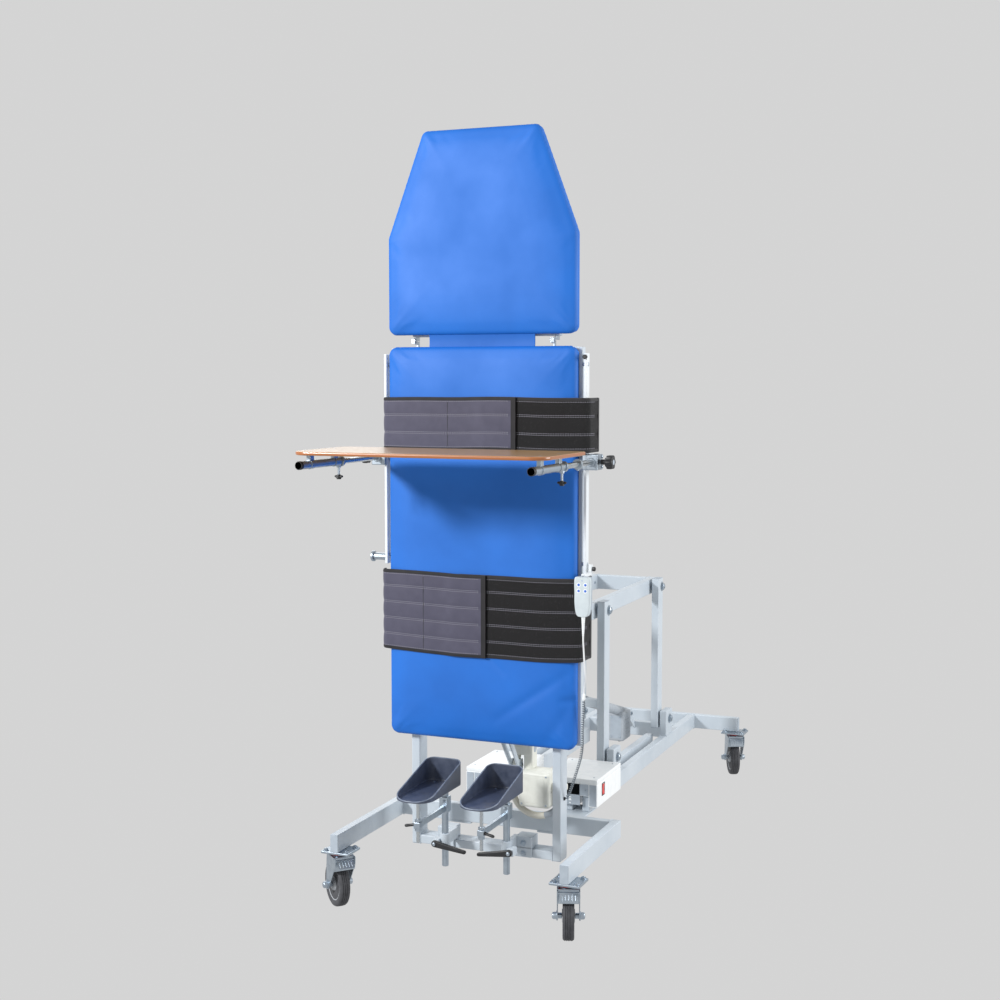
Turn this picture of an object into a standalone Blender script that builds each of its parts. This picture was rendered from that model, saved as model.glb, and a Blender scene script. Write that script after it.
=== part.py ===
"""Powered tilt table with a height lift, standing upright as a patient would stand on it.

Run with: blender --background --python part.py
Units are metres. +Z is up, +X is the right side as seen from the front, and +Y runs
to the rear. The floor is at Z = 0. Inside this file Y = 0 is just behind the front edge of
the cushions, and the whole model is moved at the end so that its footprint is centred.
"""

import math

import bmesh
import bpy
from mathutils import Matrix, Vector

# Clearances
GAP = 0.0003            # between two faces that touch
RUN = 0.0003            # radial clearance of a pin in its hole
EYE_CLEAR = 0.0005      # each side of an actuator eye between its lugs
OVER = 0.010            # how far a cutter runs past what it cuts

# Rectangular tube
TUBE_H = 0.060          # long side
TUBE_W = 0.030          # short side
TUBE_WALL = 0.002

# Base frame
CASTOR_HEIGHT = 0.196   # floor to the underside of the base tubes
BASE_HALF_WIDTH = 0.408
LEG_FRONT_Y = -0.282
LEG_REAR_Y = 0.225
FRONT_BEAM_Y = 0.190    # front face of the front cross beam
REAR_BEAM_Y = 1.830     # front face of the rear cross beam
SECOND_BAR_Y = 1.610    # front face of the bar that anchors the lift actuator
OUTER_RAIL_X = 0.187    # inner face of the outer long rails
INNER_RAIL_X = 0.122    # inner face of the inner long rails
INNER_RAIL_END = 1.430
RAIL_START_Y = 0.460    # the long rails start behind the shoe plates
SHOE_T = 0.006          # shoe plates that tie the rails to the front beam
SHOE_LAP = 0.080        # shoe plate under the rails

# Boxes on the base
BOX_FRONT_Y = 0.440
BOX_LENGTH = 0.265
BOX_HALF_SPAN = 0.250   # outer side of each box
BOX_INNER_X = 0.050
BOX_HEIGHT = 0.062      # above the rails
BOX_SKIRT = 0.037       # how far the outer side hangs below the rail tops
BOX_WALL = 0.003
BOX_EDGE = 0.002
SWITCH_LENGTH = 0.022   # along the box
SWITCH_HEIGHT = 0.036
SWITCH_DEPTH = 0.008
SWITCH_PROUD = 0.002
SWITCH_Y = 0.505
SWITCH_Z = 0.272
SWITCH_ROCK = 0.0012    # room above and below for the rocking switch

# Parallelogram lift
PIVOT_FRONT_Y = 0.765
PIVOT_SPACING = 0.680
PIVOT_Z = 0.322
LINK_LENGTH = 0.544
LINK_X = 0.150          # inner face of the link tubes
LINK_BACKSET = 0.015    # the middle of a link tube stands this far in front of its pivots
LINK_END = 0.035        # tube past each pivot
PIN_R = 0.006
PIN_HEAD_R = 0.011
PIN_HEAD_T = 0.007
COLLAR_R = 0.017
STUB_LENGTH = 0.083
STUB_RISE = 0.036       # top of the stub above its pivot
STUB_WALL = 0.004
GUSSET_HEIGHT = 0.150
GUSSET_DEPTH = 0.030
GUSSET_T = 0.006
LINK_BAR_Z = 0.520      # cross bar between the front links

# Upper frame and tilt hinge
SIDE_TUBE_X = 0.110     # inner face of the upper side tubes
UPPER_FRONT_Y = 0.120
UPPER_REAR_Y = 1.505
TILT_Y = 0.150
TILT_BAR_Y = 0.330      # middle of the cross bar that carries the tilt actuator's head
HINGE_BAR_Y = 0.060     # front face of the table's bar that carries the tilt ears
EAR_X = 0.1445          # inner face of the tilt ears
EAR_T = 0.008
EAR_REACH = 0.028       # ear behind the tilt axis
EAR_HALF = 0.028        # half height of the ear
TILT_SHAFT_R = 0.010
TILT_HEAD_R = 0.018
TILT_HEAD_T = 0.005

# Table frame
TABLE_HALF_WIDTH = 0.335
FRAME_Y = 0.030         # front plane of the table's tubes
LEG_TUBE_X = 0.237      # inner face of the long table tubes
TABLE_FOOT_Z = 0.155
TABLE_TOP_Z = 1.815
LOWER_CROSS_Z = 0.545
MIDDLE_CROSS_Z = 1.230

# Cushions
BODY_BOTTOM_Z = 0.526
BODY_TOP_Z = 1.825
CUSHION_T = 0.045
CUSHION_CROWN = 0.010
CROWN_SPAN = 0.160      # distance from the edge over which the crown rises
CROWN_SHARES = (0.25, 0.6, 1.0)     # places across the crown's rise where it bends
CUSHION_CORNER = 0.035
CUSHION_ROUND = 0.014   # rounding of the front edge
CUSHION_DRAW = 0.004    # how far the sides draw in at the back
HEAD_BOTTOM_Z = 1.848
HEAD_TOP_Z = 2.514
HEAD_TAPER_Z = 2.170    # the head cushion narrows above this height
HEAD_TOP_HALF = 0.206
HEAD_TOP_CORNER = 0.030

# Head section hinge
HEAD_HINGE_Y = 0.012
HEAD_TUBE_X = 0.150     # inner face of the head frame's tubes
HEAD_BAR_HALF = 0.255
HEAD_FRAME_TOP = 2.400
HEAD_FRAME_START = 0.0135   # head frame above the hinge axis
HINGE_EAR_X = 0.236     # inner face of the table's hinge ears
HINGE_EAR_T = 0.006
HINGE_EAR_GAP = 0.0005
HINGE_BOSS = 0.0075     # half size of the ear around the pin
HINGE_ARM = 0.0105      # arm thickness off the axis
HINGE_STANDOFF = 0.0185     # upright part of the ear behind the axis
HINGE_PIN_R = 0.003
TABLE_EAR_REACH = 0.030
HEAD_EAR_REACH = 0.045

# Side rails
RAIL_STANDOFF = 0.010   # from the cushion's side to the rail
RAIL_X = TABLE_HALF_WIDTH + RAIL_STANDOFF   # inner face of the accessory rail
RAIL_T = 0.010
RAIL_W = 0.025
RAIL_Y = 0.014
RAIL_BOTTOM_Z = 1.100
RAIL_TOP_Z = 1.795
SPACER_R = 0.006
SPACER_INSET = 0.0015   # spacers stop short of the rail's rear edge
SPACER_HEIGHTS = (1.130, 1.450, 1.760)
STUB_R = 0.012
STUB_OUT = 0.063        # how far the stub reaches past the rail's inner face
STUB_REACH = RAIL_X + STUB_OUT
STUB_FLANGE_R = 0.018
STUB_FLANGE_T = 0.008
STUB_Z = 1.122
HOOK_OUT = 0.019        # hook's middle past the rail's inner face
HOOK_X = RAIL_X + HOOK_OUT
HOOK_W = 0.014
HOOK_T = 0.008
HOOK_DROP = 0.030

# Belts
BELT_T = 0.006
BELT_GROOVE = 0.0022    # depth of the sewn channels
BELT_SEAM = 0.005       # width of a sewn channel
CHEST_BELT_Z = 1.4855
CHEST_BELT_H = 0.170
CHEST_BELT_ROWS = 3
CHEST_BELT_WRAP = 0.011     # left end past the cushion's side
CHEST_BELT_CLEAR = 0.019    # right end past the rail's outer face
CHEST_BELT_LEFT = TABLE_HALF_WIDTH + CHEST_BELT_WRAP
CHEST_BELT_RIGHT = RAIL_X + RAIL_T + CHEST_BELT_CLEAR
CHEST_BELT_BACK = 0.075     # how far back the right end reaches, outside the rail
CHEST_LAP_X = 0.100
HIP_BELT_Z = 0.822
HIP_BELT_H = 0.264
HIP_BELT_ROWS = 5
HIP_BELT_WRAP = 0.017       # both ends past the cushion's sides
HIP_BELT_LEFT = TABLE_HALF_WIDTH + HIP_BELT_WRAP
HIP_BELT_RIGHT = TABLE_HALF_WIDTH + HIP_BELT_WRAP
HIP_BELT_BACK = 0.075       # how far back the right end reaches, beside the frame
HIP_LAP_X = 0.015
BELT_LEFT_BACK = 0.008  # the left ends reach back to here, in front of the rail
BELT_TURN = 0.016       # radius of the belt's turn around the cushion's edge

# Tray
TRAY_ROD_OUT = 0.030    # rod's middle past the rail's inner face
TRAY_ROD_X = RAIL_X + TRAY_ROD_OUT
TRAY_Z = 1.455
TRAY_ROD_R = 0.009
TRAY_ROD_FRONT = -0.410
TRAY_TUBE_R = 0.0125
TRAY_TUBE_FRONT = -0.512
TRAY_TUBE_REAR = -0.245
TRAY_PLUG = 0.012
TRAY_GRIP = 0.0012      # saddles and studs end this far outside the rod
COLLAR_BIG_R = 0.0165
COLLAR_BIG_T = 0.012
STOP_COLLAR_Y = -0.130
TRAY_OVERHANG = 0.040   # board past the rods' middles
TRAY_HALF_WIDTH = TRAY_ROD_X + TRAY_OVERHANG
TRAY_FRONT_Y = -0.500
TRAY_REAR_Y = -0.150
TRAY_BOTTOM_Z = 1.485
TRAY_THICK = 0.012
TRAY_CORNER = 0.055
TRAY_BACK_CORNER = 0.020
SADDLE_PLACES = (-0.440, -0.290)
SADDLE_LENGTH = 0.024
SADDLE_WIDTH = 0.014
WING_Y = -0.262
WING_R = 0.014
WING_T = 0.012
WING_DROP = 0.056       # tray tube's middle to the wing knob's underside
CLAMP_OUT = 0.0205      # clamp's outer side past the rod's middle
CLAMP_OUTER_X = TRAY_ROD_X + CLAMP_OUT
CLAMP_FRONT_Y = -0.001
CLAMP_REAR_Y = 0.054
CLAMP_H = 0.050
CLAMP_LIP_GAP = 0.0005  # lips stop short of the rail's inner face
KNOB_Y = 0.027
KNOB_NECK = 0.0185      # from the clamp to the star knob
KNOB_X = CLAMP_OUTER_X + KNOB_NECK
KNOB_R = 0.024
KNOB_T = 0.026
KNOB_LOBES = 6
KNOB_DIP = 0.004
KNOB_STUD_R = 0.004
KNOB_STUD_IN = 0.025    # stud inside the clamp

# Foot supports
FOOT_X = 0.109
FOOT_POST_Y = -0.046
FOOT_POST_R = 0.011
FOOT_POST_BOTTOM = 0.118
FOOT_PLATE_Z = 0.398
FOOT_TOE_Y = -0.315
FOOT_HEEL_Y = -0.040
FOOT_WIDTH = 0.128
FOOT_FLOOR = 0.004
FOOT_WALL = 0.004
FOOT_HEEL_H = 0.075
FOOT_TOE_R = 0.056
FOOT_HEEL_R = 0.030
FOOT_HINGE_DROP = 0.012     # hinge axis under the plate
FOOT_LUG_X = 0.0125     # lug's inner face from the post's middle
FOOT_LUG_T = 0.004
FOOT_LUG_HALF = 0.008
FOOT_ARM_Z = 0.302
FOOT_ARM_H = 0.020
FOOT_ARM_W = 0.012
FOOT_BLOCK = 0.015      # half size of the square block on the post
FOOT_BLOCK_H = 0.050
FOOT_ROD_Y = -0.250
FOOT_ROD_R = 0.0055
FOOT_ROD_BOTTOM = 0.255
FOOT_CLAMP = 0.011      # half size of the clamp on the arm's end
SLEEVE_R = 0.017
SLEEVE_Z = 0.186
SLEEVE_H = 0.042
BRACKET_X = 0.110       # inner side of the block on the lower bar
BRACKET_W = 0.059
BRACKET_H = 0.040
BRACKET_PLATE = 0.008   # front plate of the bracket
LEVER_X = 0.022         # clamp screw beside the post's middle
LEVER_Z = 0.199
LEVER_LENGTH = 0.105
LEVER_BOSS_R = 0.011
LEVER_TIP_R = 0.006
LEVER_T = 0.013
LEVER_DROOP = 0.016
LEVER_STUD_R = 0.004
EAR_FRONT_Y = -0.074    # front face of the sleeve's clamping ear
EAR_W = 0.024
EAR_H = 0.026

# Actuators
TILT_ACT_X = 0.065
TILT_ACT_FOOT = (0.150, 0.430)      # Y and Z of the fixed end, on the table
TILT_ACT_HEAD = (0.350, 0.770)      # Y and Z of the rod end, on the upper frame
TILT_TUBE_END = 0.330               # tube length from the fixed end
LIFT_ACT_FOOT = (1.560, 0.300)      # on the base
LIFT_ACT_HEAD = (0.825, 0.520)      # on the front links
LIFT_TUBE_END = 0.560
ACT_TUBE_R = 0.020
ACT_ROD_R = 0.010
ACT_EYE_R = 0.016
ACT_EYE_HALF = 0.010
ACT_PIN_R = 0.005
ACT_PIN_HEAD_R = 0.008
ACT_PIN_HEAD_T = 0.004
ACT_TUBE_START = 0.036  # the wide tube starts past the lugs
ACT_NECK_R = 0.0095
ACT_HEAD_R = 0.014      # eye at the rod's end
ACT_ROD_IN = 0.050      # where the rod starts inside the tube
LUG_T = 0.006
LUG_REACH = 0.020       # lug past the pin's middle
MOTOR_X = (0.090, 0.200)
MOTOR_Y = (0.100, 0.190)
MOTOR_Z = (0.300, 0.420)
MOTOR_EDGE = 0.005
GEARBOX_Z = (0.462, 0.505)
GEARBOX_Y = (0.140, 0.196)
GEARBOX_SETBACK = 0.002     # column beside the motor's inner face
GEARBOX_WIDTH = 0.035
LIFT_MOTOR_HALF = 0.035
LIFT_MOTOR_Y = (1.400, 1.500)
LIFT_MOTOR_Z = (0.215, 0.335)
HOSE_R = 0.0115
HOSE_LOOP = 0.088       # radius of the hose's loop
HOSE_DEPTH = 0.084      # depth of the loop below its upright ends
HOSE_STRAIGHT = 0.008   # upright stretch at each end
HOSE_X = 0.145          # middle of the loop
HOSE_Y = 0.135
HOSE_Z = 0.358          # height of the hose's two ends
HOSE_STEPS = 12
GLAND_T = 0.026
GLAND_HALF = 0.016

# Castors
WHEEL_R = 0.075
WHEEL_W = 0.036
HUB_W = 0.040
HUB_R = 0.020
RIM_R = 0.052
RIM_W = 0.026
TYRE_EDGE = 0.006       # chamfer of the tyre's edges
AXLE_R = 0.005
SLEEVE_END_R = 0.009    # spacers between the hub and the fork
TRAIL = 0.030
PAD_T = 0.008           # pad and top plate under the tube
PLATE_X = 0.100
PLATE_Y = 0.085
CASTOR_X = 0.393
CASTOR_FRONT_Y = -0.240
CASTOR_REAR_Y = 1.845
CASTOR_TURNS = (         # name, side, place along Y, swivel at rest in degrees
    ("front_right", 1, CASTOR_FRONT_Y, 20.0),
    ("front_left", -1, CASTOR_FRONT_Y, 49.5),
    ("rear_right", 1, CASTOR_REAR_Y, 24.5),
    ("rear_left", -1, CASTOR_REAR_Y, 10.0),
)
RACE_R = 0.026
RACE_T = 0.008
KINGPIN_R = 0.005
KINGPIN_HEAD_R = 0.009
KINGPIN_HEAD_T = 0.006
FORK_HALF = 0.0355      # half width of the fork
FORK_T = 0.003
FORK_HOUSING_Z = 0.132
FORK_FRONT = -0.030
FORK_REAR = 0.036
FORK_EAR = 0.012        # ears in front of the housing for the brake pedal
AXLE_NUT_R = 0.010
AXLE_NUT_T = 0.012
BRAKE_Y = -0.0355
BRAKE_Z = 0.168
BRAKE_PIN_R = 0.003
BRAKE_HALF = 0.027
BRAKE_REACH = 0.024
BRAKE_DROP = 0.022
BRAKE_T = 0.003

# Handset
HANDSET_OUT = 0.006     # handset's middle past the hook's middle
HANDSET_X = HOOK_X + HANDSET_OUT
HANDSET_Y = -0.040      # back face of the case
HANDSET_Z = 0.977       # bottom of the case
HANDSET_W = 0.054
HANDSET_H = 0.124
HANDSET_T = 0.026
HANDSET_EDGE = 0.007
RELIEF_END = 0.915      # lower end of the strain relief
RELIEF_R = 0.006
BUTTON_R = 0.005
BUTTON_TRAVEL = 0.001
BUTTON_PROUD = 0.0015
BUTTON_DEPTH = 0.002    # button below the case's face
BUTTON_PLACES = (       # number, offset from the middle, height above the case's bottom
    (1, -0.011, 0.100),
    (2, 0.011, 0.100),
    (3, -0.011, 0.081),
    (4, 0.011, 0.081),
)
LEAD_R = 0.0025
LEAD_SPACING = 0.0125
LEAD_ROUTE = (
    (0.3700, -0.0530, 0.9000),
    (0.3715, -0.0520, 0.8700),
    (0.3730, -0.0470, 0.8200),
    (0.3710, -0.0330, 0.7750),
    (0.3600, -0.0100, 0.7400),
    (0.3550, -0.0010, 0.7220),
)
EYE_POINT = (0.3545, 0.0000, 0.7080)    # where the plain lead meets the curls
CURL_ROUTE = (
    (0.3540, 0.0005, 0.6960),
    (0.3510, 0.0060, 0.6600),
    (0.3450, 0.0150, 0.6050),
    (0.3425, 0.0220, 0.5500),
    (0.3340, 0.0300, 0.5050),
    (0.3160, 0.0420, 0.4550),
    (0.2960, 0.0530, 0.4020),
    (0.2830, 0.0590, 0.3720),
    (0.2745, 0.0600, 0.3585),
)
CURL_END = (0.0600, 0.3560)             # Y and Z of the grommet on the leg tube
CURL_R = 0.0035         # radius of the curls' centre line
CURL_WIRE_R = 0.00175
CURL_TURNS = 48
CURL_STEPS = 8

# Colours
WHITE_COAT = (0.80, 0.82, 0.84)
ZINC = (0.62, 0.64, 0.66)
BLACK = (0.02, 0.02, 0.022)
GREY = (0.35, 0.37, 0.40)
BLUE = (0.03, 0.16, 0.62)
CLOTH = (0.05, 0.05, 0.06)
NAVY = (0.06, 0.08, 0.14)
CREAM = (0.78, 0.76, 0.68)
BEECH = (0.74, 0.55, 0.34)
RED = (0.70, 0.03, 0.02)

# Each look is a colour, a roughness and a metallic value
STEEL_COAT = (WHITE_COAT, 0.35, 0.0)
BARE_ZINC = (ZINC, 0.35, 0.9)
BLACK_PLASTIC = (BLACK, 0.5, 0.0)
WHITE_COVER = ((0.90, 0.90, 0.89), 0.4, 0.0)
VINYL = (BLUE, 0.35, 0.0)
BELT_CLOTH = (CLOTH, 0.85, 0.0)

# Values worked out from those above
TUBE_TOP = CASTOR_HEIGHT + TUBE_H
LEG_INNER_X = BASE_HALF_WIDTH - TUBE_W
PIVOT_REAR_Y = PIVOT_FRONT_Y + PIVOT_SPACING
PIVOT_TOP_Z = PIVOT_Z + LINK_LENGTH
TILT_Z = PIVOT_TOP_Z
UPPER_BOTTOM = PIVOT_TOP_Z - TUBE_H / 2
UPPER_TOP = PIVOT_TOP_Z + TUBE_H / 2
LINK_OUTER_X = LINK_X + TUBE_W
CUSHION_BACK_Y = FRAME_Y - GAP
CUSHION_FRONT_Y = CUSHION_BACK_Y - CUSHION_T
CROWN_Y = CUSHION_FRONT_Y - CUSHION_CROWN
HEAD_HINGE_Z = (BODY_TOP_Z + HEAD_BOTTOM_Z) / 2
RACE_BOTTOM = CASTOR_HEIGHT - PAD_T - RACE_T
FORK_TOP = RACE_BOTTOM - GAP
RAIL_OUTER_X = RAIL_X + RAIL_T
FOOT_HINGE_Z = FOOT_PLATE_Z - FOOT_HINGE_DROP
BELT_GAP_Y = CROWN_Y - GAP
PLACES = {}


def clear_scene():
    """Remove every object that the file holds."""
    for item in list(bpy.data.objects):
        bpy.data.objects.remove(item, do_unlink=True)


def make_material(name, look):
    """Return a Principled material from a colour, a roughness and a metallic value."""
    colour, roughness, metallic = look
    mat = bpy.data.materials.new(name)
    mat.use_nodes = True
    shader = mat.node_tree.nodes["Principled BSDF"]
    shader.inputs["Base Color"].default_value = (*colour, 1.0)
    shader.inputs["Roughness"].default_value = roughness
    shader.inputs["Metallic"].default_value = metallic
    mat.diffuse_color = (*colour, 1.0)
    return mat


def make_collection(name):
    """Return a new collection linked to the scene."""
    group = bpy.data.collections.new(name)
    bpy.context.scene.collection.children.link(group)
    return group


def make_empty(name, location, parent=None, turn=0.0):
    """Return an empty, turned about Z, whose own space its pieces are drawn in."""
    empty = bpy.data.objects.new(name, None)
    empty.empty_display_size = 0.03
    empty.location = location
    empty.rotation_euler = (0.0, 0.0, turn)
    empty.parent = parent
    PARTS.objects.link(empty)
    PLACES[empty.name] = Vector((0.0, 0.0, 0.0))
    return empty


def put(name, data, look, carrier, pivot=None):
    """Add a mesh or curve as a named piece with its own material.

    The data is drawn in the space of the empty above it. The piece hangs on its carrier,
    and its origin is at the pivot, or at the carrier's own place where none is given.
    """
    item = bpy.data.objects.new(name, data)
    data.materials.append(make_material(name, look))
    PARTS.objects.link(item)
    item.parent = carrier
    place = PLACES[carrier.name] if pivot is None else Vector(pivot)
    PLACES[item.name] = place
    item.location = place - PLACES[carrier.name]
    data.transform(Matrix.Translation(-place))
    return item


def to_mesh(name, bm):
    """Turn a bmesh into a mesh with its faces out and its round faces smooth."""
    bmesh.ops.recalc_face_normals(bm, faces=bm.faces)
    mesh = bpy.data.meshes.new(name)
    bm.to_mesh(mesh)
    bm.free()
    mesh.shade_smooth()
    mesh.set_sharp_from_angle(angle=math.radians(35))
    return mesh


def add_helpers(item, shapes, operation):
    """Join shapes to a piece, or cut them from it, with one Boolean for them all."""
    if not shapes:
        return
    label = f"{item.name}_{operation.lower()}"
    group = bpy.data.collections.new(label)
    HELPERS.children.link(group)
    place = PLACES[item.name]
    for number, shape in enumerate(shapes):
        helper = bpy.data.objects.new(f"{label}_{number}", to_mesh(label, shape))
        group.objects.link(helper)
        helper.parent = item
        helper.location = -place
        helper.hide_render = True
        helper.display_type = 'WIRE'
    mod = item.modifiers.new(operation.title(), 'BOOLEAN')
    mod.operation = operation
    mod.solver = 'EXACT'
    mod.operand_type = 'COLLECTION'
    mod.collection = group


def fuse(name, solids, look, carrier, pivot=None, cuts=()):
    """Add one piece made of overlapping solids, less some cuts."""
    item = put(name, to_mesh(name, solids[0]), look, carrier, pivot)
    add_helpers(item, solids[1:], 'UNION')
    add_helpers(item, list(cuts), 'DIFFERENCE')
    return item


def block(low, high, bevel=0.0, segments=1):
    """Return a box between two corners, with its edges bevelled if asked."""
    bm = bmesh.new()
    low, high = Vector(low), Vector(high)
    place = Matrix.Translation((low + high) / 2) @ Matrix.Diagonal((*(high - low), 1.0))
    bmesh.ops.create_cube(bm, size=1.0, matrix=place)
    if bevel > 0.0:
        bmesh.ops.bevel(bm, geom=list(bm.edges), offset=bevel, segments=segments,
                        affect='EDGES', profile=0.5, clamp_overlap=True)
    return bm


def side_block(side, inner, outer, low, high, bevel=0.0):
    """Return a box on the left or right side, from its inner to its outer X.

    The low and high corners are Y and Z pairs.
    """
    near, far = sorted((side * inner, side * outer))
    return block((near, *low), (far, *high), bevel)


def bar(start, end, radius, sides=12, radius_end=None):
    """Return a solid round bar, or a cone, between two points."""
    bm = bmesh.new()
    start, end = Vector(start), Vector(end)
    axis = end - start
    turn = axis.to_track_quat('Z', 'Y').to_matrix().to_4x4()
    place = Matrix.Translation((start + end) / 2) @ turn
    top = radius if radius_end is None else radius_end
    bmesh.ops.create_cone(bm, cap_ends=True, segments=sides, radius1=radius, radius2=top,
                          depth=axis.length, matrix=place)
    return bm


def bore_r(radius, sides=8):
    """Return the corner radius of a bore whose flats clear a round pin of this radius."""
    return (radius + RUN) / math.cos(math.pi / sides)


def cross_bar(x_from, x_to, place, radius, sides=12):
    """Return a round bar along X at a Y and Z place."""
    low, high = sorted((x_from, x_to))
    return bar((low, *place), (high, *place), radius, sides)


def turned(start, along, profile, sides, bored=False):
    """Return a turned shape from pairs of distance along its axis and radius.

    It stands on a flat, so each radius is measured across flats. A bored shape's last
    ring joins its first.
    """
    bm = bmesh.new()
    start, along = Vector(start), Vector(along)
    step_angle = math.pi / sides
    turn = along.to_track_quat('Z', 'Y').to_matrix().to_4x4() @ Matrix.Rotation(step_angle, 4, 'Z')
    loops = []
    for distance, radius in profile:
        place = Matrix.Translation(start + along * distance) @ turn
        made = bmesh.ops.create_circle(bm, cap_ends=False, segments=sides,
                                       radius=radius / math.cos(step_angle), matrix=place)
        loops.append(made["verts"])
    follow = loops[1:] + loops[:1] if bored else loops[1:]
    for first, second in zip(loops, follow):
        for i in range(sides):
            j = (i + 1) % sides
            bm.faces.new((first[i], first[j], second[j], second[i]))
    if not bored:
        bm.faces.new(loops[0])
        bm.faces.new(loops[-1])
    return bm


def core(low, high, along, past=(OVER, OVER)):
    """Return the cutter for a tube's inside.

    It runs past each end of the tube, or stops short where a distance is negative.
    """
    low, high = Vector(low), Vector(high)
    for i in range(3):
        if i == along:
            low[i] -= past[0]
            high[i] += past[1]
        else:
            low[i] += TUBE_WALL
            high[i] -= TUBE_WALL
    return block(low, high)


def side_corners(side, inner, outer, low, high):
    """Return a side box's two corners, from its inner and outer X and Y and Z pairs."""
    near, far = sorted((side * inner, side * outer))
    return (near, *low), (far, *high)


def plate(points, normal_axis, level, thickness):
    """Return a plate: a closed outline extruded along one axis from a level.

    Points are pairs in the two other axes, in X, Y, Z order.
    """
    bm = bmesh.new()
    corners = []
    for first, second in points:
        coords = [first, second]
        coords.insert(normal_axis, level)
        corners.append(bm.verts.new(coords))
    face = bm.faces.new(corners)
    made = bmesh.ops.extrude_face_region(bm, geom=[face])
    moved = [item for item in made["geom"] if isinstance(item, bmesh.types.BMVert)]
    step = [0.0, 0.0, 0.0]
    step[normal_axis] = thickness
    bmesh.ops.translate(bm, verts=moved, vec=step)
    return bm


def side_plate(side, inner, thickness, points):
    """Return a plate that faces sideways, from its inner X and its Y and Z outline."""
    return plate(points, 0, side * inner, side * thickness)


def rounded_outline(corners, radii, inset=0.0, steps=4):
    """Return a polygon's points with rounded corners, drawn in by an inset.

    The corners run counter-clockwise. Every inset gives the same number of points.
    """
    count = len(corners)
    lines = []
    for i in range(count):
        start, end = Vector(corners[i]), Vector(corners[(i + 1) % count])
        along = (end - start).normalized()
        inward = Vector((-along.y, along.x))
        lines.append((start + inward * inset, along, inward))
    points = []
    for i in range(count):
        before, after = lines[i - 1], lines[i]
        turn = before[1].cross(after[1])
        reach = (after[0] - before[0]).cross(after[1]) / turn
        corner = before[0] + before[1] * reach
        radius = max(radii[i] - inset, radii[i] * 0.15)
        centre = corner + (before[2] + after[2]) * (radius / (1.0 + before[1].dot(after[1])))
        start_angle = math.atan2(-before[2].y, -before[2].x)
        swing = math.atan2(turn, before[1].dot(after[1]))
        for k in range(steps + 1):
            angle = start_angle + swing * k / steps
            points.append(centre + radius * Vector((math.cos(angle), math.sin(angle))))
    return points


def stack(rings):
    """Return a solid through rings of points that each hold as many, with flat ends."""
    bm = bmesh.new()
    loops = [[bm.verts.new(point) for point in ring] for ring in rings]
    for first, second in zip(loops, loops[1:]):
        for i in range(len(first)):
            j = (i + 1) % len(first)
            bm.faces.new((first[i], first[j], second[j], second[i]))
    bm.faces.new(loops[0])
    bm.faces.new(loops[-1])
    return bm


def smooth_route(points, spacing):
    """Return evenly spaced points on a smooth curve through the given points."""
    knots = [Vector(point) for point in points]
    knots = [2 * knots[0] - knots[1]] + knots + [2 * knots[-1] - knots[-2]]
    fine = []
    for a, b, c, d in zip(knots, knots[1:], knots[2:], knots[3:]):
        for i in range(24):
            t = i / 24
            fine.append(0.5 * (2 * b + (c - a) * t + (2 * a - 5 * b + 4 * c - d) * t ** 2
                               + (3 * b - a - 3 * c + d) * t ** 3))
    fine.append(knots[-2])
    length = sum((q - p).length for p, q in zip(fine, fine[1:]))
    count = max(2, round(length / spacing))
    step = length / count
    result = [fine[0]]
    walked = 0.0
    for p, q in zip(fine, fine[1:]):
        reach = (q - p).length
        while len(result) < count and walked + reach >= step * len(result):
            result.append(p.lerp(q, (step * len(result) - walked) / reach))
        walked += reach
    result.append(fine[-1])
    return result


def wire(name, points, radius, resolution, look, carrier):
    """Add a round wire through points, as a poly spline with filled caps."""
    curve = bpy.data.curves.new(name, 'CURVE')
    curve.dimensions = '3D'
    curve.bevel_depth = radius
    curve.bevel_resolution = resolution
    curve.use_fill_caps = True
    spline = curve.splines.new('POLY')
    spline.points.add(len(points) - 1)
    for point, place in zip(spline.points, points):
        point.co = (*place, 1.0)
    return put(name, curve, look, carrier)


def side_name(side):
    """Return the word for a side."""
    return "right" if side > 0 else "left"


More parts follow.
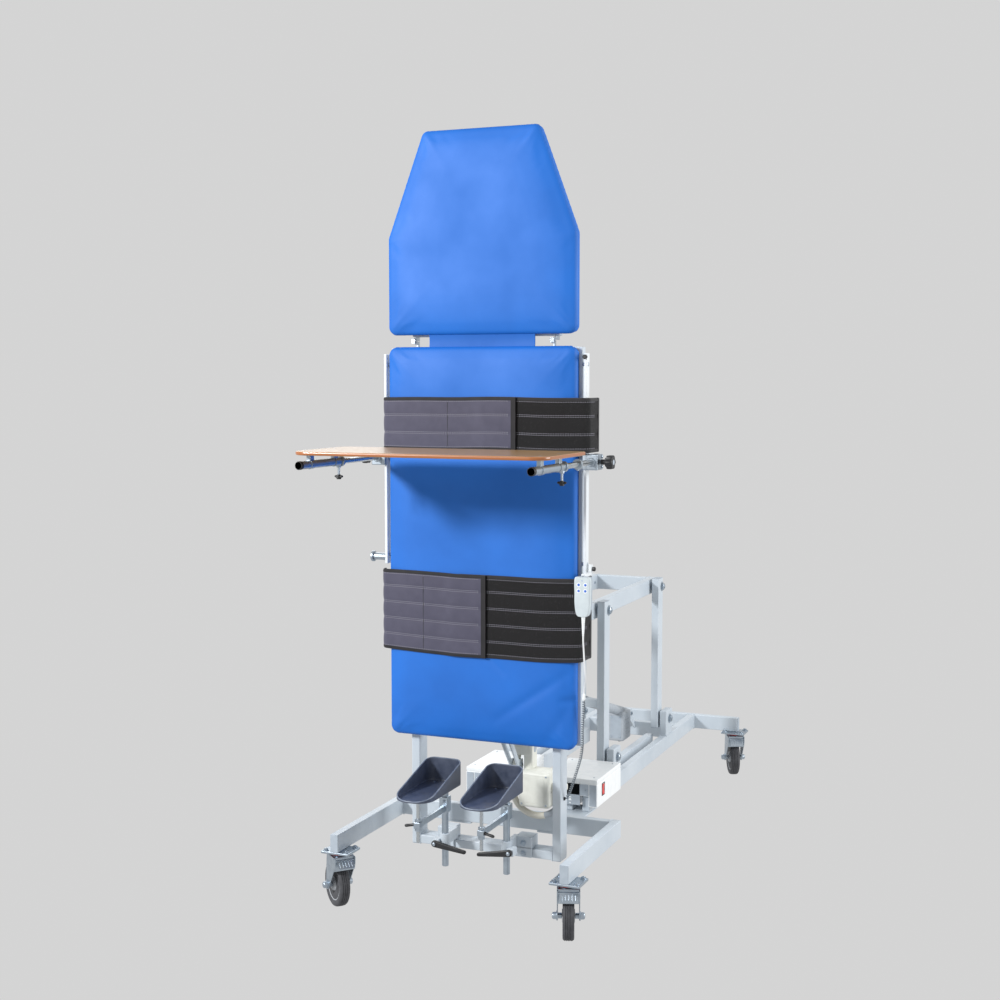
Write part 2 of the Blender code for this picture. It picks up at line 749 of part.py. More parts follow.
def build_base(root):
    """Build the base's welded frame with its stubs, shoe plates and castor plates."""
    low_z, top_z = CASTOR_HEIGHT, TUBE_TOP
    bite = TUBE_W / 2
    solids = []
    cuts = []

    def add_tube(low, high, along, past=(OVER, OVER)):
        solids.append(block(low, high))
        cuts.append(core(low, high, along, past))

    across = LEG_INNER_X + TUBE_WALL * 2
    add_tube((-across, FRONT_BEAM_Y, low_z), (across, FRONT_BEAM_Y + TUBE_W, top_z), 0)
    add_tube((-BASE_HALF_WIDTH, REAR_BEAM_Y, low_z),
             (BASE_HALF_WIDTH, REAR_BEAM_Y + TUBE_W, top_z), 0)
    bar_half = OUTER_RAIL_X + TUBE_WALL * 2
    add_tube((-bar_half, SECOND_BAR_Y, low_z), (bar_half, SECOND_BAR_Y + TUBE_W, top_z), 0,
             (-TUBE_WALL / 2, -TUBE_WALL / 2))
    for side in (-1, 1):
        low, high = side_corners(side, LEG_INNER_X, BASE_HALF_WIDTH,
                                 (LEG_FRONT_Y, low_z), (LEG_REAR_Y, top_z))
        add_tube(low, high, 1)
        low, high = side_corners(side, OUTER_RAIL_X, OUTER_RAIL_X + TUBE_W,
                                 (RAIL_START_Y, low_z), (REAR_BEAM_Y + TUBE_WALL * 2, top_z))
        add_tube(low, high, 1)
        low, high = side_corners(side, INNER_RAIL_X, INNER_RAIL_X + TUBE_W,
                                 (RAIL_START_Y, low_z), (INNER_RAIL_END, top_z))
        add_tube(low, high, 1)
        solids.append(side_block(side, INNER_RAIL_X, OUTER_RAIL_X + TUBE_W,
                                 (FRONT_BEAM_Y, low_z - SHOE_T),
                                 (RAIL_START_Y + SHOE_LAP, low_z + TUBE_WALL / 2)))
        for y in (PIVOT_FRONT_Y, PIVOT_REAR_Y):
            near, far = y - STUB_LENGTH / 2, y + STUB_LENGTH / 2
            top = PIVOT_Z + STUB_RISE
            solids.append(side_block(side, OUTER_RAIL_X, OUTER_RAIL_X + TUBE_W,
                                     (near, top_z - TUBE_WALL), (far, top)))
            cuts.append(side_block(side, OUTER_RAIL_X + STUB_WALL,
                                   OUTER_RAIL_X + TUBE_W - STUB_WALL,
                                   (near + STUB_WALL, low_z + bite),
                                   (far - STUB_WALL, top - STUB_WALL)))
            cuts.append(cross_bar(side * (OUTER_RAIL_X - OVER),
                                  side * (OUTER_RAIL_X + TUBE_W + OVER),
                                  (y, PIVOT_Z), bore_r(PIN_R), 8))
        for y in (CASTOR_FRONT_Y, CASTOR_REAR_Y):
            middle = side * CASTOR_X
            solids.append(block((middle - PLATE_X / 2, y - PLATE_Y / 2, low_z - PAD_T),
                                (middle + PLATE_X / 2, y + PLATE_Y / 2, low_z + TUBE_WALL / 2),
                                TUBE_WALL / 2))
            solids.append(bar((middle, y, RACE_BOTTOM), (middle, y, low_z - PAD_T / 2), RACE_R))
            head_top = FORK_TOP - FORK_T - GAP
            solids.append(bar((middle, y, head_top - GAP), (middle, y, RACE_BOTTOM + RACE_T / 2),
                              KINGPIN_R, 8))
            solids.append(bar((middle, y, head_top - KINGPIN_HEAD_T), (middle, y, head_top),
                              KINGPIN_HEAD_R, 8))
    solids += actuator_lugs(0.0, (
        (SECOND_BAR_Y + TUBE_WALL / 2, low_z + bite),
        (SECOND_BAR_Y + TUBE_WALL / 2, top_z - bite / 2),
        (LIFT_ACT_FOOT[0] + LUG_REACH / 2, LIFT_ACT_FOOT[1] + LUG_REACH),
        (LIFT_ACT_FOOT[0] - LUG_REACH, LIFT_ACT_FOOT[1] + LUG_REACH),
        (LIFT_ACT_FOOT[0] - LUG_REACH, LIFT_ACT_FOOT[1] - LUG_REACH)))
    cuts.append(foot_bore(0.0, LIFT_ACT_FOOT))
    return fuse("base_frame", solids, STEEL_COAT, root, None, cuts)


def actuator_lugs(x, outline):
    """Return two lug plates beside an actuator's eye, from their Y and Z outline."""
    half = ACT_EYE_HALF + EYE_CLEAR
    return [plate(outline, 0, x + half, LUG_T), plate(outline, 0, x - half, -LUG_T)]


def foot_bore(x, place):
    """Return the cutter for an actuator's pin through its two lugs."""
    reach = ACT_EYE_HALF + EYE_CLEAR + LUG_T + OVER
    return cross_bar(x - reach, x + reach, place, bore_r(ACT_PIN_R), 8)


def build_boxes(base):
    """Build the two electrical covers on the rails and the rocker switch."""
    rear = BOX_FRONT_Y + BOX_LENGTH
    bottom = TUBE_TOP + GAP
    top = TUBE_TOP + BOX_HEIGHT
    rail_side = OUTER_RAIL_X + TUBE_W + GAP
    for name, side in (("power_box", 1), ("battery_box", -1)):
        skirt = TUBE_TOP - BOX_SKIRT
        solids = [
            side_block(side, BOX_INNER_X, BOX_HALF_SPAN, (BOX_FRONT_Y, bottom), (rear, top), BOX_EDGE),
            side_block(side, rail_side, BOX_HALF_SPAN, (BOX_FRONT_Y, skirt), (rear, top), BOX_EDGE),
        ]
        cuts = [
            side_block(side, BOX_INNER_X + BOX_WALL, BOX_HALF_SPAN - BOX_WALL,
                       (BOX_FRONT_Y + BOX_WALL, bottom - OVER), (rear - BOX_WALL, top - BOX_WALL)),
            side_block(side, rail_side + BOX_WALL, BOX_HALF_SPAN - BOX_WALL,
                       (BOX_FRONT_Y + BOX_WALL, skirt - OVER), (rear - BOX_WALL, top - BOX_WALL)),
        ]
        if side > 0:
            half = SWITCH_LENGTH / 2 + GAP
            tall = SWITCH_HEIGHT / 2 + SWITCH_ROCK
            cuts.append(side_block(side, BOX_HALF_SPAN - BOX_WALL - OVER / 2, BOX_HALF_SPAN + OVER,
                                   (SWITCH_Y - half, SWITCH_Z - tall),
                                   (SWITCH_Y + half, SWITCH_Z + tall)))
        fuse(name, solids, WHITE_COVER, base, None, cuts)
    outer = BOX_HALF_SPAN + SWITCH_PROUD
    rocker = side_block(1, outer - SWITCH_DEPTH, outer,
                        (SWITCH_Y - SWITCH_LENGTH / 2, SWITCH_Z - SWITCH_HEIGHT / 2),
                        (SWITCH_Y + SWITCH_LENGTH / 2, SWITCH_Z + SWITCH_HEIGHT / 2), BOX_EDGE / 2)
    fuse("power_switch", [rocker], (RED, 0.35, 0.0), base,
         (outer - SWITCH_DEPTH / 2, SWITCH_Y, SWITCH_Z))


def build_lower_pins(base):
    """Build the four pivot bolts that hold the links to the base's stubs."""
    outer = OUTER_RAIL_X + TUBE_W
    for front, y in (("front", PIVOT_FRONT_Y), ("rear", PIVOT_REAR_Y)):
        for side in (-1, 1):
            place = (y, PIVOT_Z)
            inner = LINK_X - GAP
            solids = [
                cross_bar(side * (inner - PIN_HEAD_T / 2), side * (outer + PIN_HEAD_T / 2),
                          place, PIN_R, 8),
                cross_bar(side * (inner - PIN_HEAD_T), side * inner, place, PIN_HEAD_R, 6),
                cross_bar(side * (outer + GAP), side * (outer + PIN_HEAD_T), place, PIN_HEAD_R, 6),
                cross_bar(side * (LINK_OUTER_X + GAP), side * (OUTER_RAIL_X - GAP), place, COLLAR_R, 10),
            ]
            fuse(f"{front}_lower_pin_{side_name(side)}", solids, BARE_ZINC, base)


def link_parts(side, pivot_y):
    """Return the solids and cuts of one upright link with its gusset and two bores."""
    bottom = PIVOT_Z - LINK_END
    top = PIVOT_TOP_Z + LINK_END
    middle = pivot_y - LINK_BACKSET
    front, rear = middle - TUBE_H / 2, middle + TUBE_H / 2
    low, high = side_corners(side, LINK_X, LINK_OUTER_X, (front, bottom), (rear, top))
    solids = [
        block(low, high),
        side_plate(side, LINK_X + (TUBE_W - GUSSET_T) / 2, GUSSET_T, (
            (rear - TUBE_WALL / 2, bottom), (rear + GUSSET_DEPTH, bottom),
            (rear + TUBE_WALL, bottom + GUSSET_HEIGHT), (rear - TUBE_WALL / 2, bottom + GUSSET_HEIGHT))),
    ]
    cuts = [core(low, high, 2)]
    for z in (PIVOT_Z, PIVOT_TOP_Z):
        cuts.append(cross_bar(side * (LINK_X - OVER / 2), side * (LINK_OUTER_X + OVER / 2),
                              (pivot_y, z), bore_r(PIN_R), 8))
    return solids, cuts


def build_links(base):
    """Build the front links with their cross bar, and the two rear links."""
    pivot = (0.0, PIVOT_FRONT_Y, PIVOT_Z)
    solids = []
    cuts = []
    for side in (1, -1):
        more_solids, more_cuts = link_parts(side, PIVOT_FRONT_Y)
        solids += more_solids
        cuts += more_cuts
    middle = PIVOT_FRONT_Y - LINK_BACKSET
    half = LINK_X + TUBE_WALL * 2
    low = (-half, middle - TUBE_W / 2, LINK_BAR_Z - TUBE_W / 2)
    high = (half, middle + TUBE_W / 2, LINK_BAR_Z + TUBE_W / 2)
    solids.insert(1, block(low, high))
    cuts.append(core(low, high, 0, (-TUBE_WALL / 2, -TUBE_WALL / 2)))
    head_y, head_z = LIFT_ACT_HEAD
    back = middle + TUBE_W / 2 - TUBE_WALL / 2
    solids += actuator_lugs(0.0, (
        (back, LINK_BAR_Z - TUBE_W / 3), (head_y + LUG_REACH, head_z - LUG_REACH),
        (head_y + LUG_REACH, head_z + LUG_REACH), (back, LINK_BAR_Z + TUBE_W / 3)))
    links = fuse("front_links", solids, STEEL_COAT, base, pivot, cuts)
    for side in (-1, 1):
        solids, cuts = link_parts(side, PIVOT_REAR_Y)
        fuse(f"rear_link_{side_name(side)}", solids, STEEL_COAT, base,
             (0.0, PIVOT_REAR_Y, PIVOT_Z), cuts)
    return links


def build_upper_frame(links):
    """Build the upper frame with its pivot bolts and the lugs for the tilt actuator."""
    solids = []
    cuts = []
    inner, outer = SIDE_TUBE_X, SIDE_TUBE_X + TUBE_W
    across = inner + TUBE_WALL * 2
    for y in (TILT_BAR_Y - TUBE_W / 2, UPPER_REAR_Y - TUBE_W):
        low = (-across, y, UPPER_BOTTOM)
        high = (across, y + TUBE_W, UPPER_TOP)
        solids.append(block(low, high))
        cuts.append(core(low, high, 0, (-TUBE_WALL / 2, -TUBE_WALL / 2)))
    for side in (-1, 1):
        low, high = side_corners(side, inner, outer, (UPPER_FRONT_Y, UPPER_BOTTOM),
                                 (UPPER_REAR_Y, UPPER_TOP))
        solids.append(block(low, high))
        cuts.append(core(low, high, 1))
        cuts.append(cross_bar(side * (inner - OVER), side * (outer + OVER), (TILT_Y, TILT_Z),
                              bore_r(TILT_SHAFT_R, 12), 12))
    item = fuse("upper_frame", solids, STEEL_COAT, links, (0.0, PIVOT_FRONT_Y, PIVOT_TOP_Z), cuts)
    bolts = []
    for side in (-1, 1):
        for y in (PIVOT_FRONT_Y, PIVOT_REAR_Y):
            place = (y, PIVOT_TOP_Z)
            head = LINK_OUTER_X + GAP
            bolts += [
                cross_bar(side * (inner - TUBE_WALL), side * (head + PIN_HEAD_T / 2),
                          place, PIN_R, 8),
                cross_bar(side * head, side * (head + PIN_HEAD_T), place, PIN_HEAD_R, 6),
                cross_bar(side * (outer - TUBE_WALL / 2), side * (LINK_X - GAP), place, COLLAR_R, 10),
            ]
    head_y, head_z = TILT_ACT_HEAD
    low_y = TILT_BAR_Y - TUBE_W / 2
    bolts += actuator_lugs(TILT_ACT_X, (
        (low_y, UPPER_BOTTOM + TUBE_WALL / 2), (head_y - LUG_REACH, head_z - LUG_REACH),
        (head_y + LUG_REACH, head_z - LUG_REACH), (head_y + LUG_REACH, head_z + LUG_REACH),
        (low_y + TUBE_W, UPPER_BOTTOM + TUBE_WALL / 2)))
    add_helpers(item, bolts, 'UNION')
    return item


def build_actuator(name, carrier, x, foot, head, tube_end, look, extras):
    """Build a linear actuator: a motor with its outer tube, and the rod inside it."""
    foot_at = Vector((x, *foot))
    head_at = Vector((x, *head))
    along = (head_at - foot_at).normalized()
    pin_reach = ACT_EYE_HALF + EYE_CLEAR + LUG_T
    solids = [
        bar(foot_at + along * ACT_TUBE_START, foot_at + along * tube_end, ACT_TUBE_R),
        bar(foot_at, foot_at + along * (ACT_TUBE_START + OVER / 2), ACT_NECK_R),
        cross_bar(x - ACT_EYE_HALF, x + ACT_EYE_HALF, foot, ACT_EYE_R),
        cross_bar(x - pin_reach - ACT_PIN_HEAD_T / 2, x + pin_reach + ACT_PIN_HEAD_T / 2,
                  foot, ACT_PIN_R, 8),
    ]
    for side in (-1, 1):
        start = x + side * (pin_reach + GAP)
        solids.append(cross_bar(start, start + side * ACT_PIN_HEAD_T, foot, ACT_PIN_HEAD_R, 8))
    bore = bar(foot_at + along * (ACT_ROD_IN - GAP), foot_at + along * (tube_end + OVER),
               ACT_ROD_R + RUN)
    motor = fuse(f"{name}_motor", solids + extras, look, carrier, foot_at, [bore])
    rod = [
        bar(foot_at + along * ACT_ROD_IN, head_at, ACT_ROD_R),
        cross_bar(x - ACT_EYE_HALF, x + ACT_EYE_HALF, head, ACT_HEAD_R),
    ]
    fuse(f"{name}_rod", rod, BARE_ZINC, motor, head_at)
    return motor


def build_lift_actuator(base):
    """Build the actuator between the base and the front links."""
    half = LIFT_MOTOR_HALF
    extras = [block((-half, LIFT_MOTOR_Y[0], LIFT_MOTOR_Z[0]),
                    (half, LIFT_MOTOR_Y[1], LIFT_MOTOR_Z[1]), MOTOR_EDGE)]
    build_actuator("lift", base, 0.0, LIFT_ACT_FOOT, LIFT_ACT_HEAD, LIFT_TUBE_END,
                   (GREY, 0.5, 0.0), extras)


def build_tilt_actuator(table):
    """Build the actuator between the table and the upper frame, with its hose."""
    x = TILT_ACT_X
    column = (MOTOR_X[0] + GEARBOX_SETBACK, MOTOR_X[0] + GEARBOX_WIDTH)
    extras = [
        block((MOTOR_X[0], MOTOR_Y[0], MOTOR_Z[0]), (MOTOR_X[1], MOTOR_Y[1], MOTOR_Z[1]),
              MOTOR_EDGE),
        block((column[0], GEARBOX_Y[0], MOTOR_Z[1] - MOTOR_EDGE * 4),
              (column[1], GEARBOX_Y[1] - MOTOR_EDGE * 2, GEARBOX_Z[1])),
        block((x - ACT_EYE_HALF, GEARBOX_Y[0], GEARBOX_Z[0]),
              (column[1] - MOTOR_EDGE, GEARBOX_Y[1], GEARBOX_Z[1] - MOTOR_EDGE / 2)),
    ]
    for side, face in ((-1, MOTOR_X[0]), (1, MOTOR_X[1])):
        end = HOSE_X + side * HOSE_LOOP
        near, far = sorted((face - side * OVER / 2, end + side * GLAND_HALF))
        extras.append(block((near, HOSE_Y - GLAND_HALF, HOSE_Z + GAP),
                            (far, HOSE_Y + GLAND_HALF, HOSE_Z + GLAND_T)))
    motor = build_actuator("tilt", table, x, TILT_ACT_FOOT, TILT_ACT_HEAD, TILT_TUBE_END,
                           (CREAM, 0.45, 0.0), extras)
    points = []
    for i in range(HOSE_STEPS + 1):
        angle = math.pi * i / HOSE_STEPS
        points.append(Vector((HOSE_X - HOSE_LOOP * math.cos(angle), HOSE_Y,
                              HOSE_Z - HOSE_STRAIGHT - HOSE_DEPTH * math.sin(angle))))
    for end in (0, -1):
        start = points[end] + Vector((0.0, 0.0, HOSE_STRAIGHT))
        points.insert(0 if end == 0 else len(points), start)
    wire("actuator_hose", points, HOSE_R, 2, (CREAM, 0.5, 0.0), motor)


def build_table_frame(upper):
    """Build the table's welded frame with its tilt ears, actuator lugs and hinge ears."""
    solids = []
    upright_cuts = []
    cuts = []
    back = FRAME_Y + TUBE_W
    leg_outer = LEG_TUBE_X + TUBE_W
    pieces = []
    for side in (1, -1):
        pieces.append((*side_corners(side, LEG_TUBE_X, leg_outer, (FRAME_Y, TABLE_FOOT_Z),
                                     (FRAME_Y + TUBE_H, TABLE_TOP_Z)), 2, OVER))
        pieces.append((*side_corners(side, TABLE_HALF_WIDTH - TUBE_W, TABLE_HALF_WIDTH,
                                     (FRAME_Y, LOWER_CROSS_Z), (back, TABLE_TOP_Z)), 2, OVER))
    across = LEG_TUBE_X + TUBE_WALL * 2
    bite = -TUBE_WALL / 2
    pieces.append(((-across, FRAME_Y, TABLE_FOOT_Z),
                   (across, FRAME_Y + TUBE_H, TABLE_FOOT_Z + TUBE_W), 0, bite))
    pieces.append(((-across, HINGE_BAR_Y, UPPER_BOTTOM),
                   (across, HINGE_BAR_Y + TUBE_W, UPPER_TOP), 0, bite))
    wide = TABLE_HALF_WIDTH - TUBE_WALL
    for z in (LOWER_CROSS_Z, MIDDLE_CROSS_Z, TABLE_TOP_Z - TUBE_W):
        pieces.append(((-wide, FRAME_Y, z), (wide, back, z + TUBE_W), 0, bite))
    for low, high, along, past in pieces:
        solids.append(block(low, high))
        (upright_cuts if along == 2 else cuts).append(core(low, high, along, (past, past)))
    item = fuse("table_frame", solids, STEEL_COAT, upper, (0.0, TILT_Y, TILT_Z), upright_cuts)
    add_helpers(item, cuts, 'DIFFERENCE')

    extras = []
    bores = []
    for side in (-1, 1):
        ear = side_block(side, EAR_X, EAR_X + EAR_T,
                         (HINGE_BAR_Y + TUBE_W - TUBE_WALL / 2, TILT_Z - EAR_HALF),
                         (TILT_Y + EAR_REACH, TILT_Z + EAR_HALF))
        extras.append(ear)
        bores.append(cross_bar(side * (EAR_X - OVER / 2), side * (EAR_X + EAR_T + OVER / 2),
                               (TILT_Y, TILT_Z), bore_r(TILT_SHAFT_R, 12), 12))
        top = HEAD_HINGE_Z - HINGE_PIN_R / 3
        extras.append(side_plate(side, HINGE_EAR_X, HINGE_EAR_T, (
            (HEAD_HINGE_Y - HINGE_BOSS, HEAD_HINGE_Z - HINGE_BOSS),
            (HEAD_HINGE_Y + HINGE_BOSS, HEAD_HINGE_Z - HINGE_ARM),
            (HEAD_HINGE_Y + HINGE_STANDOFF, HEAD_HINGE_Z - HINGE_ARM),
            (HEAD_HINGE_Y + HINGE_STANDOFF, TABLE_TOP_Z - TUBE_WALL / 2),
            (HEAD_HINGE_Y + TABLE_EAR_REACH, TABLE_TOP_Z - TUBE_WALL / 2),
            (HEAD_HINGE_Y + TABLE_EAR_REACH, top),
            (HEAD_HINGE_Y + HINGE_BOSS, top),
            (HEAD_HINGE_Y + HINGE_BOSS, HEAD_HINGE_Z + HINGE_BOSS),
            (HEAD_HINGE_Y - HINGE_BOSS, HEAD_HINGE_Z + HINGE_BOSS))))
        bores.append(cross_bar(side * (HINGE_EAR_X - OVER / 2),
                               side * (HINGE_EAR_X + HINGE_EAR_T + OVER / 2),
                               (HEAD_HINGE_Y, HEAD_HINGE_Z), bore_r(HINGE_PIN_R), 8))
    foot_y, foot_z = TILT_ACT_FOOT
    extras += actuator_lugs(TILT_ACT_X, (
        (FRAME_Y + TUBE_WALL / 2, LOWER_CROSS_Z + TUBE_W / 2),
        (FRAME_Y + TUBE_WALL / 2, LOWER_CROSS_Z + TUBE_WALL / 2),
        (foot_y - LUG_REACH, foot_z - LUG_REACH), (foot_y + LUG_REACH, foot_z - LUG_REACH),
        (foot_y + LUG_REACH * 0.75, foot_z + LUG_REACH * 0.8),
        (foot_y - LUG_REACH, foot_z + LUG_REACH),
        (back - TUBE_WALL / 2, LOWER_CROSS_Z + TUBE_WALL / 2),
        (back - TUBE_WALL / 2, LOWER_CROSS_Z + TUBE_W / 2)))
    bores.append(foot_bore(TILT_ACT_X, TILT_ACT_FOOT))
    add_helpers(item, extras, 'UNION')
    add_helpers(item, bores, 'DIFFERENCE')

    end = EAR_X + EAR_T
    place = (TILT_Y, TILT_Z)
    shaft = [cross_bar(-end - TILT_HEAD_T / 2, end + TILT_HEAD_T / 2, place, TILT_SHAFT_R)]
    for side in (-1, 1):
        shaft.append(cross_bar(side * (end + GAP), side * (end + TILT_HEAD_T), place, TILT_HEAD_R))
    fuse("tilt_shaft", shaft, BARE_ZINC, item)
    return item


def cushion_rings(corners, radii):
    """Return the rings of a crowned cushion, from its flat back to the top of its crown."""
    def ring(inset, y):
        return [(x, y, z) for x, z in rounded_outline(corners, radii, inset, 3)]

    rings = [
        ring(CUSHION_DRAW, CUSHION_BACK_Y),
        ring(CUSHION_DRAW * 1.25, CUSHION_BACK_Y - CUSHION_T * 0.2),
        ring(CUSHION_DRAW * 0.5, CUSHION_BACK_Y - CUSHION_T * 0.45),
        ring(0.0, CUSHION_FRONT_Y + CUSHION_ROUND),
    ]
    for degrees in (30, 60, 90):
        angle = math.radians(degrees)
        rings.append(ring(CUSHION_ROUND * (1.0 - math.cos(angle)),
                          CUSHION_FRONT_Y + CUSHION_ROUND * (1.0 - math.sin(angle))))
    for share in CROWN_SHARES:
        inset = CUSHION_ROUND + (CROWN_SPAN - CUSHION_ROUND) * share
        rings.append(ring(inset, CUSHION_FRONT_Y - crown_at(inset)))
    return rings


def crown_at(inset):
    """Return the crown's height at a distance from the cushion's edge."""
    share = min(1.0, max(0.0, (inset - CUSHION_ROUND) / (CROWN_SPAN - CUSHION_ROUND)))
    return CUSHION_CROWN * (1.0 - (1.0 - share) ** 2)


def build_cushions(table, head):
    """Build the body cushion and the tapered head cushion."""
    half = TABLE_HALF_WIDTH
    corner = CUSHION_CORNER
    body = ((-half, BODY_BOTTOM_Z), (half, BODY_BOTTOM_Z), (half, BODY_TOP_Z), (-half, BODY_TOP_Z))
    rings = cushion_rings(body, (corner,) * 4)
    put("body_cushion", to_mesh("body_cushion", stack(rings)), VINYL, table)
    outline = ((-half, HEAD_BOTTOM_Z), (half, HEAD_BOTTOM_Z), (half, HEAD_TAPER_Z),
               (HEAD_TOP_HALF, HEAD_TOP_Z), (-HEAD_TOP_HALF, HEAD_TOP_Z), (-half, HEAD_TAPER_Z))
    top = HEAD_TOP_CORNER
    rings = cushion_rings(outline, (corner, corner, corner, top, top, corner))
    put("head_cushion", to_mesh("head_cushion", stack(rings)), VINYL, head)


def build_head_frame(table):
    """Build the head section's frame with its hinge arms and pins."""
    back = FRAME_Y + TUBE_W
    bottom = HEAD_HINGE_Z + HEAD_FRAME_START
    solids = []
    cuts = []
    bite = -TUBE_WALL / 2
    across = HEAD_TUBE_X + TUBE_W - TUBE_WALL
    pieces = [
        ((-HEAD_BAR_HALF, FRAME_Y, bottom), (HEAD_BAR_HALF, back, bottom + TUBE_W), 0, OVER),
        ((-across, FRAME_Y, HEAD_FRAME_TOP - TUBE_W), (across, back, HEAD_FRAME_TOP), 0, bite),
    ]
    for side in (-1, 1):
        pieces.append((*side_corners(side, HEAD_TUBE_X, HEAD_TUBE_X + TUBE_W,
                                     (FRAME_Y, bottom + TUBE_WALL), (back, HEAD_FRAME_TOP)), 2, OVER))
    for low, high, along, past in pieces:
        solids.append(block(low, high))
        start_past = bite if along == 2 else past
        cuts.append(core(low, high, along, (start_past, past)))
    item = fuse("head_frame", solids, STEEL_COAT, table, (0.0, HEAD_HINGE_Y, HEAD_HINGE_Z), cuts)
    ears = []
    inner = HINGE_EAR_X + HINGE_EAR_T + HINGE_EAR_GAP
    low = HEAD_HINGE_Z + HINGE_PIN_R / 3
    for side in (-1, 1):
        ears.append(side_plate(side, inner, HINGE_EAR_T, (
            (HEAD_HINGE_Y - HINGE_BOSS, HEAD_HINGE_Z - HINGE_BOSS),
            (HEAD_HINGE_Y + HINGE_BOSS, HEAD_HINGE_Z - HINGE_BOSS),
            (HEAD_HINGE_Y + HINGE_BOSS, low),
            (HEAD_HINGE_Y + HEAD_EAR_REACH, low),
            (HEAD_HINGE_Y + HEAD_EAR_REACH, bottom + TUBE_W / 2),
            (HEAD_HINGE_Y + HINGE_STANDOFF, bottom + TUBE_W / 2),
            (HEAD_HINGE_Y + HINGE_STANDOFF, HEAD_HINGE_Z + HINGE_ARM),
            (HEAD_HINGE_Y + HINGE_BOSS, HEAD_HINGE_Z + HINGE_ARM),
            (HEAD_HINGE_Y - HINGE_BOSS, HEAD_HINGE_Z + HINGE_BOSS))))
        place = (HEAD_HINGE_Y, HEAD_HINGE_Z)
        start = HINGE_EAR_X - HINGE_PIN_R
        ears.append(cross_bar(side * start, side * (inner + HINGE_EAR_T / 2),
                              place, HINGE_PIN_R, 8))
    add_helpers(item, ears, 'UNION')
    return item


def build_side_rails(table):
    """Build the two accessory rails with their spacers, the end stub and the handset hook."""
    mid_y = RAIL_Y + RAIL_W - SPACER_R - SPACER_INSET
    for side in (-1, 1):
        solids = [side_block(side, RAIL_X, RAIL_OUTER_X, (RAIL_Y, RAIL_BOTTOM_Z),
                             (RAIL_Y + RAIL_W, RAIL_TOP_Z), BOX_EDGE / 2)]
        for z in SPACER_HEIGHTS:
            solids.append(cross_bar(side * (TABLE_HALF_WIDTH + GAP), side * (RAIL_X + RAIL_T / 2),
                                    (mid_y, z), SPACER_R, 8))
        if side < 0:
            place = (RAIL_Y + RAIL_W / 2, STUB_Z)
            solids.append(cross_bar(side * (RAIL_X + RAIL_T / 2), side * STUB_REACH, place, STUB_R))
            solids.append(cross_bar(side * (STUB_REACH - STUB_FLANGE_T), side * STUB_REACH, place,
                                    STUB_FLANGE_R))
        else:
            top = RAIL_BOTTOM_Z + HOOK_DROP
            face = HANDSET_Y + GAP
            solids += [
                block((RAIL_X + RAIL_T / 2, RAIL_Y + HOOK_T, RAIL_BOTTOM_Z + GAP),
                      (HOOK_X + HOOK_W / 2, RAIL_Y + RAIL_W - HOOK_T / 2, top), BOX_EDGE / 2),
                block((HOOK_X - HOOK_W / 2, face, RAIL_BOTTOM_Z - HOOK_T / 2),
                      (HOOK_X + HOOK_W / 2, RAIL_Y + RAIL_W - HOOK_T, RAIL_BOTTOM_Z + HOOK_T)),
                block((HOOK_X - HOOK_W / 2, face, RAIL_BOTTOM_Z - HOOK_DROP),
                      (HOOK_X + HOOK_W / 2, face + HOOK_T / 2, RAIL_BOTTOM_Z + HOOK_T / 2)),
            ]
        fuse(f"side_rail_{side_name(side)}", solids, (WHITE_COAT, 0.3, 0.2), table)


def belt_path(left, right, back, offset):
    """Return the belt's line in X and Y, from its left end round the front to its right end.

    The right end reaches back to the given Y. The offset is the distance in front of the
    cushion.
    """
    turn = BELT_TURN
    front = BELT_GAP_Y + CUSHION_CROWN
    points = []
    for side, reach, back_y in ((-1, left, BELT_LEFT_BACK), (1, right, back)):
        edge = reach - BELT_T + offset
        run = [(side * edge, back_y)]
        centre = (edge - turn - offset, front + turn)
        for degrees in (0, 30, 60, 90):
            angle = math.radians(degrees)
            swing = turn + offset
            run.append((side * (centre[0] + swing * math.cos(angle)),
                        centre[1] - swing * math.sin(angle)))
        for share in CROWN_SHARES:
            inset = CUSHION_ROUND + (CROWN_SPAN - CUSHION_ROUND) * share
            run.append((side * (TABLE_HALF_WIDTH - inset), front - crown_at(inset) - offset))
        points.append(run)
    return points[0] + points[1][::-1]


def build_belts(table):
    """Build the two belts, each with its sewn channels and its overlapping end."""
    belts = (
        ("chest_belt", CHEST_BELT_Z, CHEST_BELT_H, CHEST_BELT_ROWS, CHEST_BELT_LEFT,
         CHEST_BELT_RIGHT, CHEST_BELT_BACK, CHEST_LAP_X),
        ("hip_belt", HIP_BELT_Z, HIP_BELT_H, HIP_BELT_ROWS, HIP_BELT_LEFT,
         HIP_BELT_RIGHT, HIP_BELT_BACK, HIP_LAP_X),
    )
    for name, bottom, height, rows, left, right, back, lap_x in belts:
        levels = [(bottom, BELT_T - BELT_GROOVE)]
        row = height / rows
        for i in range(rows):
            low, high = bottom + row * i, bottom + row * (i + 1)
            levels.append((low + BELT_SEAM, BELT_T))
            levels.append((high - BELT_SEAM, BELT_T))
            levels.append((high, BELT_T - BELT_GROOVE))
        rings = []
        inner = belt_path(left, right, back, 0.0)
        for z, thickness in levels:
            outline = inner + belt_path(left, right, back, thickness)[::-1]
            rings.append([(x, y, z) for x, y in outline])
        lap = block((-lap_x * 0.2, BELT_GAP_Y - BELT_T * 2, bottom + GAP),
                    (lap_x, BELT_GAP_Y - BELT_T / 2, bottom + height - GAP))
        fuse(name, [stack(rings), lap], BELT_CLOTH, table)


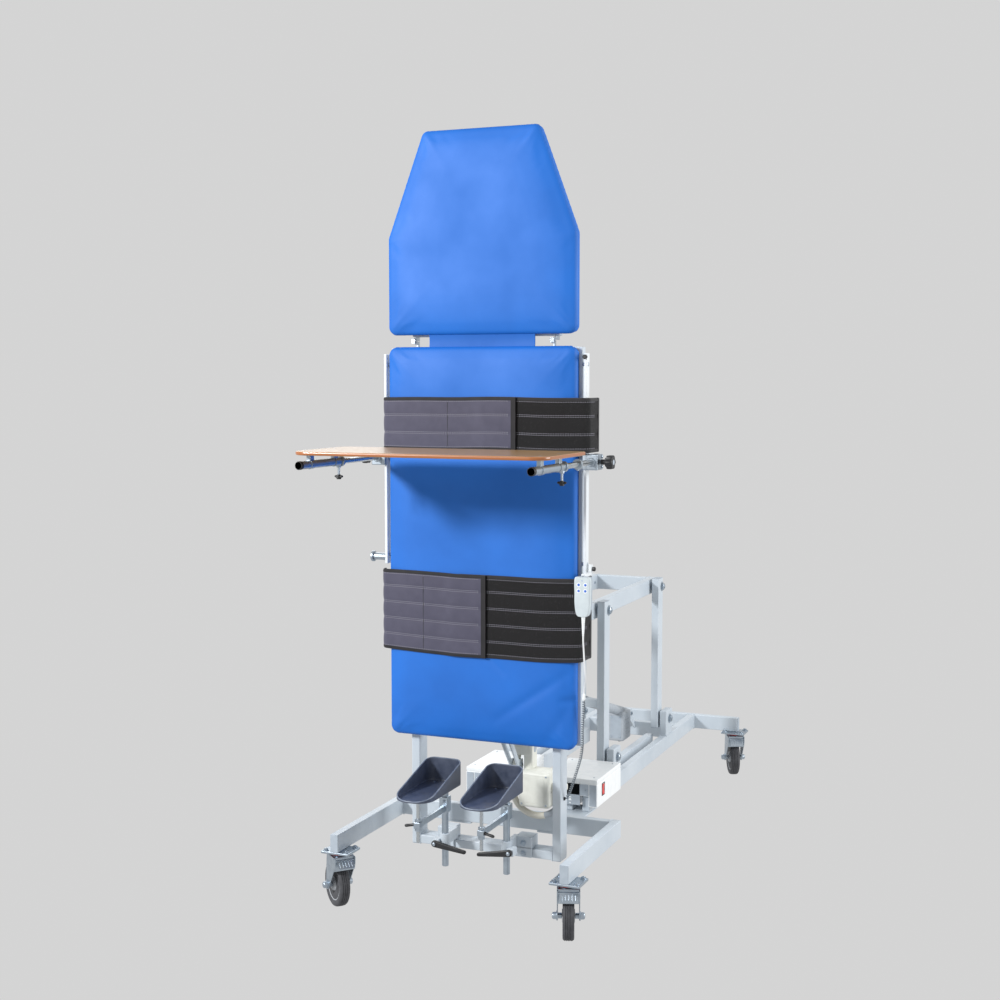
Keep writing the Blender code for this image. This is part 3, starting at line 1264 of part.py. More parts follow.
def build_tray(table):
    """Build the tray: rail clamps with their rods, sliding tubes, board and star knobs."""
    carriage = make_empty("tray_carriage", -PLACES[table.name], table)
    slider = make_empty("tray_slider", (0.0, 0.0, 0.0), carriage)
    low_z, high_z = TRAY_Z - CLAMP_H / 2, TRAY_Z + CLAMP_H / 2
    inner = RAIL_X + CLAMP_LIP_GAP
    wall = TRAY_ROD_R + TRAY_GRIP
    for side in (-1, 1):
        word = side_name(side)
        solids = [
            side_block(side, inner, CLAMP_OUTER_X, (CLAMP_FRONT_Y, low_z), (CLAMP_REAR_Y, high_z),
                       BOX_EDGE / 2),
            bar((side * TRAY_ROD_X, TRAY_ROD_FRONT, TRAY_Z),
                (side * TRAY_ROD_X, CLAMP_FRONT_Y + OVER, TRAY_Z), TRAY_ROD_R),
        ]
        if side > 0:
            solids.append(bar((TRAY_ROD_X, STOP_COLLAR_Y, TRAY_Z),
                              (TRAY_ROD_X, STOP_COLLAR_Y + COLLAR_BIG_T, TRAY_Z), COLLAR_BIG_R))
        cuts = [
            side_block(side, inner - OVER, RAIL_OUTER_X + GAP, (RAIL_Y - GAP, low_z - OVER),
                       (RAIL_Y + RAIL_W + GAP, high_z + OVER)),
            cross_bar(side * (CLAMP_OUTER_X - KNOB_STUD_IN - GAP), side * (CLAMP_OUTER_X + OVER),
                      (KNOB_Y, TRAY_Z), bore_r(KNOB_STUD_R), 8),
        ]
        fuse(f"tray_clamp_{word}", solids, BARE_ZINC, carriage, None, cuts)

        middle = side * TRAY_ROD_X
        solids = [
            bar((middle, TRAY_TUBE_FRONT, TRAY_Z), (middle, TRAY_TUBE_REAR, TRAY_Z), TRAY_TUBE_R),
            bar((middle, TRAY_TUBE_REAR - COLLAR_BIG_T, TRAY_Z), (middle, TRAY_TUBE_REAR, TRAY_Z),
                COLLAR_BIG_R),
            bar((middle, WING_Y, TRAY_Z - WING_DROP + WING_T / 2), (middle, WING_Y, TRAY_Z - wall),
                KNOB_STUD_R, 8),
            bar((middle, WING_Y, TRAY_Z - WING_DROP), (middle, WING_Y, TRAY_Z - WING_DROP + WING_T),
                WING_R, 12),
        ]
        for y in SADDLE_PLACES:
            solids.append(block(
                (middle - SADDLE_WIDTH / 2, y - SADDLE_LENGTH / 2, TRAY_Z + wall),
                (middle + SADDLE_WIDTH / 2, y + SADDLE_LENGTH / 2, TRAY_BOTTOM_Z - GAP)))
        cuts = [bar((middle, TRAY_TUBE_FRONT + TRAY_PLUG, TRAY_Z), (middle, TRAY_TUBE_REAR + OVER, TRAY_Z),
                    TRAY_ROD_R + RUN)]
        fuse(f"tray_tube_{word}", solids, BARE_ZINC, slider, None, cuts)

        outline = []
        points = KNOB_LOBES * 4
        for i in range(points):
            angle = math.tau * i / points
            reach = KNOB_R - KNOB_DIP * (1.0 - math.cos(angle * KNOB_LOBES)) / 2
            outline.append((KNOB_Y + reach * math.cos(angle), TRAY_Z + reach * math.sin(angle)))
        knob = [
            plate(outline, 0, side * KNOB_X, side * KNOB_T),
            cross_bar(side * (CLAMP_OUTER_X - KNOB_STUD_IN), side * (KNOB_X + KNOB_T / 2),
                      (KNOB_Y, TRAY_Z), KNOB_STUD_R, 8),
        ]
        fuse(f"tray_knob_{word}", knob, BLACK_PLASTIC, carriage, (side * KNOB_X, KNOB_Y, TRAY_Z))
    half = TRAY_HALF_WIDTH
    board = rounded_outline(((-half, TRAY_FRONT_Y), (half, TRAY_FRONT_Y), (half, TRAY_REAR_Y),
                             (-half, TRAY_REAR_Y)),
                            (TRAY_CORNER, TRAY_CORNER, TRAY_BACK_CORNER, TRAY_BACK_CORNER), 0.0, 6)
    fuse("tray_board", [plate(board, 2, TRAY_BOTTOM_Z, TRAY_THICK)], (BEECH, 0.45, 0.0), slider)


def foot_outline(x, inset):
    """Return a foot plate's outline in X and Y, drawn in by an inset."""
    half = FOOT_WIDTH / 2
    corners = ((x - half, FOOT_TOE_Y), (x + half, FOOT_TOE_Y), (x + half, FOOT_HEEL_Y),
               (x - half, FOOT_HEEL_Y))
    return rounded_outline(corners, (FOOT_TOE_R, FOOT_TOE_R, FOOT_HEEL_R, FOOT_HEEL_R), inset, 5)


def foot_rim(y):
    """Return the height of the foot plate's rim at a place along it."""
    share = (y - FOOT_TOE_Y) / (FOOT_HEEL_Y - FOOT_TOE_Y)
    return FOOT_PLATE_Z + FOOT_FLOOR + FOOT_HEEL_H * share


def build_foot_supports(table):
    """Build the two adjustable foot supports and their brackets on the lower bar."""
    bar_top = TABLE_FOOT_Z + TUBE_W
    for side in (-1, 1):
        word = side_name(side)
        x = side * FOOT_X
        post_at = (x, FOOT_POST_Y)
        ear_x = FOOT_X + LEVER_X
        solids = [
            side_block(side, BRACKET_X, BRACKET_X + BRACKET_W, (FRAME_Y - BRACKET_PLATE, bar_top + GAP),
                       (FRAME_Y + TUBE_H - OVER, bar_top + BRACKET_H), BOX_EDGE),
            side_block(side, BRACKET_X, BRACKET_X + BRACKET_W,
                       (FRAME_Y - BRACKET_PLATE, TABLE_FOOT_Z + TUBE_WALL),
                       (FRAME_Y - GAP, bar_top + BRACKET_PLATE)),
            side_block(side, FOOT_X - BRACKET_PLATE, FOOT_X + BRACKET_PLATE,
                       (FOOT_POST_Y, SLEEVE_Z + TUBE_WALL),
                       (FRAME_Y + OVER, SLEEVE_Z + SLEEVE_H - TUBE_WALL)),
            bar((*post_at, SLEEVE_Z), (*post_at, SLEEVE_Z + SLEEVE_H), SLEEVE_R),
            side_block(side, FOOT_X + FOOT_POST_R, ear_x + EAR_W / 2, (EAR_FRONT_Y, LEVER_Z - EAR_H / 2),
                       (FOOT_POST_Y + OVER, LEVER_Z + EAR_H / 2), BOX_EDGE / 2),
        ]
        cuts = [
            bar((*post_at, SLEEVE_Z - OVER), (*post_at, SLEEVE_Z + SLEEVE_H + OVER), FOOT_POST_R + RUN),
            bar((side * ear_x, EAR_FRONT_Y - OVER, LEVER_Z),
                (side * ear_x, FOOT_POST_Y - BOX_WALL, LEVER_Z),
                bore_r(LEVER_STUD_R), 8),
        ]
        fuse(f"foot_bracket_{word}", solids, STEEL_COAT, table, None, cuts)

        tip = (side * (ear_x - LEVER_LENGTH), LEVER_Z - LEVER_DROOP)
        boss = (side * ear_x, LEVER_Z)
        level = EAR_FRONT_Y - GAP
        lever = [
            plate(lever_outline(boss, tip), 1, level, -LEVER_T),
            bar((boss[0], level - LEVER_T / 2, boss[1]),
                (boss[0], FOOT_POST_Y - BOX_WALL - GAP, boss[1]), LEVER_STUD_R, 8),
        ]
        fuse(f"foot_lever_{word}", lever, BLACK_PLASTIC, table, (boss[0], level, boss[1]))

        top = FOOT_PLATE_Z - GAP
        post_top = FOOT_HINGE_Z + HINGE_BOSS
        rod_at = (x, FOOT_ROD_Y)
        solids = [
            bar((*post_at, FOOT_POST_BOTTOM), (*post_at, post_top), FOOT_POST_R),
            block((x - FOOT_BLOCK, FOOT_POST_Y - FOOT_BLOCK, FOOT_ARM_Z - BOX_EDGE),
                  (x + FOOT_BLOCK, FOOT_POST_Y + FOOT_BLOCK, FOOT_ARM_Z + FOOT_BLOCK_H)),
            block((x - FOOT_ARM_W / 2, FOOT_ROD_Y, FOOT_ARM_Z),
                  (x + FOOT_ARM_W / 2, FOOT_POST_Y, FOOT_ARM_Z + FOOT_ARM_H)),
            block((x - FOOT_CLAMP, FOOT_ROD_Y - FOOT_CLAMP, FOOT_ARM_Z - GAP),
                  (x + FOOT_CLAMP, FOOT_ROD_Y + FOOT_CLAMP, FOOT_ARM_Z + FOOT_ARM_H + GAP)),
            bar((*rod_at, FOOT_ROD_BOTTOM), (*rod_at, top), FOOT_ROD_R),
        ]
        hinge = (FOOT_POST_Y, FOOT_HINGE_Z)
        cuts = [cross_bar(x - FOOT_LUG_X, x + FOOT_LUG_X, hinge, bore_r(HINGE_PIN_R), 8)]
        post = fuse(f"foot_post_{word}", solids, BARE_ZINC, table, (*post_at, FOOT_HINGE_Z), cuts)

        outer = foot_outline(x, 0.0)
        inner = foot_outline(x, FOOT_WALL)
        shell = stack([[(px, py, FOOT_PLATE_Z) for px, py in outer],
                       [(px, py, foot_rim(py)) for px, py in outer]])
        hollow = stack([[(px, py, FOOT_PLATE_Z + FOOT_FLOOR) for px, py in inner],
                        [(px, py, foot_rim(py) + OVER) for px, py in inner]])
        plate_solids = []
        for hand in (-1, 1):
            near, far = sorted((x + hand * FOOT_LUG_X, x + hand * (FOOT_LUG_X + FOOT_LUG_T)))
            plate_solids.append(block(
                (near, FOOT_POST_Y - FOOT_LUG_HALF, FOOT_HINGE_Z - FOOT_LUG_HALF),
                (far, FOOT_POST_Y + FOOT_LUG_HALF, FOOT_PLATE_Z + FOOT_FLOOR / 2)))
        pin_half = FOOT_LUG_X + FOOT_LUG_T / 2
        plate_solids.append(cross_bar(x - pin_half, x + pin_half, hinge, HINGE_PIN_R, 8))
        item = put(f"foot_plate_{word}", to_mesh("foot_plate", shell), (NAVY, 0.5, 0.0),
                   post, (x, *hinge))
        add_helpers(item, [hollow], 'DIFFERENCE')
        add_helpers(item, plate_solids, 'UNION')


def lever_outline(boss, tip):
    """Return a tapered lever's outline between its boss and its tip, in X and Z."""
    start, end = Vector(boss), Vector(tip)
    along = (end - start).normalized()
    heading = math.atan2(along.y, along.x)
    points = []
    for centre, radius, first in ((start, LEVER_BOSS_R, 90.0), (end, LEVER_TIP_R, -90.0)):
        for i in range(7):
            angle = heading + math.radians(first + 30.0 * i)
            points.append((centre.x + radius * math.cos(angle), centre.y + radius * math.sin(angle)))
    return points


def build_castors(base):
    """Build the four castors: swivel forks, wheels and brake pedals."""
    for name, side, y, degrees in CASTOR_TURNS:
        swivel = make_empty(f"castor_{name}", (side * CASTOR_X, y, 0.0), base, math.radians(degrees))
        build_castor(name, swivel)


def build_castor(name, swivel):
    """Build one castor in its own space: it swivels about Z, and its wheel trails along +Y."""
    inner = FORK_HALF - FORK_T
    axle_at = (TRAIL, WHEEL_R)
    solids = [block((-FORK_HALF, FORK_FRONT, FORK_HOUSING_Z), (FORK_HALF, FORK_REAR, FORK_TOP))]
    leg = (
        (FORK_FRONT - FORK_EAR, FORK_TOP - FORK_T), (FORK_FRONT - FORK_EAR, BRAKE_Z - FORK_EAR),
        (FORK_FRONT + FORK_T, FORK_HOUSING_Z), (axle_at[0] - AXLE_NUT_R, axle_at[1] - AXLE_NUT_R / 2),
        (axle_at[0], axle_at[1] - AXLE_NUT_R * 1.4), (axle_at[0] + AXLE_NUT_R, axle_at[1] - AXLE_NUT_R / 2),
        (FORK_REAR, FORK_HOUSING_Z + FORK_T), (FORK_REAR - FORK_T, FORK_TOP - FORK_T),
    )
    for side in (-1, 1):
        solids.append(side_plate(side, inner, FORK_T, leg))
        solids.append(cross_bar(side * (HUB_W / 2 + GAP), side * (inner + FORK_T / 2),
                                axle_at, SLEEVE_END_R, 8))
        solids.append(cross_bar(side * (FORK_HALF - FORK_T / 2), side * (FORK_HALF + AXLE_NUT_T),
                                axle_at, AXLE_NUT_R, 6))
    solids.append(cross_bar(-inner, inner, axle_at, AXLE_R, 8))
    hollow = block((-inner, FORK_FRONT + FORK_T, FORK_HOUSING_Z - OVER),
                   (inner, FORK_REAR + OVER, FORK_TOP - FORK_T))
    bore = bar((0.0, 0.0, FORK_TOP - OVER), (0.0, 0.0, FORK_TOP + OVER), bore_r(KINGPIN_R), 8)
    fork = put(f"castor_fork_{name}", to_mesh("castor_fork", solids[0]), BARE_ZINC, swivel)
    add_helpers(fork, [hollow, bore], 'DIFFERENCE')
    add_helpers(fork, solids[1:], 'UNION')
    holes = []
    for side in (-1, 1):
        holes.append(cross_bar(side * (inner - OVER / 2), side * (FORK_HALF + OVER / 2),
                               (BRAKE_Y, BRAKE_Z), bore_r(BRAKE_PIN_R), 8))
    add_helpers(fork, holes, 'DIFFERENCE')

    half, hub, rim = WHEEL_W / 2, HUB_W / 2, RIM_W / 2
    profile = (
        (-hub, AXLE_R + RUN), (-hub, HUB_R), (-rim, RIM_R), (-half, WHEEL_R - TYRE_EDGE),
        (-half + TYRE_EDGE, WHEEL_R), (half - TYRE_EDGE, WHEEL_R), (half, WHEEL_R - TYRE_EDGE),
        (rim, RIM_R), (hub, HUB_R), (hub, AXLE_R + RUN),
    )
    wheel = turned((0.0, *axle_at), (1.0, 0.0, 0.0), profile, 18, True)
    put(f"castor_wheel_{name}", to_mesh("castor_wheel", wheel), (GREY, 0.6, 0.0), fork, (0.0, *axle_at))

    pin = (BRAKE_Y, BRAKE_Z)
    low = (BRAKE_Y - BRAKE_REACH, BRAKE_Z - BRAKE_DROP)
    half = BRAKE_T / 2
    outline = (
        (pin[0] + half, pin[1] - half), (pin[0] + half, pin[1] + half), (pin[0] - half, pin[1] + half),
        (low[0], low[1] + BRAKE_T), low, (pin[0] - half, pin[1] - half),
    )
    pedal = [
        plate(outline, 0, -BRAKE_HALF, BRAKE_HALF * 2),
        cross_bar(-inner - FORK_T / 2, inner + FORK_T / 2, pin, BRAKE_PIN_R, 8),
    ]
    fuse(f"castor_brake_{name}", pedal, BARE_ZINC, fork, (0.0, *pin))


def build_handset(table):
    """Build the handset with its four buttons."""
    half = HANDSET_W / 2
    front = HANDSET_Y - HANDSET_T
    middle_y = HANDSET_Y - HANDSET_T / 2
    solids = [
        block((HANDSET_X - half, front, HANDSET_Z),
              (HANDSET_X + half, HANDSET_Y, HANDSET_Z + HANDSET_H), HANDSET_EDGE),
        bar((HANDSET_X, middle_y, HANDSET_Z + HANDSET_EDGE), (HANDSET_X, middle_y, RELIEF_END),
            RELIEF_R, 12, LEAD_R * 1.4),
    ]
    wells = []
    floor = front + BUTTON_DEPTH + BUTTON_TRAVEL + GAP
    for _, offset, height in BUTTON_PLACES:
        x, z = HANDSET_X + offset, HANDSET_Z + height
        wells.append(bar((x, front - OVER, z), (x, floor, z), BUTTON_R + RUN, 8))
    handset = fuse("handset", solids, (WHITE_COAT, 0.4, 0.0), table, None, wells)
    for number, offset, height in BUTTON_PLACES:
        x, z = HANDSET_X + offset, HANDSET_Z + height
        button = bar((x, front - BUTTON_PROUD, z), (x, front + BUTTON_DEPTH, z), BUTTON_R, 8)
        put(f"handset_button_{number}", to_mesh("button", button), (BLUE, 0.4, 0.0), handset, (x, front, z))


def curl_points():
    """Return the points of the curly cord's helix along its route."""
    grommet = (LEG_TUBE_X + TUBE_W + GAP, *CURL_END)
    start = Vector(EYE_POINT)
    route = smooth_route((start, *CURL_ROUTE, grommet), CURL_WIRE_R)
    travelled = [0.0]
    for p, q in zip(route, route[1:]):
        travelled.append(travelled[-1] + (q - p).length)
    length = travelled[-1]
    straight = CURL_WIRE_R * 2
    turning = length - 2 * straight
    count = CURL_TURNS * CURL_STEPS
    points = [route[0]]
    place = 0
    for i in range(count + 1):
        distance = straight + turning * i / count
        while travelled[place + 1] < distance and place < len(route) - 2:
            place += 1
        share = (distance - travelled[place]) / (travelled[place + 1] - travelled[place])
        centre = route[place].lerp(route[place + 1], share)
        along = (route[min(place + 2, len(route) - 1)] - route[max(place - 1, 0)]).normalized()
        first = along.cross(Vector((0.0, 1.0, 0.0))).normalized()
        second = along.cross(first)
        ramp = min(1.0, i / CURL_STEPS, (count - i) / CURL_STEPS)
        angle = math.tau * i / CURL_STEPS
        points.append(centre + CURL_R * ramp * (math.cos(angle) * first + math.sin(angle) * second))
    points.append(route[-1])
    return points


def least_gap(points, radius, skip):
    """Return the least gap between a wire's stretches that lie more than a few points apart."""
    least = math.inf
    for i, p in enumerate(points):
        for q in points[i + skip:i + skip * 6]:
            least = min(least, (p - q).length)
    return least - 2 * radius


def build_cords(table):
    """Build the handset's plain lead and its curly stretch down to the leg tube."""
    middle_y = HANDSET_Y - HANDSET_T / 2
    exit_point = (HANDSET_X, middle_y, RELIEF_END - GAP)
    eye = Vector(EYE_POINT)
    first = (Vector(CURL_ROUTE[0]) - eye).normalized()
    end = eye - first * GAP
    lead = smooth_route((exit_point, *LEAD_ROUTE, end), LEAD_SPACING)
    wire("handset_lead", lead, LEAD_R, 2, (WHITE_COAT, 0.5, 0.0), table)
    points = curl_points()
    gap = least_gap(points[2:-2], CURL_WIRE_R, CURL_STEPS - 1)
    print(f"curly cord: least gap to itself {gap * 1000:.2f} mm")
    wire("handset_curl", points, CURL_WIRE_R, 1, (WHITE_COAT, 0.5, 0.0), table)


def centre_footprint(root):
    """Move the whole table so that the origin is under the middle of its bounding box."""
    bpy.context.view_layer.update()
    graph = bpy.context.evaluated_depsgraph_get()
    low = Vector((math.inf,) * 3)
    high = -low
    for item in PARTS.objects:
        if item.type == 'EMPTY':
            continue
        solid = item.evaluated_get(graph)
        for corner in solid.to_mesh().vertices:
            place = solid.matrix_world @ corner.co
            low = Vector(map(min, low, place))
            high = Vector(map(max, high, place))
        solid.to_mesh_clear()
    root.location = (-(low.x + high.x) / 2, -(low.y + high.y) / 2, -low.z)
    print("moved by", [round(value, 6) for value in root.location])


def main():
    """Build the whole table."""
    base = build_base(ROOT)
    build_boxes(base)
    build_lower_pins(base)
    links = build_links(base)
    upper = build_upper_frame(links)
    build_lift_actuator(base)
    table = build_table_frame(upper)
    build_tilt_actuator(table)
    head = build_head_frame(table)
    build_cushions(table, head)
    build_side_rails(table)
    build_belts(table)
    build_tray(table)
    build_foot_supports(table)
    build_castors(base)
    build_handset(table)
    build_cords(table)
    centre_footprint(ROOT)


clear_scene()
PARTS = make_collection("tilt_table")
HELPERS = make_collection("cutters")
HELPERS.hide_render = True
ROOT = make_empty("tilt_table_origin", (0.0, 0.0, 0.0))
main()
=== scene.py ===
"""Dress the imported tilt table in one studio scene."""

import logging
from collections.abc import Iterable, Mapping, Sequence
from dataclasses import dataclass
from enum import Enum
from functools import cache
from math import atan2, cos, exp, pi, radians, sin, tau

import bmesh
import bpy
from bmesh.types import BMesh, BMVert
from bpy.types import ID, Material, Node, NodeSocket, NodeTree, Object
from mathutils import Matrix, Vector


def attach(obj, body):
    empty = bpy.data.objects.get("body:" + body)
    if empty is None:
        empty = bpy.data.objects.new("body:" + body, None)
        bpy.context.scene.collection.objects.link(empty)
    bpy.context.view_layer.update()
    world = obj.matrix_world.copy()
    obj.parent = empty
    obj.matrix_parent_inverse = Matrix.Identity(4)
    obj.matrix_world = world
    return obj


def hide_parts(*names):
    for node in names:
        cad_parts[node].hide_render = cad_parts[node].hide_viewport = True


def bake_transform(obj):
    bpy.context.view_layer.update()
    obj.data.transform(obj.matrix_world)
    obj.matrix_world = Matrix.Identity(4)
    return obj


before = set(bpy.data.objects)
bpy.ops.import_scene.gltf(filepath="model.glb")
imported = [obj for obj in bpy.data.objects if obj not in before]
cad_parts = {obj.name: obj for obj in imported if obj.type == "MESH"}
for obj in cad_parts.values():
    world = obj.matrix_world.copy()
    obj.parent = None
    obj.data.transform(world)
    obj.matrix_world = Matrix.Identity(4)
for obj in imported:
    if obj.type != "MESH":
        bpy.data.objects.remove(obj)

LOG = logging.getLogger("tilt_table")
Point = Sequence[float]
Place = tuple[Vector, Vector, float]            # a point, its outward direction and its lift
SHIFT = Vector((0.019258, -0.719814, 0.0))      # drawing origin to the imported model's origin
SIDES = ((-1, "left"), (1, "right"))
UP, DOWN, AHEAD, BACK, RIGHT = (0, 0, 1), (0, 0, -1), (0, -1, 0), (0, 1, 0), (1, 0, 0)
GAP = 0.0003
WELD_LAP = 0.002


class Axis(Enum):
  """A main direction of the table."""

  X = 0
  Y = 1
  Z = 2


ENDS_X, ENDS_Y, ENDS_Z = [((axis, 1), (axis, -1)) for axis in Axis]


# ---- colour and nodes

def linear(code: str) -> tuple[float, ...]:
  """Turn an sRGB hex colour, #RRGGBB, into linear light with an alpha of one."""
  values = [int(code[i:i + 2], 16) / 255 for i in (1, 3, 5)]
  return (*[v / 12.92 if v <= 0.04045 else ((v + 0.055) / 1.055) ** 2.4 for v in values], 1.0)


def per_metre(size_mm: float) -> float:
  """Return the scale of a pattern whose features have a real size in millimetres."""
  return 1000.0 / size_mm


def object_of(name: str, data: ID) -> Object:
  """Return a new object in the scene."""
  item = bpy.data.objects.new(name, data)
  bpy.context.scene.collection.objects.link(item)
  return item


@dataclass
class Surface:
  """A material's nodes while its pattern is laid."""

  tree: NodeTree
  shader: Node

  def add(self, kind: str, settings: Mapping[str, object] | None = None,
      links: Mapping[str, NodeSocket] | None = None, out: str | int = 0) -> NodeSocket:
    """Add one shader node with its settings and links.

    Args:
      kind: The node's type, after its ShaderNode prefix.
      settings: Attributes, or inputs where no attribute has the name, with values.
      links: Inputs with the sockets that feed them.
      out: The output wanted.

    Returns:
      The new node's output.
    """
    made = self.tree.nodes.new(f"ShaderNode{kind}")
    for name, value in (settings or {}).items():
      if hasattr(made, name):
        setattr(made, name, value)
      else:
        made.inputs[int(name) if name.isdigit() else name].default_value = value
    for name, source in (links or {}).items():
      self.tree.links.new(source, made.inputs[int(name) if name.isdigit() else name])
    return made.outputs[out]

  def feed(self, source: NodeSocket, name: str) -> None:
    """Link a value to one of the shader's inputs."""
    self.tree.links.new(source, self.shader.inputs[name])

  def noise(self, size_mm: float, detail: float = 2.0, stretch: float = 1.0) -> NodeSocket:
    """Return a noise pattern in the object's own space.

    Args:
      size_mm: The size of a feature in millimetres.
      detail: How many finer layers it has.
      stretch: The factor on X, under one for a longer grain.

    Returns:
      The noise value.
    """
    place = self.add("TexCoord", out="Object")
    if stretch != 1.0:
      place = self.add("Mapping", {"Scale": (stretch, 1.0, 1.0)}, {"Vector": place})
    return self.add("TexNoise", {"Scale": per_metre(size_mm), "Detail": detail}, {"Vector": place})

  def mapped(self, value: NodeSocket, low: float, high: float, start: float = 0.3,
      end: float = 0.7) -> NodeSocket:
    """Return a value spread from one range, start to end, to another, low to high."""
    return self.add("MapRange", {"From Min": start, "From Max": end, "To Min": low, "To Max": high},
      {"Value": value})

  def mixed(self, share: NodeSocket, first: str | NodeSocket, second: str | NodeSocket) -> NodeSocket:
    """Return a mix of two colours.

    Args:
      share: The share of the second colour.
      first: A hex colour or a socket.
      second: A hex colour or a socket.

    Returns:
      The mixed colour.
    """
    settings: dict[str, object] = {"data_type": 'RGBA'}
    links = {"0": share}
    for name, value in (("6", first), ("7", second)):
      if isinstance(value, str):
        settings[name] = linear(value)
      else:
        links[name] = value
    return self.add("Mix", settings, links, 2)

  def relief(self, height: NodeSocket, strength: float, depth_mm: float) -> None:
    """Raise the surface by a pattern, as high as the depth where it is one."""
    self.feed(self.add("Bump", {"Strength": strength, "Distance": depth_mm / 1000}, {"Height": height}),
      "Normal")


@dataclass(frozen=True)
class Finish:
  """A finish, to which each subclass adds its real surface's pattern."""

  name: str
  colour: str
  roughness: float = 0.45
  metallic: float = 0.0
  ior: float = 1.5
  coat: float = 0.0
  sheen: float = 0.0

  @cache
  def material(self) -> Material:
    """Return the material, which is built the first time."""
    made = bpy.data.materials.new(self.name)
    made.use_nodes = True
    made.diffuse_color = linear(self.colour)
    shader = made.node_tree.nodes["Principled BSDF"]
    for name, value in (("Base Color", linear(self.colour)), ("Roughness", self.roughness),
        ("Metallic", self.metallic), ("IOR", self.ior), ("Coat Weight", self.coat), ("Coat Roughness", 0.12),
        ("Sheen Weight", self.sheen), ("Sheen Roughness", 0.45)):
      shader.inputs[name].default_value = value
    self.pattern(Surface(made.node_tree, shader))
    return made

  def pattern(self, surface: Surface) -> None:
    """Lay the finish's own pattern."""

  def cloud(self, surface: Surface, second: str, size_mm: float, spread: float) -> None:
    """Lay soft clouds of two colours, with the gloss uneven along them.

    Args:
      surface: The nodes.
      second: The second colour.
      size_mm: The clouds' size in millimetres.
      spread: How far the roughness goes either way.
    """
    clouds = surface.noise(size_mm, 4.0)
    if second != self.colour:
      surface.feed(surface.mixed(surface.mapped(clouds, 0.0, 1.0), self.colour, second), "Base Color")
    surface.feed(surface.mapped(clouds, self.roughness - spread, self.roughness + spread), "Roughness")


@dataclass(frozen=True)
class PowderCoat(Finish):
  """Polyester powder baked on steel: a satin grey-white skin with a faint orange peel."""

  shade: str = "#B1BBC4"
  peel_mm: float = 2.2        # real peel is about 1 mm, drawn coarser so that it shows

  def pattern(self, surface: Surface) -> None:
    """Lay the peel and soft clouds of dust."""
    self.cloud(surface, self.shade, 140.0, 0.07)
    surface.relief(surface.noise(self.peel_mm), 0.1, 0.12)


@dataclass(frozen=True)
class ZincPlate(Finish):
  """Electroplated zinc on rolled or drawn steel: bright, slightly blue and patchy."""

  shade: str = "#8F9496"
  patch_mm: float = 9.0

  def pattern(self, surface: Surface) -> None:
    """Lay the passivation patches and drawing marks."""
    patches = surface.noise(self.patch_mm, 5.0)
    surface.feed(surface.mixed(surface.mapped(patches, 0.0, 1.0, 0.35), self.colour, self.shade),
      "Base Color")
    surface.feed(surface.mapped(patches, self.roughness - 0.05, self.roughness + 0.08), "Roughness")
    surface.relief(surface.noise(0.8), 0.05, 0.03)


@dataclass(frozen=True)
class GrainedVinyl(Finish):
  """PVC leathercloth, calendered and embossed: an even blue with a fine hide grain and a sheen."""

  shade: str = "#0B5DB5"
  grain_mm: float = 1.6       # embossed pebbles, which are about 1 mm on the cloth

  def pattern(self, surface: Surface) -> None:
    """Lay the pebbled grain, tension shadows and worn gloss."""
    self.cloud(surface, self.shade, 190.0, 0.05)
    pebbles = surface.add("TexVoronoi", {"Scale": per_metre(self.grain_mm), "Randomness": 0.9},
      {"Vector": surface.add("TexCoord", out="Object")})
    surface.relief(surface.add("Math", {"operation": 'MULTIPLY_ADD', "1": 9.0},
      {"0": surface.noise(55.0, 1.0), "2": pebbles}), 0.16, 0.16)


@dataclass(frozen=True)
class WovenNylon(Finish):
  """Nylon cloth laminated on foam: a charcoal plain weave with a soft sheen."""

  shade: str = "#4E4E63"
  thread_mm: float = 1.4      # real threads are 0.3 mm, drawn coarser so that they show

  def pattern(self, surface: Surface) -> None:
    """Lay warp and weft, and lighter rubbed threads."""
    warp, weft = [surface.add("TexWave", {"wave_type": 'BANDS', "bands_direction": way, "Distortion": 0.4,
      "Scale": per_metre(self.thread_mm) / 3.14}, {"Vector": surface.add("TexCoord", out="Object")}, "Fac")
      for way in "XZ"]
    share = surface.mapped(surface.noise(30.0, 4.0), 0.0, 1.0, 0.35)
    surface.feed(surface.mixed(share, self.colour, self.shade), "Base Color")
    surface.relief(surface.add("Math", {"operation": 'MULTIPLY'}, {"0": warp, "1": weft}), 0.35, 0.25)


@dataclass(frozen=True)
class LoopPile(Finish):
  """Brushed polyamide loops, the soft half of a touch fastening: deep black, with pale lint."""

  lint: str = "#5B5A5C"
  tuft_mm: float = 2.0

  def pattern(self, surface: Surface) -> None:
    """Lay the tufts and specks of lint."""
    tufts = surface.noise(self.tuft_mm, 5.0)
    specks = surface.add("TexVoronoi", {"Scale": per_metre(7.0)},
      {"Vector": surface.add("TexCoord", out="Object")})
    pile = surface.mixed(surface.mapped(tufts, 0.0, 0.5, 0.45, 0.75), self.colour, "#2A292C")
    surface.feed(surface.mixed(surface.mapped(specks, 0.55, 0.0, 0.05, 0.16), pile, self.lint), "Base Color")
    surface.relief(tufts, 0.9, 1.1)


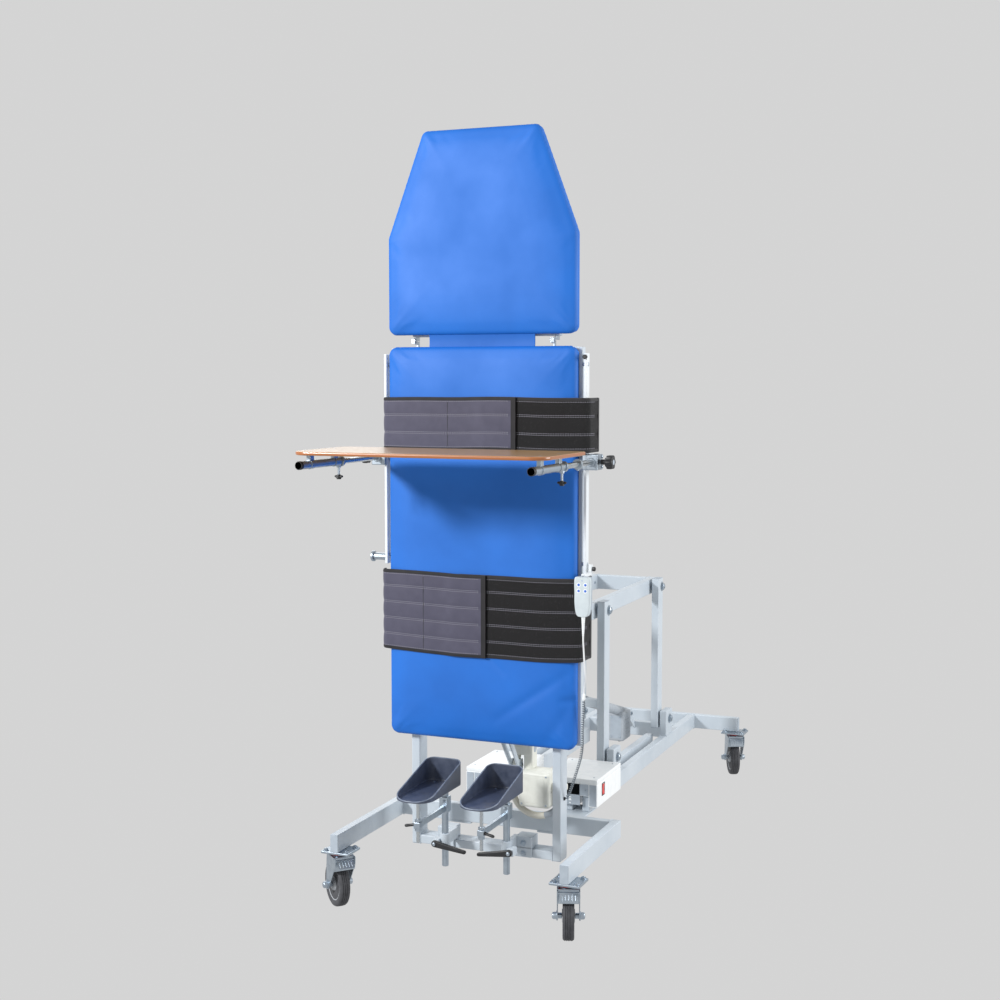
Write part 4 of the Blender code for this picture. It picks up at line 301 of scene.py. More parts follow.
@dataclass(frozen=True)
class BeechPly(Finish):
  """Rotary-cut beech plywood under clear lacquer: flecked faces, striped edges."""

  late: str = "#A57E4C"
  edge: str = "#8A4F28"
  ply_mm: float = 1.5

  def pattern(self, surface: Surface) -> None:
    """Lay the grain along X with its flecks on the faces, and the plies on the edges."""
    grain = surface.noise(11.0, 6.0, 0.08)
    face = surface.mixed(surface.mapped(grain, 0.0, 1.0, 0.35, 0.68), self.colour, self.late)
    flecks = surface.mapped(surface.noise(1.6, 1.0, 0.25), 0.0, 0.35, 0.56)
    plies = surface.add("TexWave", {"bands_direction": 'Z', "Scale": per_metre(self.ply_mm) / 6.28,
      "Distortion": 0.3}, {"Vector": surface.add("TexCoord", out="Object")}, "Fac")
    upward = surface.add("SeparateXYZ", {}, {"0": surface.add("TexCoord", out="Normal")}, "Z")
    flat = surface.add("Math", {"operation": 'ABSOLUTE'}, {"0": upward})
    surface.feed(surface.mixed(surface.mapped(flat, 1.0, 0.0, 0.5, 0.9),
      surface.mixed(flecks, face, self.edge), surface.mixed(plies, "#A9683A", self.edge)), "Base Color")
    surface.relief(grain, 0.12, 0.2)


@dataclass(frozen=True)
class Moulded(Finish):
  """Injection-moulded plastic or rubber: one colour, a spark-eroded grain and faint scuffs."""

  grain_mm: float = 1.0
  grain_depth: float = 0.1
  scuffed: str = ""

  def pattern(self, surface: Surface) -> None:
    """Lay the grain and the scuffs."""
    self.cloud(surface, self.scuffed or self.colour, 24.0, 0.07)
    surface.relief(surface.noise(self.grain_mm, 3.0), self.grain_depth, 0.15)


COAT = PowderCoat("powder_coat_grey_white", "#BDC6CE", 0.36)
ENAMEL = PowderCoat("rail_enamel_white", "#DDE2E6", 0.22, shade="#D2D8DD", coat=0.3)
ZINC = ZincPlate("zinc_plate_bright", "#B4BFC9", 0.34, 1.0, shade="#A2ADB8", patch_mm=26.0)
BRIGHT = ZincPlate("ground_steel_rod", "#C5CACD", 0.22, 1.0, shade="#B5BBC0", patch_mm=40.0)
VINYL = GrainedVinyl("vinyl_cobalt_blue", "#0D65C2", 0.6, ior=1.45)
# A darker blue than the pads' vinyl: painted shade in the gap between the pads
FLAP = GrainedVinyl("vinyl_flap_blue_painted_shade", "#0B5DB4", 0.62, ior=1.4, shade="#0953A6")
NYLON = WovenNylon("nylon_violet_grey", "#464557", 0.78, shade="#403F51", sheen=0.2)
BINDING = WovenNylon("binding_tape_black", "#1B1A1E", 0.8, shade="#131216", sheen=0.15)
PILE = LoopPile("loop_pile_black", "#09090B", 0.95, sheen=0.05)
THREAD = Moulded("polyester_thread_grey", "#7C7B86", 0.7)
BEECH = BeechPly("beech_plywood_lacquered", "#BA9A70", 0.3, coat=0.35)
COVER = Moulded("abs_cover_white", "#E9ECED", 0.38, grain_mm=1.1, scuffed="#E0E4E6")
# Grey plastic for caps, discs and the handset's back, also laid on the covers' white fronts as painted shade
PANEL_AND_PAINTED_SHADE = Moulded("abs_panel_grey_and_painted_shade", "#A4AEB8", 0.5, grain_mm=1.3, scuffed="#99A3AD")
CREAM = Moulded("abs_housing_cream", "#DCDDD5", 0.42, grain_mm=1.3, scuffed="#D0D1C8")
MOTOR = Moulded("cast_housing_grey", "#A9B0B7", 0.5, grain_mm=1.5, scuffed="#9BA2A9")
BLACK = Moulded("nylon_black", "#17181A", 0.46, grain_mm=1.2, scuffed="#222326")
NAVY = Moulded("polypropylene_navy", "#363E50", 0.4, grain_mm=1.6, grain_depth=0.18, scuffed="#454D60")
# A paler blue-grey for the bead along the foot cups' rims
NAVY_EDGE = Moulded("polypropylene_rim_pale", "#5C6678", 0.36, scuffed="#7A8494")
TYRE = Moulded("tyre_rubber_dark", "#35363A", 0.74, grain_mm=1.5, grain_depth=0.3, scuffed="#4B4C50")
RIM = Moulded("wheel_core_grey", "#A3A7AB", 0.55, scuffed="#90949A")
RED = Moulded("polycarbonate_red", "#D3190F", 0.25, grain_depth=0.03, coat=0.3)
CASE = Moulded("abs_case_pale_grey", "#C4CED2", 0.42, grain_mm=1.0, scuffed="#B9C3C8")
KEY = Moulded("key_rubber_blue", "#1E62C4", 0.5, grain_depth=0.06)
SHEATH = Moulded("pvc_sheath_white", "#E4E6E7", 0.4, grain_mm=0.9, scuffed="#D6D8DA")
COIL = Moulded("pvc_coiled_grey", "#6B747C", 0.42, grain_mm=0.9, scuffed="#5C646C")
SLEEVE = Moulded("corrugated_sleeve_cream", "#DAD7CC", 0.48, scuffed="#CBC8BC")
BRASS = ZincPlate("yellow_zinc_passivated", "#B89A5E", 0.32, 1.0, shade="#9C8A63")
# Dark grommet rubber, also laid as painted shade in screw recesses, vent slots and the wheels' recesses
GROMMET_AND_PAINTED_SHADE = Moulded("grommet_dark_and_painted_shade", "#26282B", 0.6)


# ---- shapes

def mm(*run: float) -> list[tuple[float, float]]:
  """Return pairs in metres from a run of millimetres."""
  return [(a / 1000, b / 1000) for a, b in zip(run[::2], run[1::2])]


def rounded_outline(corners: Sequence[Point], radii: Sequence[float], inset: float = 0.0,
    steps: int = 6) -> list[Vector]:
  """Return a polygon with rounded corners, drawn in by an inset.

  Args:
    corners: The corners, counter-clockwise.
    radii: The radius at each corner.
    inset: How far the outline is drawn in.
    steps: Points per corner, less one.

  Returns:
    As many points for every inset.
  """
  lines = []
  for start, end in zip(corners, [*corners[1:], corners[0]]):
    along = (Vector(end) - Vector(start)).normalized()
    inward = Vector((-along.y, along.x))
    lines.append((Vector(start) + inward * inset, along, inward))
  points = []
  for i, after in enumerate(lines):
    before = lines[i - 1]
    turn = before[1].cross(after[1])
    corner = before[0] + before[1] * ((after[0] - before[0]).cross(after[1]) / turn)
    radius = max(radii[i] - inset, radii[i] * 0.15)
    centre = corner + (before[2] + after[2]) * (radius / (1.0 + before[1].dot(after[1])))
    first = atan2(-before[2].y, -before[2].x)
    swing = atan2(turn, before[1].dot(after[1]))
    points += [centre + radius * Vector((cos(first + swing * k / steps), sin(first + swing * k / steps)))
      for k in range(steps + 1)]
  return points


def length_of(points: Sequence[Vector]) -> float:
  """Return the length of a line through points."""
  return sum((q - p).length for p, q in zip(points, points[1:]))


def smooth_route(points: Sequence[Point], spacing: float) -> list[Vector]:
  """Return evenly spaced points on a curve.

  Args:
    points: The points that it passes.
    spacing: The distance between the points returned.

  Returns:
    The points, from the first to the last.
  """
  knots = [Vector(point) for point in points]
  knots = [2 * knots[0] - knots[1], *knots, 2 * knots[-1] - knots[-2]]
  fine = [0.5 * (2 * b + (c - a) * t + (2 * a - 5 * b + 4 * c - d) * t ** 2 + (3 * b - a - 3 * c + d)
    * t ** 3) for a, b, c, d in zip(knots, knots[1:], knots[2:], knots[3:])
    for t in (i / 24 for i in range(24))]
  fine.append(knots[-2])
  count = max(2, round(length_of(fine) / spacing))
  step = length_of(fine) / count
  result = [fine[0]]
  walked = 0.0
  for p, q in zip(fine, fine[1:]):
    reach = (q - p).length
    while len(result) < count and walked + reach >= step * len(result):
      result.append(p.lerp(q, (step * len(result) - walked) / reach))
    walked += reach
  return [*result, fine[-1]]


def course(points: Sequence[Vector], i: int) -> Vector:
  """Return a line's direction at one of its points."""
  return (points[min(i + 1, len(points) - 1)] - points[max(i - 1, 0)]).normalized()


def mirrored(side: int, low: Point, high: Point) -> tuple[Vector, Vector]:
  """Return a right-hand box's lowest and highest corners on the given side, 1 or -1."""
  first, second = sorted((side * low[0], side * high[0]))
  return Vector((first, *low[1:])), Vector((second, *high[1:]))


def skin(part: BMesh, rings: Sequence[Sequence[Point]]) -> None:
  """Add a closed solid through rings of points, which may close to a tip.

  Args:
    part: The mesh that it joins.
    rings: The rings, from one end to the other.
  """
  loops = [[part.verts.new(point) for point in ring] for ring in rings]
  for one, two in zip(loops, loops[1:]):
    count = max(len(one), len(two))
    for i, j in zip(range(count), (*range(1, count), 0)):
      corners = dict.fromkeys((one[i % len(one)], one[j % len(one)], two[j % len(two)], two[i % len(two)]))
      if len(corners) > 2:
        part.faces.new(list(corners))
  for end in (loops[0], loops[-1]):
    if len(end) > 1:
      part.faces.new(end)


class Shape:
  """One piece: bevelled solids joined into a mesh, each in its own finish."""

  def __init__(self, name: str, body: str, place: Matrix | None = None) -> None:
    """Start an empty piece.

    Args:
      name: The piece's name.
      body: The body that it rides on, or nothing.
      place: Where its own space lies.
    """
    self.name = name
    self.body = body
    self.place = Matrix.Translation(SHIFT) @ (place or Matrix.Identity(4))
    self.mesh = bmesh.new()
    self.finishes: list[Finish] = []
    self.tubes = 0

  def take(self, part: BMesh, finish: Finish) -> None:
    """Join a solid, which is used up, into the piece."""
    if finish not in self.finishes:
      self.finishes.append(finish)
    bmesh.ops.recalc_face_normals(part, faces=part.faces)
    for face in part.faces:
      face.smooth = True
      face.material_index = self.finishes.index(finish)
    held = bpy.data.meshes.new("held")
    part.to_mesh(held)
    part.free()
    self.mesh.from_mesh(held)
    bpy.data.meshes.remove(held)

  def stack(self, rings: Sequence[Sequence[Point]], finish: Finish) -> None:
    """Add a solid through rings of points."""
    part = bmesh.new()
    skin(part, rings)
    self.take(part, finish)

  def box(self, low: Point, high: Point, finish: Finish, edge: float = 0.002, segments: int = 2) -> None:
    """Add a box with rounded edges.

    Args:
      low: Its lowest corner.
      high: Its highest corner.
      finish: Its finish.
      edge: The radius of its edges.
      segments: Steps across an edge.
    """
    low, high = Vector(low), Vector(high)
    part = bmesh.new()
    size = high - low
    bmesh.ops.create_cube(part, size=1.0, matrix=Matrix.Translation((low + high) / 2)
      @ Matrix.Diagonal((*size, 1.0)))
    limit = min(edge, min(size) * 0.45)
    if limit > 0:
      bmesh.ops.bevel(part, geom=part.edges[:], offset=limit, segments=segments, profile=0.5, affect='EDGES')
    self.take(part, finish)

  def half(self, side: int, low: Point, high: Point, finish: Finish, edge: float = 0.002,
      segments: int = 2) -> None:
    """Add a box that is given for the right, on the side 1 or -1."""
    self.box(*mirrored(side, low, high), finish, edge, segments)

  def turned(self, origin: Point, direction: Point, profile: Sequence[Point], finish: Finish,
      sides: int = 24) -> None:
    """Add a turned solid.

    Args:
      origin: Where its axis starts.
      direction: The axis's direction.
      profile: Pairs of a distance along the axis and a radius.
      finish: Its finish.
      sides: Steps round it.
    """
    along = Vector(direction).normalized()
    first = along.orthogonal().normalized()
    second = along.cross(first)
    angles = [tau * (i + 0.5) / sides for i in range(sides)]
    rings = []
    for distance, radius in profile:
      centre = Vector(origin) + along * distance
      rings.append([centre + radius * (cos(a) * first + sin(a) * second)
        for a in (angles if radius > 1e-6 else angles[:1])])
    self.stack(rings, finish)

  def rod(self, start: Point, end: Point, radius: float, finish: Finish, sides: int = 20,
      edge: float = 0.001) -> None:
    """Add a round or hexagonal rod with broken edges.

    Args:
      start: The middle of one end.
      end: The middle of the other end.
      radius: Its radius.
      finish: Its finish.
      sides: Steps round it.
      edge: The chamfer at its ends.
    """
    along = Vector(end) - Vector(start)
    length = along.length
    edge = min(edge, length * 0.3, radius * 0.4)
    near = ((0.0, 0.0), (0.0, radius - edge), (edge * 0.3, radius - edge * 0.3), (edge, radius))
    self.turned(start, along, (*near, *[(length - at, wide) for at, wide in near[::-1]]), finish, sides)

  def across(self, first: float, second: float, place: Point, radius: float, finish: Finish, sides: int = 20,
      edge: float = 0.001) -> None:
    """Add a rod along X, from one X to another, at a place in Y and Z."""
    self.rod((first, *place), (second, *place), radius, finish, sides, edge)

  def prism(self, outline: Sequence[Point], axis: Axis, start: float, depth: float, finish: Finish,
      edge: float = 0.001) -> None:
    """Add a plate: an outline in the two other axes, given a thickness.

    Args:
      outline: The outline's pairs, in the order of the other axes.
      axis: The direction of its thickness.
      start: Where it starts along that axis.
      depth: Its thickness, which may be negative.
      finish: Its finish.
      edge: The radius of the edges round its two faces.
    """
    part = bmesh.new()
    at = axis.value
    corners = [part.verts.new((*pair[:at], start, *pair[at:])) for pair in outline]
    made = bmesh.ops.extrude_face_region(part, geom=[part.faces.new(corners)])
    for item in made["geom"]:
      if isinstance(item, BMVert):
        item.co[at] += depth
    rims = [e for e in part.edges if abs(e.verts[0].co[at] - e.verts[1].co[at]) < 1e-7]
    bmesh.ops.bevel(part, geom=rims, offset=min(edge, abs(depth) * 0.4), segments=2, profile=0.5,
      affect='EDGES')
    self.take(part, finish)

  def sweep(self, points: Sequence[Vector], radii: Sequence[float], finish: Finish, sides: int = 10) -> None:
    """Add a round tube that follows a line, with a radius at each of its points."""
    normal = (points[1] - points[0]).orthogonal().normalized()
    rings = []
    for i, point in enumerate(points):
      along = course(points, i)
      normal = (normal - along * normal.dot(along)).normalized()
      other = along.cross(normal)
      rings.append([point + radii[i] * (cos(a) * normal + sin(a) * other)
        for a in (tau * k / sides for k in range(sides))])
    self.stack(rings, finish)

  def tube(self, low: Point, high: Point, ends: Iterable[tuple[Axis, int]] = (), side: int = 1) -> None:
    """Add a rectangular tube with its drawn corner radius.

    Args:
      low: Its lowest corner.
      high: Its highest corner.
      ends: The capped ends: their axis, and 1 for the high end or -1.
      side: -1 for the mirror image on the left.
    """
    low, high = mirrored(side, low, high)
    # Each tube is a little slimmer than the one before, so that no two faces share a plane
    slim = 0.00012 * (self.tubes % 6)
    self.tubes += 1
    size = high - low
    less = Vector([0.0 if length == max(size) else slim for length in size])
    self.box(low + less, high - less, COAT, 0.0035, 3)
    for axis, hand in ends:
      at = axis.value
      inset = Vector([0.0 if i == at else 0.0012 for i in range(3)])
      start, end = low + inset, high - inset
      face = (high if hand > 0 else low)[at]
      start[at], end[at] = sorted((face - hand * 0.004, face + hand * 0.0018))
      self.box(start, end, PANEL_AND_PAINTED_SHADE, 0.0015)

  def weld(self, side: int, low: Point, high: Point, axis: Axis) -> None:
    """Add a fillet weld round a rectangle where two tubes meet.

    Args:
      side: 1 for the right and -1 for the left.
      low: The rectangle's lowest corner on the right.
      high: Its highest corner, at the same place along the axis.
      axis: The axis across which it lies.
    """
    low, high = mirrored(side, low, high)
    first, second = [i for i in range(3) if i != axis.value]
    corners = []
    for a, b in ((0, 0), (1, 0), (1, 1), (0, 1), (0, 0)):
      place = low.copy()
      place[first] = (low, high)[a][first]
      place[second] = (low, high)[b][second]
      corners.append(place)
    points: list[Vector] = []
    for one, two in zip(corners, corners[1:]):
      count = max(2, int((two - one).length / 0.004))
      points += [one.lerp(two, i / count) for i in range(count)]
    points.append(corners[0])
    self.sweep(points, [0.0021 + 0.0005 * sin(i * 2.1) for i in range(len(points))], COAT, 6)

  def bolt(self, start: Point, direction: Point, radius: float, washer: bool = True) -> None:
    """Add a hexagon head with the bolt's end in it.

    Args:
      start: The middle of the face that it bears on.
      direction: Where it points.
      radius: Half the width over the head's corners.
      washer: Whether a washer lies under it.
    """
    along = Vector(direction).normalized()
    base = Vector(start)
    if washer:
      self.rod(base, base + along * 0.002, radius * 1.4, ZINC, 28, 0.0005)
      base = base + along * 0.002
    tall = radius * 0.62
    self.turned(base, along, ((0, 0), (0, radius), (tall * 0.8, radius), (tall, radius * 0.82), (tall, 0)),
      ZINC, 6)
    self.turned(base, along, ((0, 0), (0, radius * 0.5), (tall * 1.15, radius * 0.5),
      (tall * 1.25, radius * 0.4), (tall * 1.25, 0)), ZINC, 16)

  def finished(self, nodes: Sequence[str] = (), angle: float = 38.0) -> Object:
    """Make the piece, and let it ride and stand for its nodes.

    Args:
      nodes: The solids that it replaces.
      angle: The turn, in degrees, past which an edge stays sharp.

    Returns:
      The new object.
    """
    mesh = self.placed()
    mesh.set_sharp_from_angle(angle=radians(angle))
    for finish in self.finishes:
      mesh.materials.append(finish.material())
    item = object_of(self.name, mesh)
    item.modifiers.new("weighted_normals", 'WEIGHTED_NORMAL').keep_sharp = True
    if self.body:
      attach(item, self.body)
    if nodes:
      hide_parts(*nodes)
    LOG.info("%s rides on %s: %d faces", self.name, self.body or "two bodies", len(mesh.polygons))
    return item

  def placed(self) -> bpy.types.Mesh:
    """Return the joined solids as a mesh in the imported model's space."""
    mesh = bpy.data.meshes.new(self.name)
    bmesh.ops.transform(self.mesh, matrix=self.place, verts=self.mesh.verts)
    self.mesh.to_mesh(mesh)
    self.mesh.free()
    return mesh


# ---- studio

@dataclass
class Studio:
  """The white photo studio: floor, lights and camera."""

  lens: float = 53.886
  yaw: float = 22.711
  pitch: float = 4.718
  place: Point = (1.933258, -5.133814, 1.722)
  floor_size: float = 60.0

  def camera(self) -> None:
    """Set up the camera at the photo's viewing angle."""
    yaw, pitch = radians(self.yaw), radians(self.pitch)
    ahead = Vector((-sin(yaw) * cos(pitch), cos(yaw) * cos(pitch), -sin(pitch)))
    right = Vector((cos(yaw), sin(yaw), 0.0))
    data = bpy.data.cameras.new("photo_camera")
    data.lens = self.lens
    data.sensor_width = 36.0
    data.sensor_fit = 'HORIZONTAL'
    data.clip_end = 200.0
    item = object_of("photo_camera", data)
    item.matrix_world = (Matrix.Translation(self.place) @ Matrix((right, right.cross(ahead),
      -ahead)).transposed().to_4x4())
    bpy.context.scene.camera = item

  def lamp(self, name: str, place: Point, target: Point, size: float, power: float) -> None:
    """Add a square soft box.

    Args:
      name: Its name.
      place: Where it hangs.
      target: What it points at.
      size: Its side.
      power: Its power in watts.
    """
    data = bpy.data.lights.new(name, 'AREA')
    data.size = size
    data.energy = power
    item = object_of(name, data)
    item.location = place
    item.rotation_euler = (Vector(target) - Vector(place)).to_track_quat('-Z', 'Y').to_euler()

  def floor(self) -> None:
    """Lay the plain pale floor."""
    part = bmesh.new()
    bmesh.ops.create_grid(part, x_segments=2, y_segments=2, size=self.floor_size / 2)
    mesh = bpy.data.meshes.new("floor")
    part.to_mesh(mesh)
    part.free()
    item = object_of("floor", mesh)
    item.location.z = -0.0005
    mesh.materials.append(Moulded("studio_floor_white", "#F4F5F6", 0.75, grain_depth=0.02).material())

  def build(self) -> None:
    """Set up the camera, lights and surroundings."""
    self.camera()
    self.lamp("key_soft_box", (-3.1, -5.0, 3.3), (0.0, -0.7, 1.2), 0.8, 360.0)
    self.lamp("side_soft_box", (4.4, 0.4, 2.4), (0.2, 0.2, 0.6), 2.4, 170.0)
    self.lamp("back_soft_box", (-2.5, 3.5, 3.6), (0.0, 0.3, 0.8), 3.0, 60.0)
    world = bpy.data.worlds.new("white_surroundings")
    world.use_nodes = True
    background = world.node_tree.nodes["Background"]
    background.inputs["Color"].default_value = linear("#FFFFFF")
    background.inputs["Strength"].default_value = 0.66
    bpy.context.scene.world = world
    bpy.context.scene.view_settings.view_transform = 'Standard'
    LOG.info("studio is set")


# ---- cords

@dataclass
class HandsetCords:
  """The handset's plain lead, its fitting and the curly cord."""

  exit: Point = (0.37, -0.053, 0.9147)
  eye: Point = (0.3545, 0.0, 0.708)
  grommet: Point = (0.2673, 0.06, 0.356)
  lead_radius: float = 0.0025
  wire_radius: float = 0.00175
  curl_radius: float = 0.0035
  turns: int = 48
  steps: int = 12
  lead_route: tuple[Point, ...] = ((0.37, -0.053, 0.9), (0.3715, -0.052, 0.87), (0.373, -0.047, 0.82),
    (0.371, -0.033, 0.775), (0.36, -0.01, 0.74), (0.355, -0.001, 0.722),)
  curl_route: tuple[Point, ...] = ((0.354, 0.0005, 0.696), (0.351, 0.006, 0.66), (0.345, 0.015, 0.605),
    (0.3425, 0.022, 0.55), (0.334, 0.03, 0.505), (0.316, 0.042, 0.455), (0.296, 0.053, 0.402),
    (0.283, 0.059, 0.372), (0.2745, 0.06, 0.3585),)

  def wire(self, name: str, points: Sequence[Vector], radius: float, node: str, finish: Finish) -> Object:
    """Make a round cord of one open spline.

    Args:
      name: Its name.
      points: Its centre line.
      radius: Its radius.
      node: The solid that it replaces.
      finish: Its sheath.

    Returns:
      The curve object.
    """
    curve = bpy.data.curves.new(name, 'CURVE')
    curve.dimensions = '3D'
    curve.bevel_depth = radius
    curve.bevel_resolution = 3
    curve.use_fill_caps = True
    spline = curve.splines.new('POLY')
    spline.points.add(len(points) - 1)
    for target, place in zip(spline.points, points):
      target.co = (*(place + SHIFT), 1.0)
    curve.materials.append(finish.material())
    item = object_of(name, curve)
    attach(item, "table")
    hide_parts(node)
    LOG.info("%s: %.0f mm long", name, length_of(points) * 1000)
    return item

  def curls(self) -> list[Vector]:
    """Return the helix's points along its route."""
    route = smooth_route((self.eye, *self.curl_route, self.grommet), self.wire_radius)
    travelled = [0.0]
    for p, q in zip(route, route[1:]):
      travelled.append(travelled[-1] + (q - p).length)
    straight = self.wire_radius * 2
    turning = travelled[-1] - 2 * straight
    count = self.turns * self.steps
    points = [route[0]]
    place = 0
    for i in range(count + 1):
      distance = straight + turning * i / count
      while travelled[place + 1] < distance and place < len(route) - 2:
        place += 1
      share = (distance - travelled[place]) / (travelled[place + 1] - travelled[place])
      centre = route[place].lerp(route[place + 1], share)
      along = (route[min(place + 2, len(route) - 1)] - route[max(place - 1, 0)]).normalized()
      first = along.cross(Vector((0.0, 1.0, 0.0))).normalized()
      second = along.cross(first)
      ramp = min(1.0, i / self.steps, (count - i) / self.steps)
      angle = tau * i / self.steps
      points.append(centre + self.curl_radius * ramp * (cos(angle) * first + sin(angle) * second))
    return [*points, route[-1]]

  def build(self) -> None:
    """Make both cords, and the fitting between them."""
    eye = Vector(self.eye)
    first = (Vector(self.curl_route[0]) - eye).normalized()
    lead_points = smooth_route((self.exit, *self.lead_route, eye - first * GAP), 0.0125)
    lead = self.wire("lead_plain", lead_points, self.lead_radius, "handset_lead", SHEATH)
    curl_points = self.curls()
    curl = self.wire("lead_curled", curl_points, self.wire_radius, "handset_curl", COIL)
    fitting = Shape("lead_fitting", "table")
    fitting.turned(eye - first * 0.013, first, mm(0, 2.8, 0, 3.6, 2, 4.2, 8, 4.8, 18, 4.8, 21, 4.2, 22.5, 3),
      COVER, 16)
    sleeve = fitting.finished()
    end = Vector(self.grommet)
    grommet = Shape("cord_grommet", "table")
    grommet.turned(end + Vector((0.0006, 0, 0)), (-1, 0, 0), mm(-4, 2.4, -3, 4.5, -1, 5.8, 0.5, 6), GROMMET_AND_PAINTED_SHADE,
      16)
    grommet.finished()


# ---- base and boxes

@dataclass
class BaseFrame:
  """The welded base with its pivot bolts."""

  under: float = 0.196
  top: float = 0.256
  half_width: float = 0.408
  wide: float = 0.03
  leg_front: float = -0.282
  leg_rear: float = 0.225
  outer_rail: float = 0.187
  inner_rail: float = 0.122
  pivots: tuple[float, float] = (0.765, 1.445)
  pivot_z: float = 0.322
  castors: tuple[float, float] = (-0.24, 1.845)
  castor_x: float = 0.393

  def beams(self, shape: Shape) -> None:
    """Lay out the beams, legs and rails."""
    low, top, wide = self.under, self.top, self.wide
    edge = self.half_width - wide
    shape.tube((-edge - WELD_LAP, 0.19, low), (edge + WELD_LAP, 0.22, top))
    shape.tube((-self.half_width, 1.83, low), (self.half_width, 1.86, top), ENDS_X)
    inside = self.outer_rail + WELD_LAP
    shape.tube((-inside, 1.61, low), (inside, 1.64, top))
    for side, _ in SIDES:
      shape.tube((edge, self.leg_front, low), (self.half_width, self.leg_rear, top), ENDS_Y, side)
      shape.weld(side, (edge, 0.19, low), (edge, 0.22, top), Axis.X)
      shape.tube((self.outer_rail, 0.46, low), (self.outer_rail + wide, 1.832, top), side=side)
      shape.weld(side, (self.outer_rail, 1.83, low), (self.outer_rail + wide, 1.83, top), Axis.Y)
      shape.weld(side, (self.outer_rail, 1.61, low), (self.outer_rail, 1.64, top), Axis.X)
      shape.tube((self.inner_rail, 0.46, low), (self.inner_rail + wide, 1.43, top), ((Axis.Y, 1),), side)
      shape.half(side, (self.inner_rail, 0.19, low - 0.006), (self.outer_rail + wide, 0.54, low + 0.0005),
        COAT, 0.0015)

  def stubs(self, shape: Shape) -> None:
    """Stand the four pivot stubs on the rails."""
    for side, _ in SIDES:
      for y in self.pivots:
        low = (self.outer_rail, y - 0.0415, self.top - 0.002)
        high = (self.outer_rail + self.wide, y + 0.0415, self.pivot_z + 0.036)
        shape.half(side, low, high, COAT, 0.005, 3)
        shape.weld(side, (low[0], low[1], self.top), (high[0], high[1], self.top), Axis.Z)

  def lift_lugs(self, shape: Shape) -> None:
    """Add the two lugs that hold the lift actuator's foot."""
    y, z = 1.56, 0.3
    outline = ((1.611, 0.226), (1.611, 0.241), (y + 0.01, z + 0.02), (y - 0.02, z + 0.02),
      (y - 0.02, z - 0.02))
    for start, depth in ((0.0105, 0.006), (-0.0105, -0.006)):
      shape.prism(outline, Axis.X, start, depth, COAT)

  def castor_pads(self, shape: Shape) -> None:
    """Add the pads, bolts, races with red seals, and kingpins."""
    for side, _ in SIDES:
      for y in self.castors:
        x = side * self.castor_x
        shape.box((x - 0.05, y - 0.0425, 0.188), (x + 0.05, y + 0.0425, 0.1966), ZINC, 0.0028)
        for dx in (-0.037, 0.037):
          for dy in (-0.03, 0.03):
            shape.bolt((x + dx, y + dy, 0.1964), UP, 0.0075)
        shape.turned((x, y, 0.1885), DOWN, mm(0, 0, 0, 31, 1.5, 31, 3, 26.2, 8.2, 24, 8.2, 0), ZINC, 32)
        shape.turned((x, y, 0.1868), DOWN, mm(0, 25, 0, 33.8, 2.4, 33.8, 2.4, 25), RED, 32)
        shape.rod((x, y, 0.1762), (x, y, 0.184), 0.005, ZINC, 12)
        shape.bolt((x, y, 0.1762), DOWN, 0.0085, False)

  def pivot_bolts(self) -> None:
    """Fit the lower pivot bolts and collars."""
    shape = Shape("lower_pivot_bolts", "base")
    names = []
    for front, y in zip(("front", "rear"), self.pivots):
      for side, word in SIDES:
        place = (y, self.pivot_z)
        names.append(f"{front}_lower_pin_{word}")
        shape.across(side * 0.149, side * 0.2175, place, 0.006, ZINC, 16)
        shape.bolt((side * 0.1497, *place), (-side, 0, 0), 0.011)
        shape.bolt((side * 0.2173, *place), (side, 0, 0), 0.0135)
        shape.across(side * 0.1803, side * 0.1867, place, 0.017, ZINC, 28)
    shape.finished(names)

  def build(self) -> None:
    """Make the base and its bolts."""
    shape = Shape("base_weldment", "base")
    self.beams(shape)
    self.stubs(shape)
    self.lift_lugs(shape)
    self.castor_pads(shape)
    shape.finished(["base_frame"])
    self.pivot_bolts()


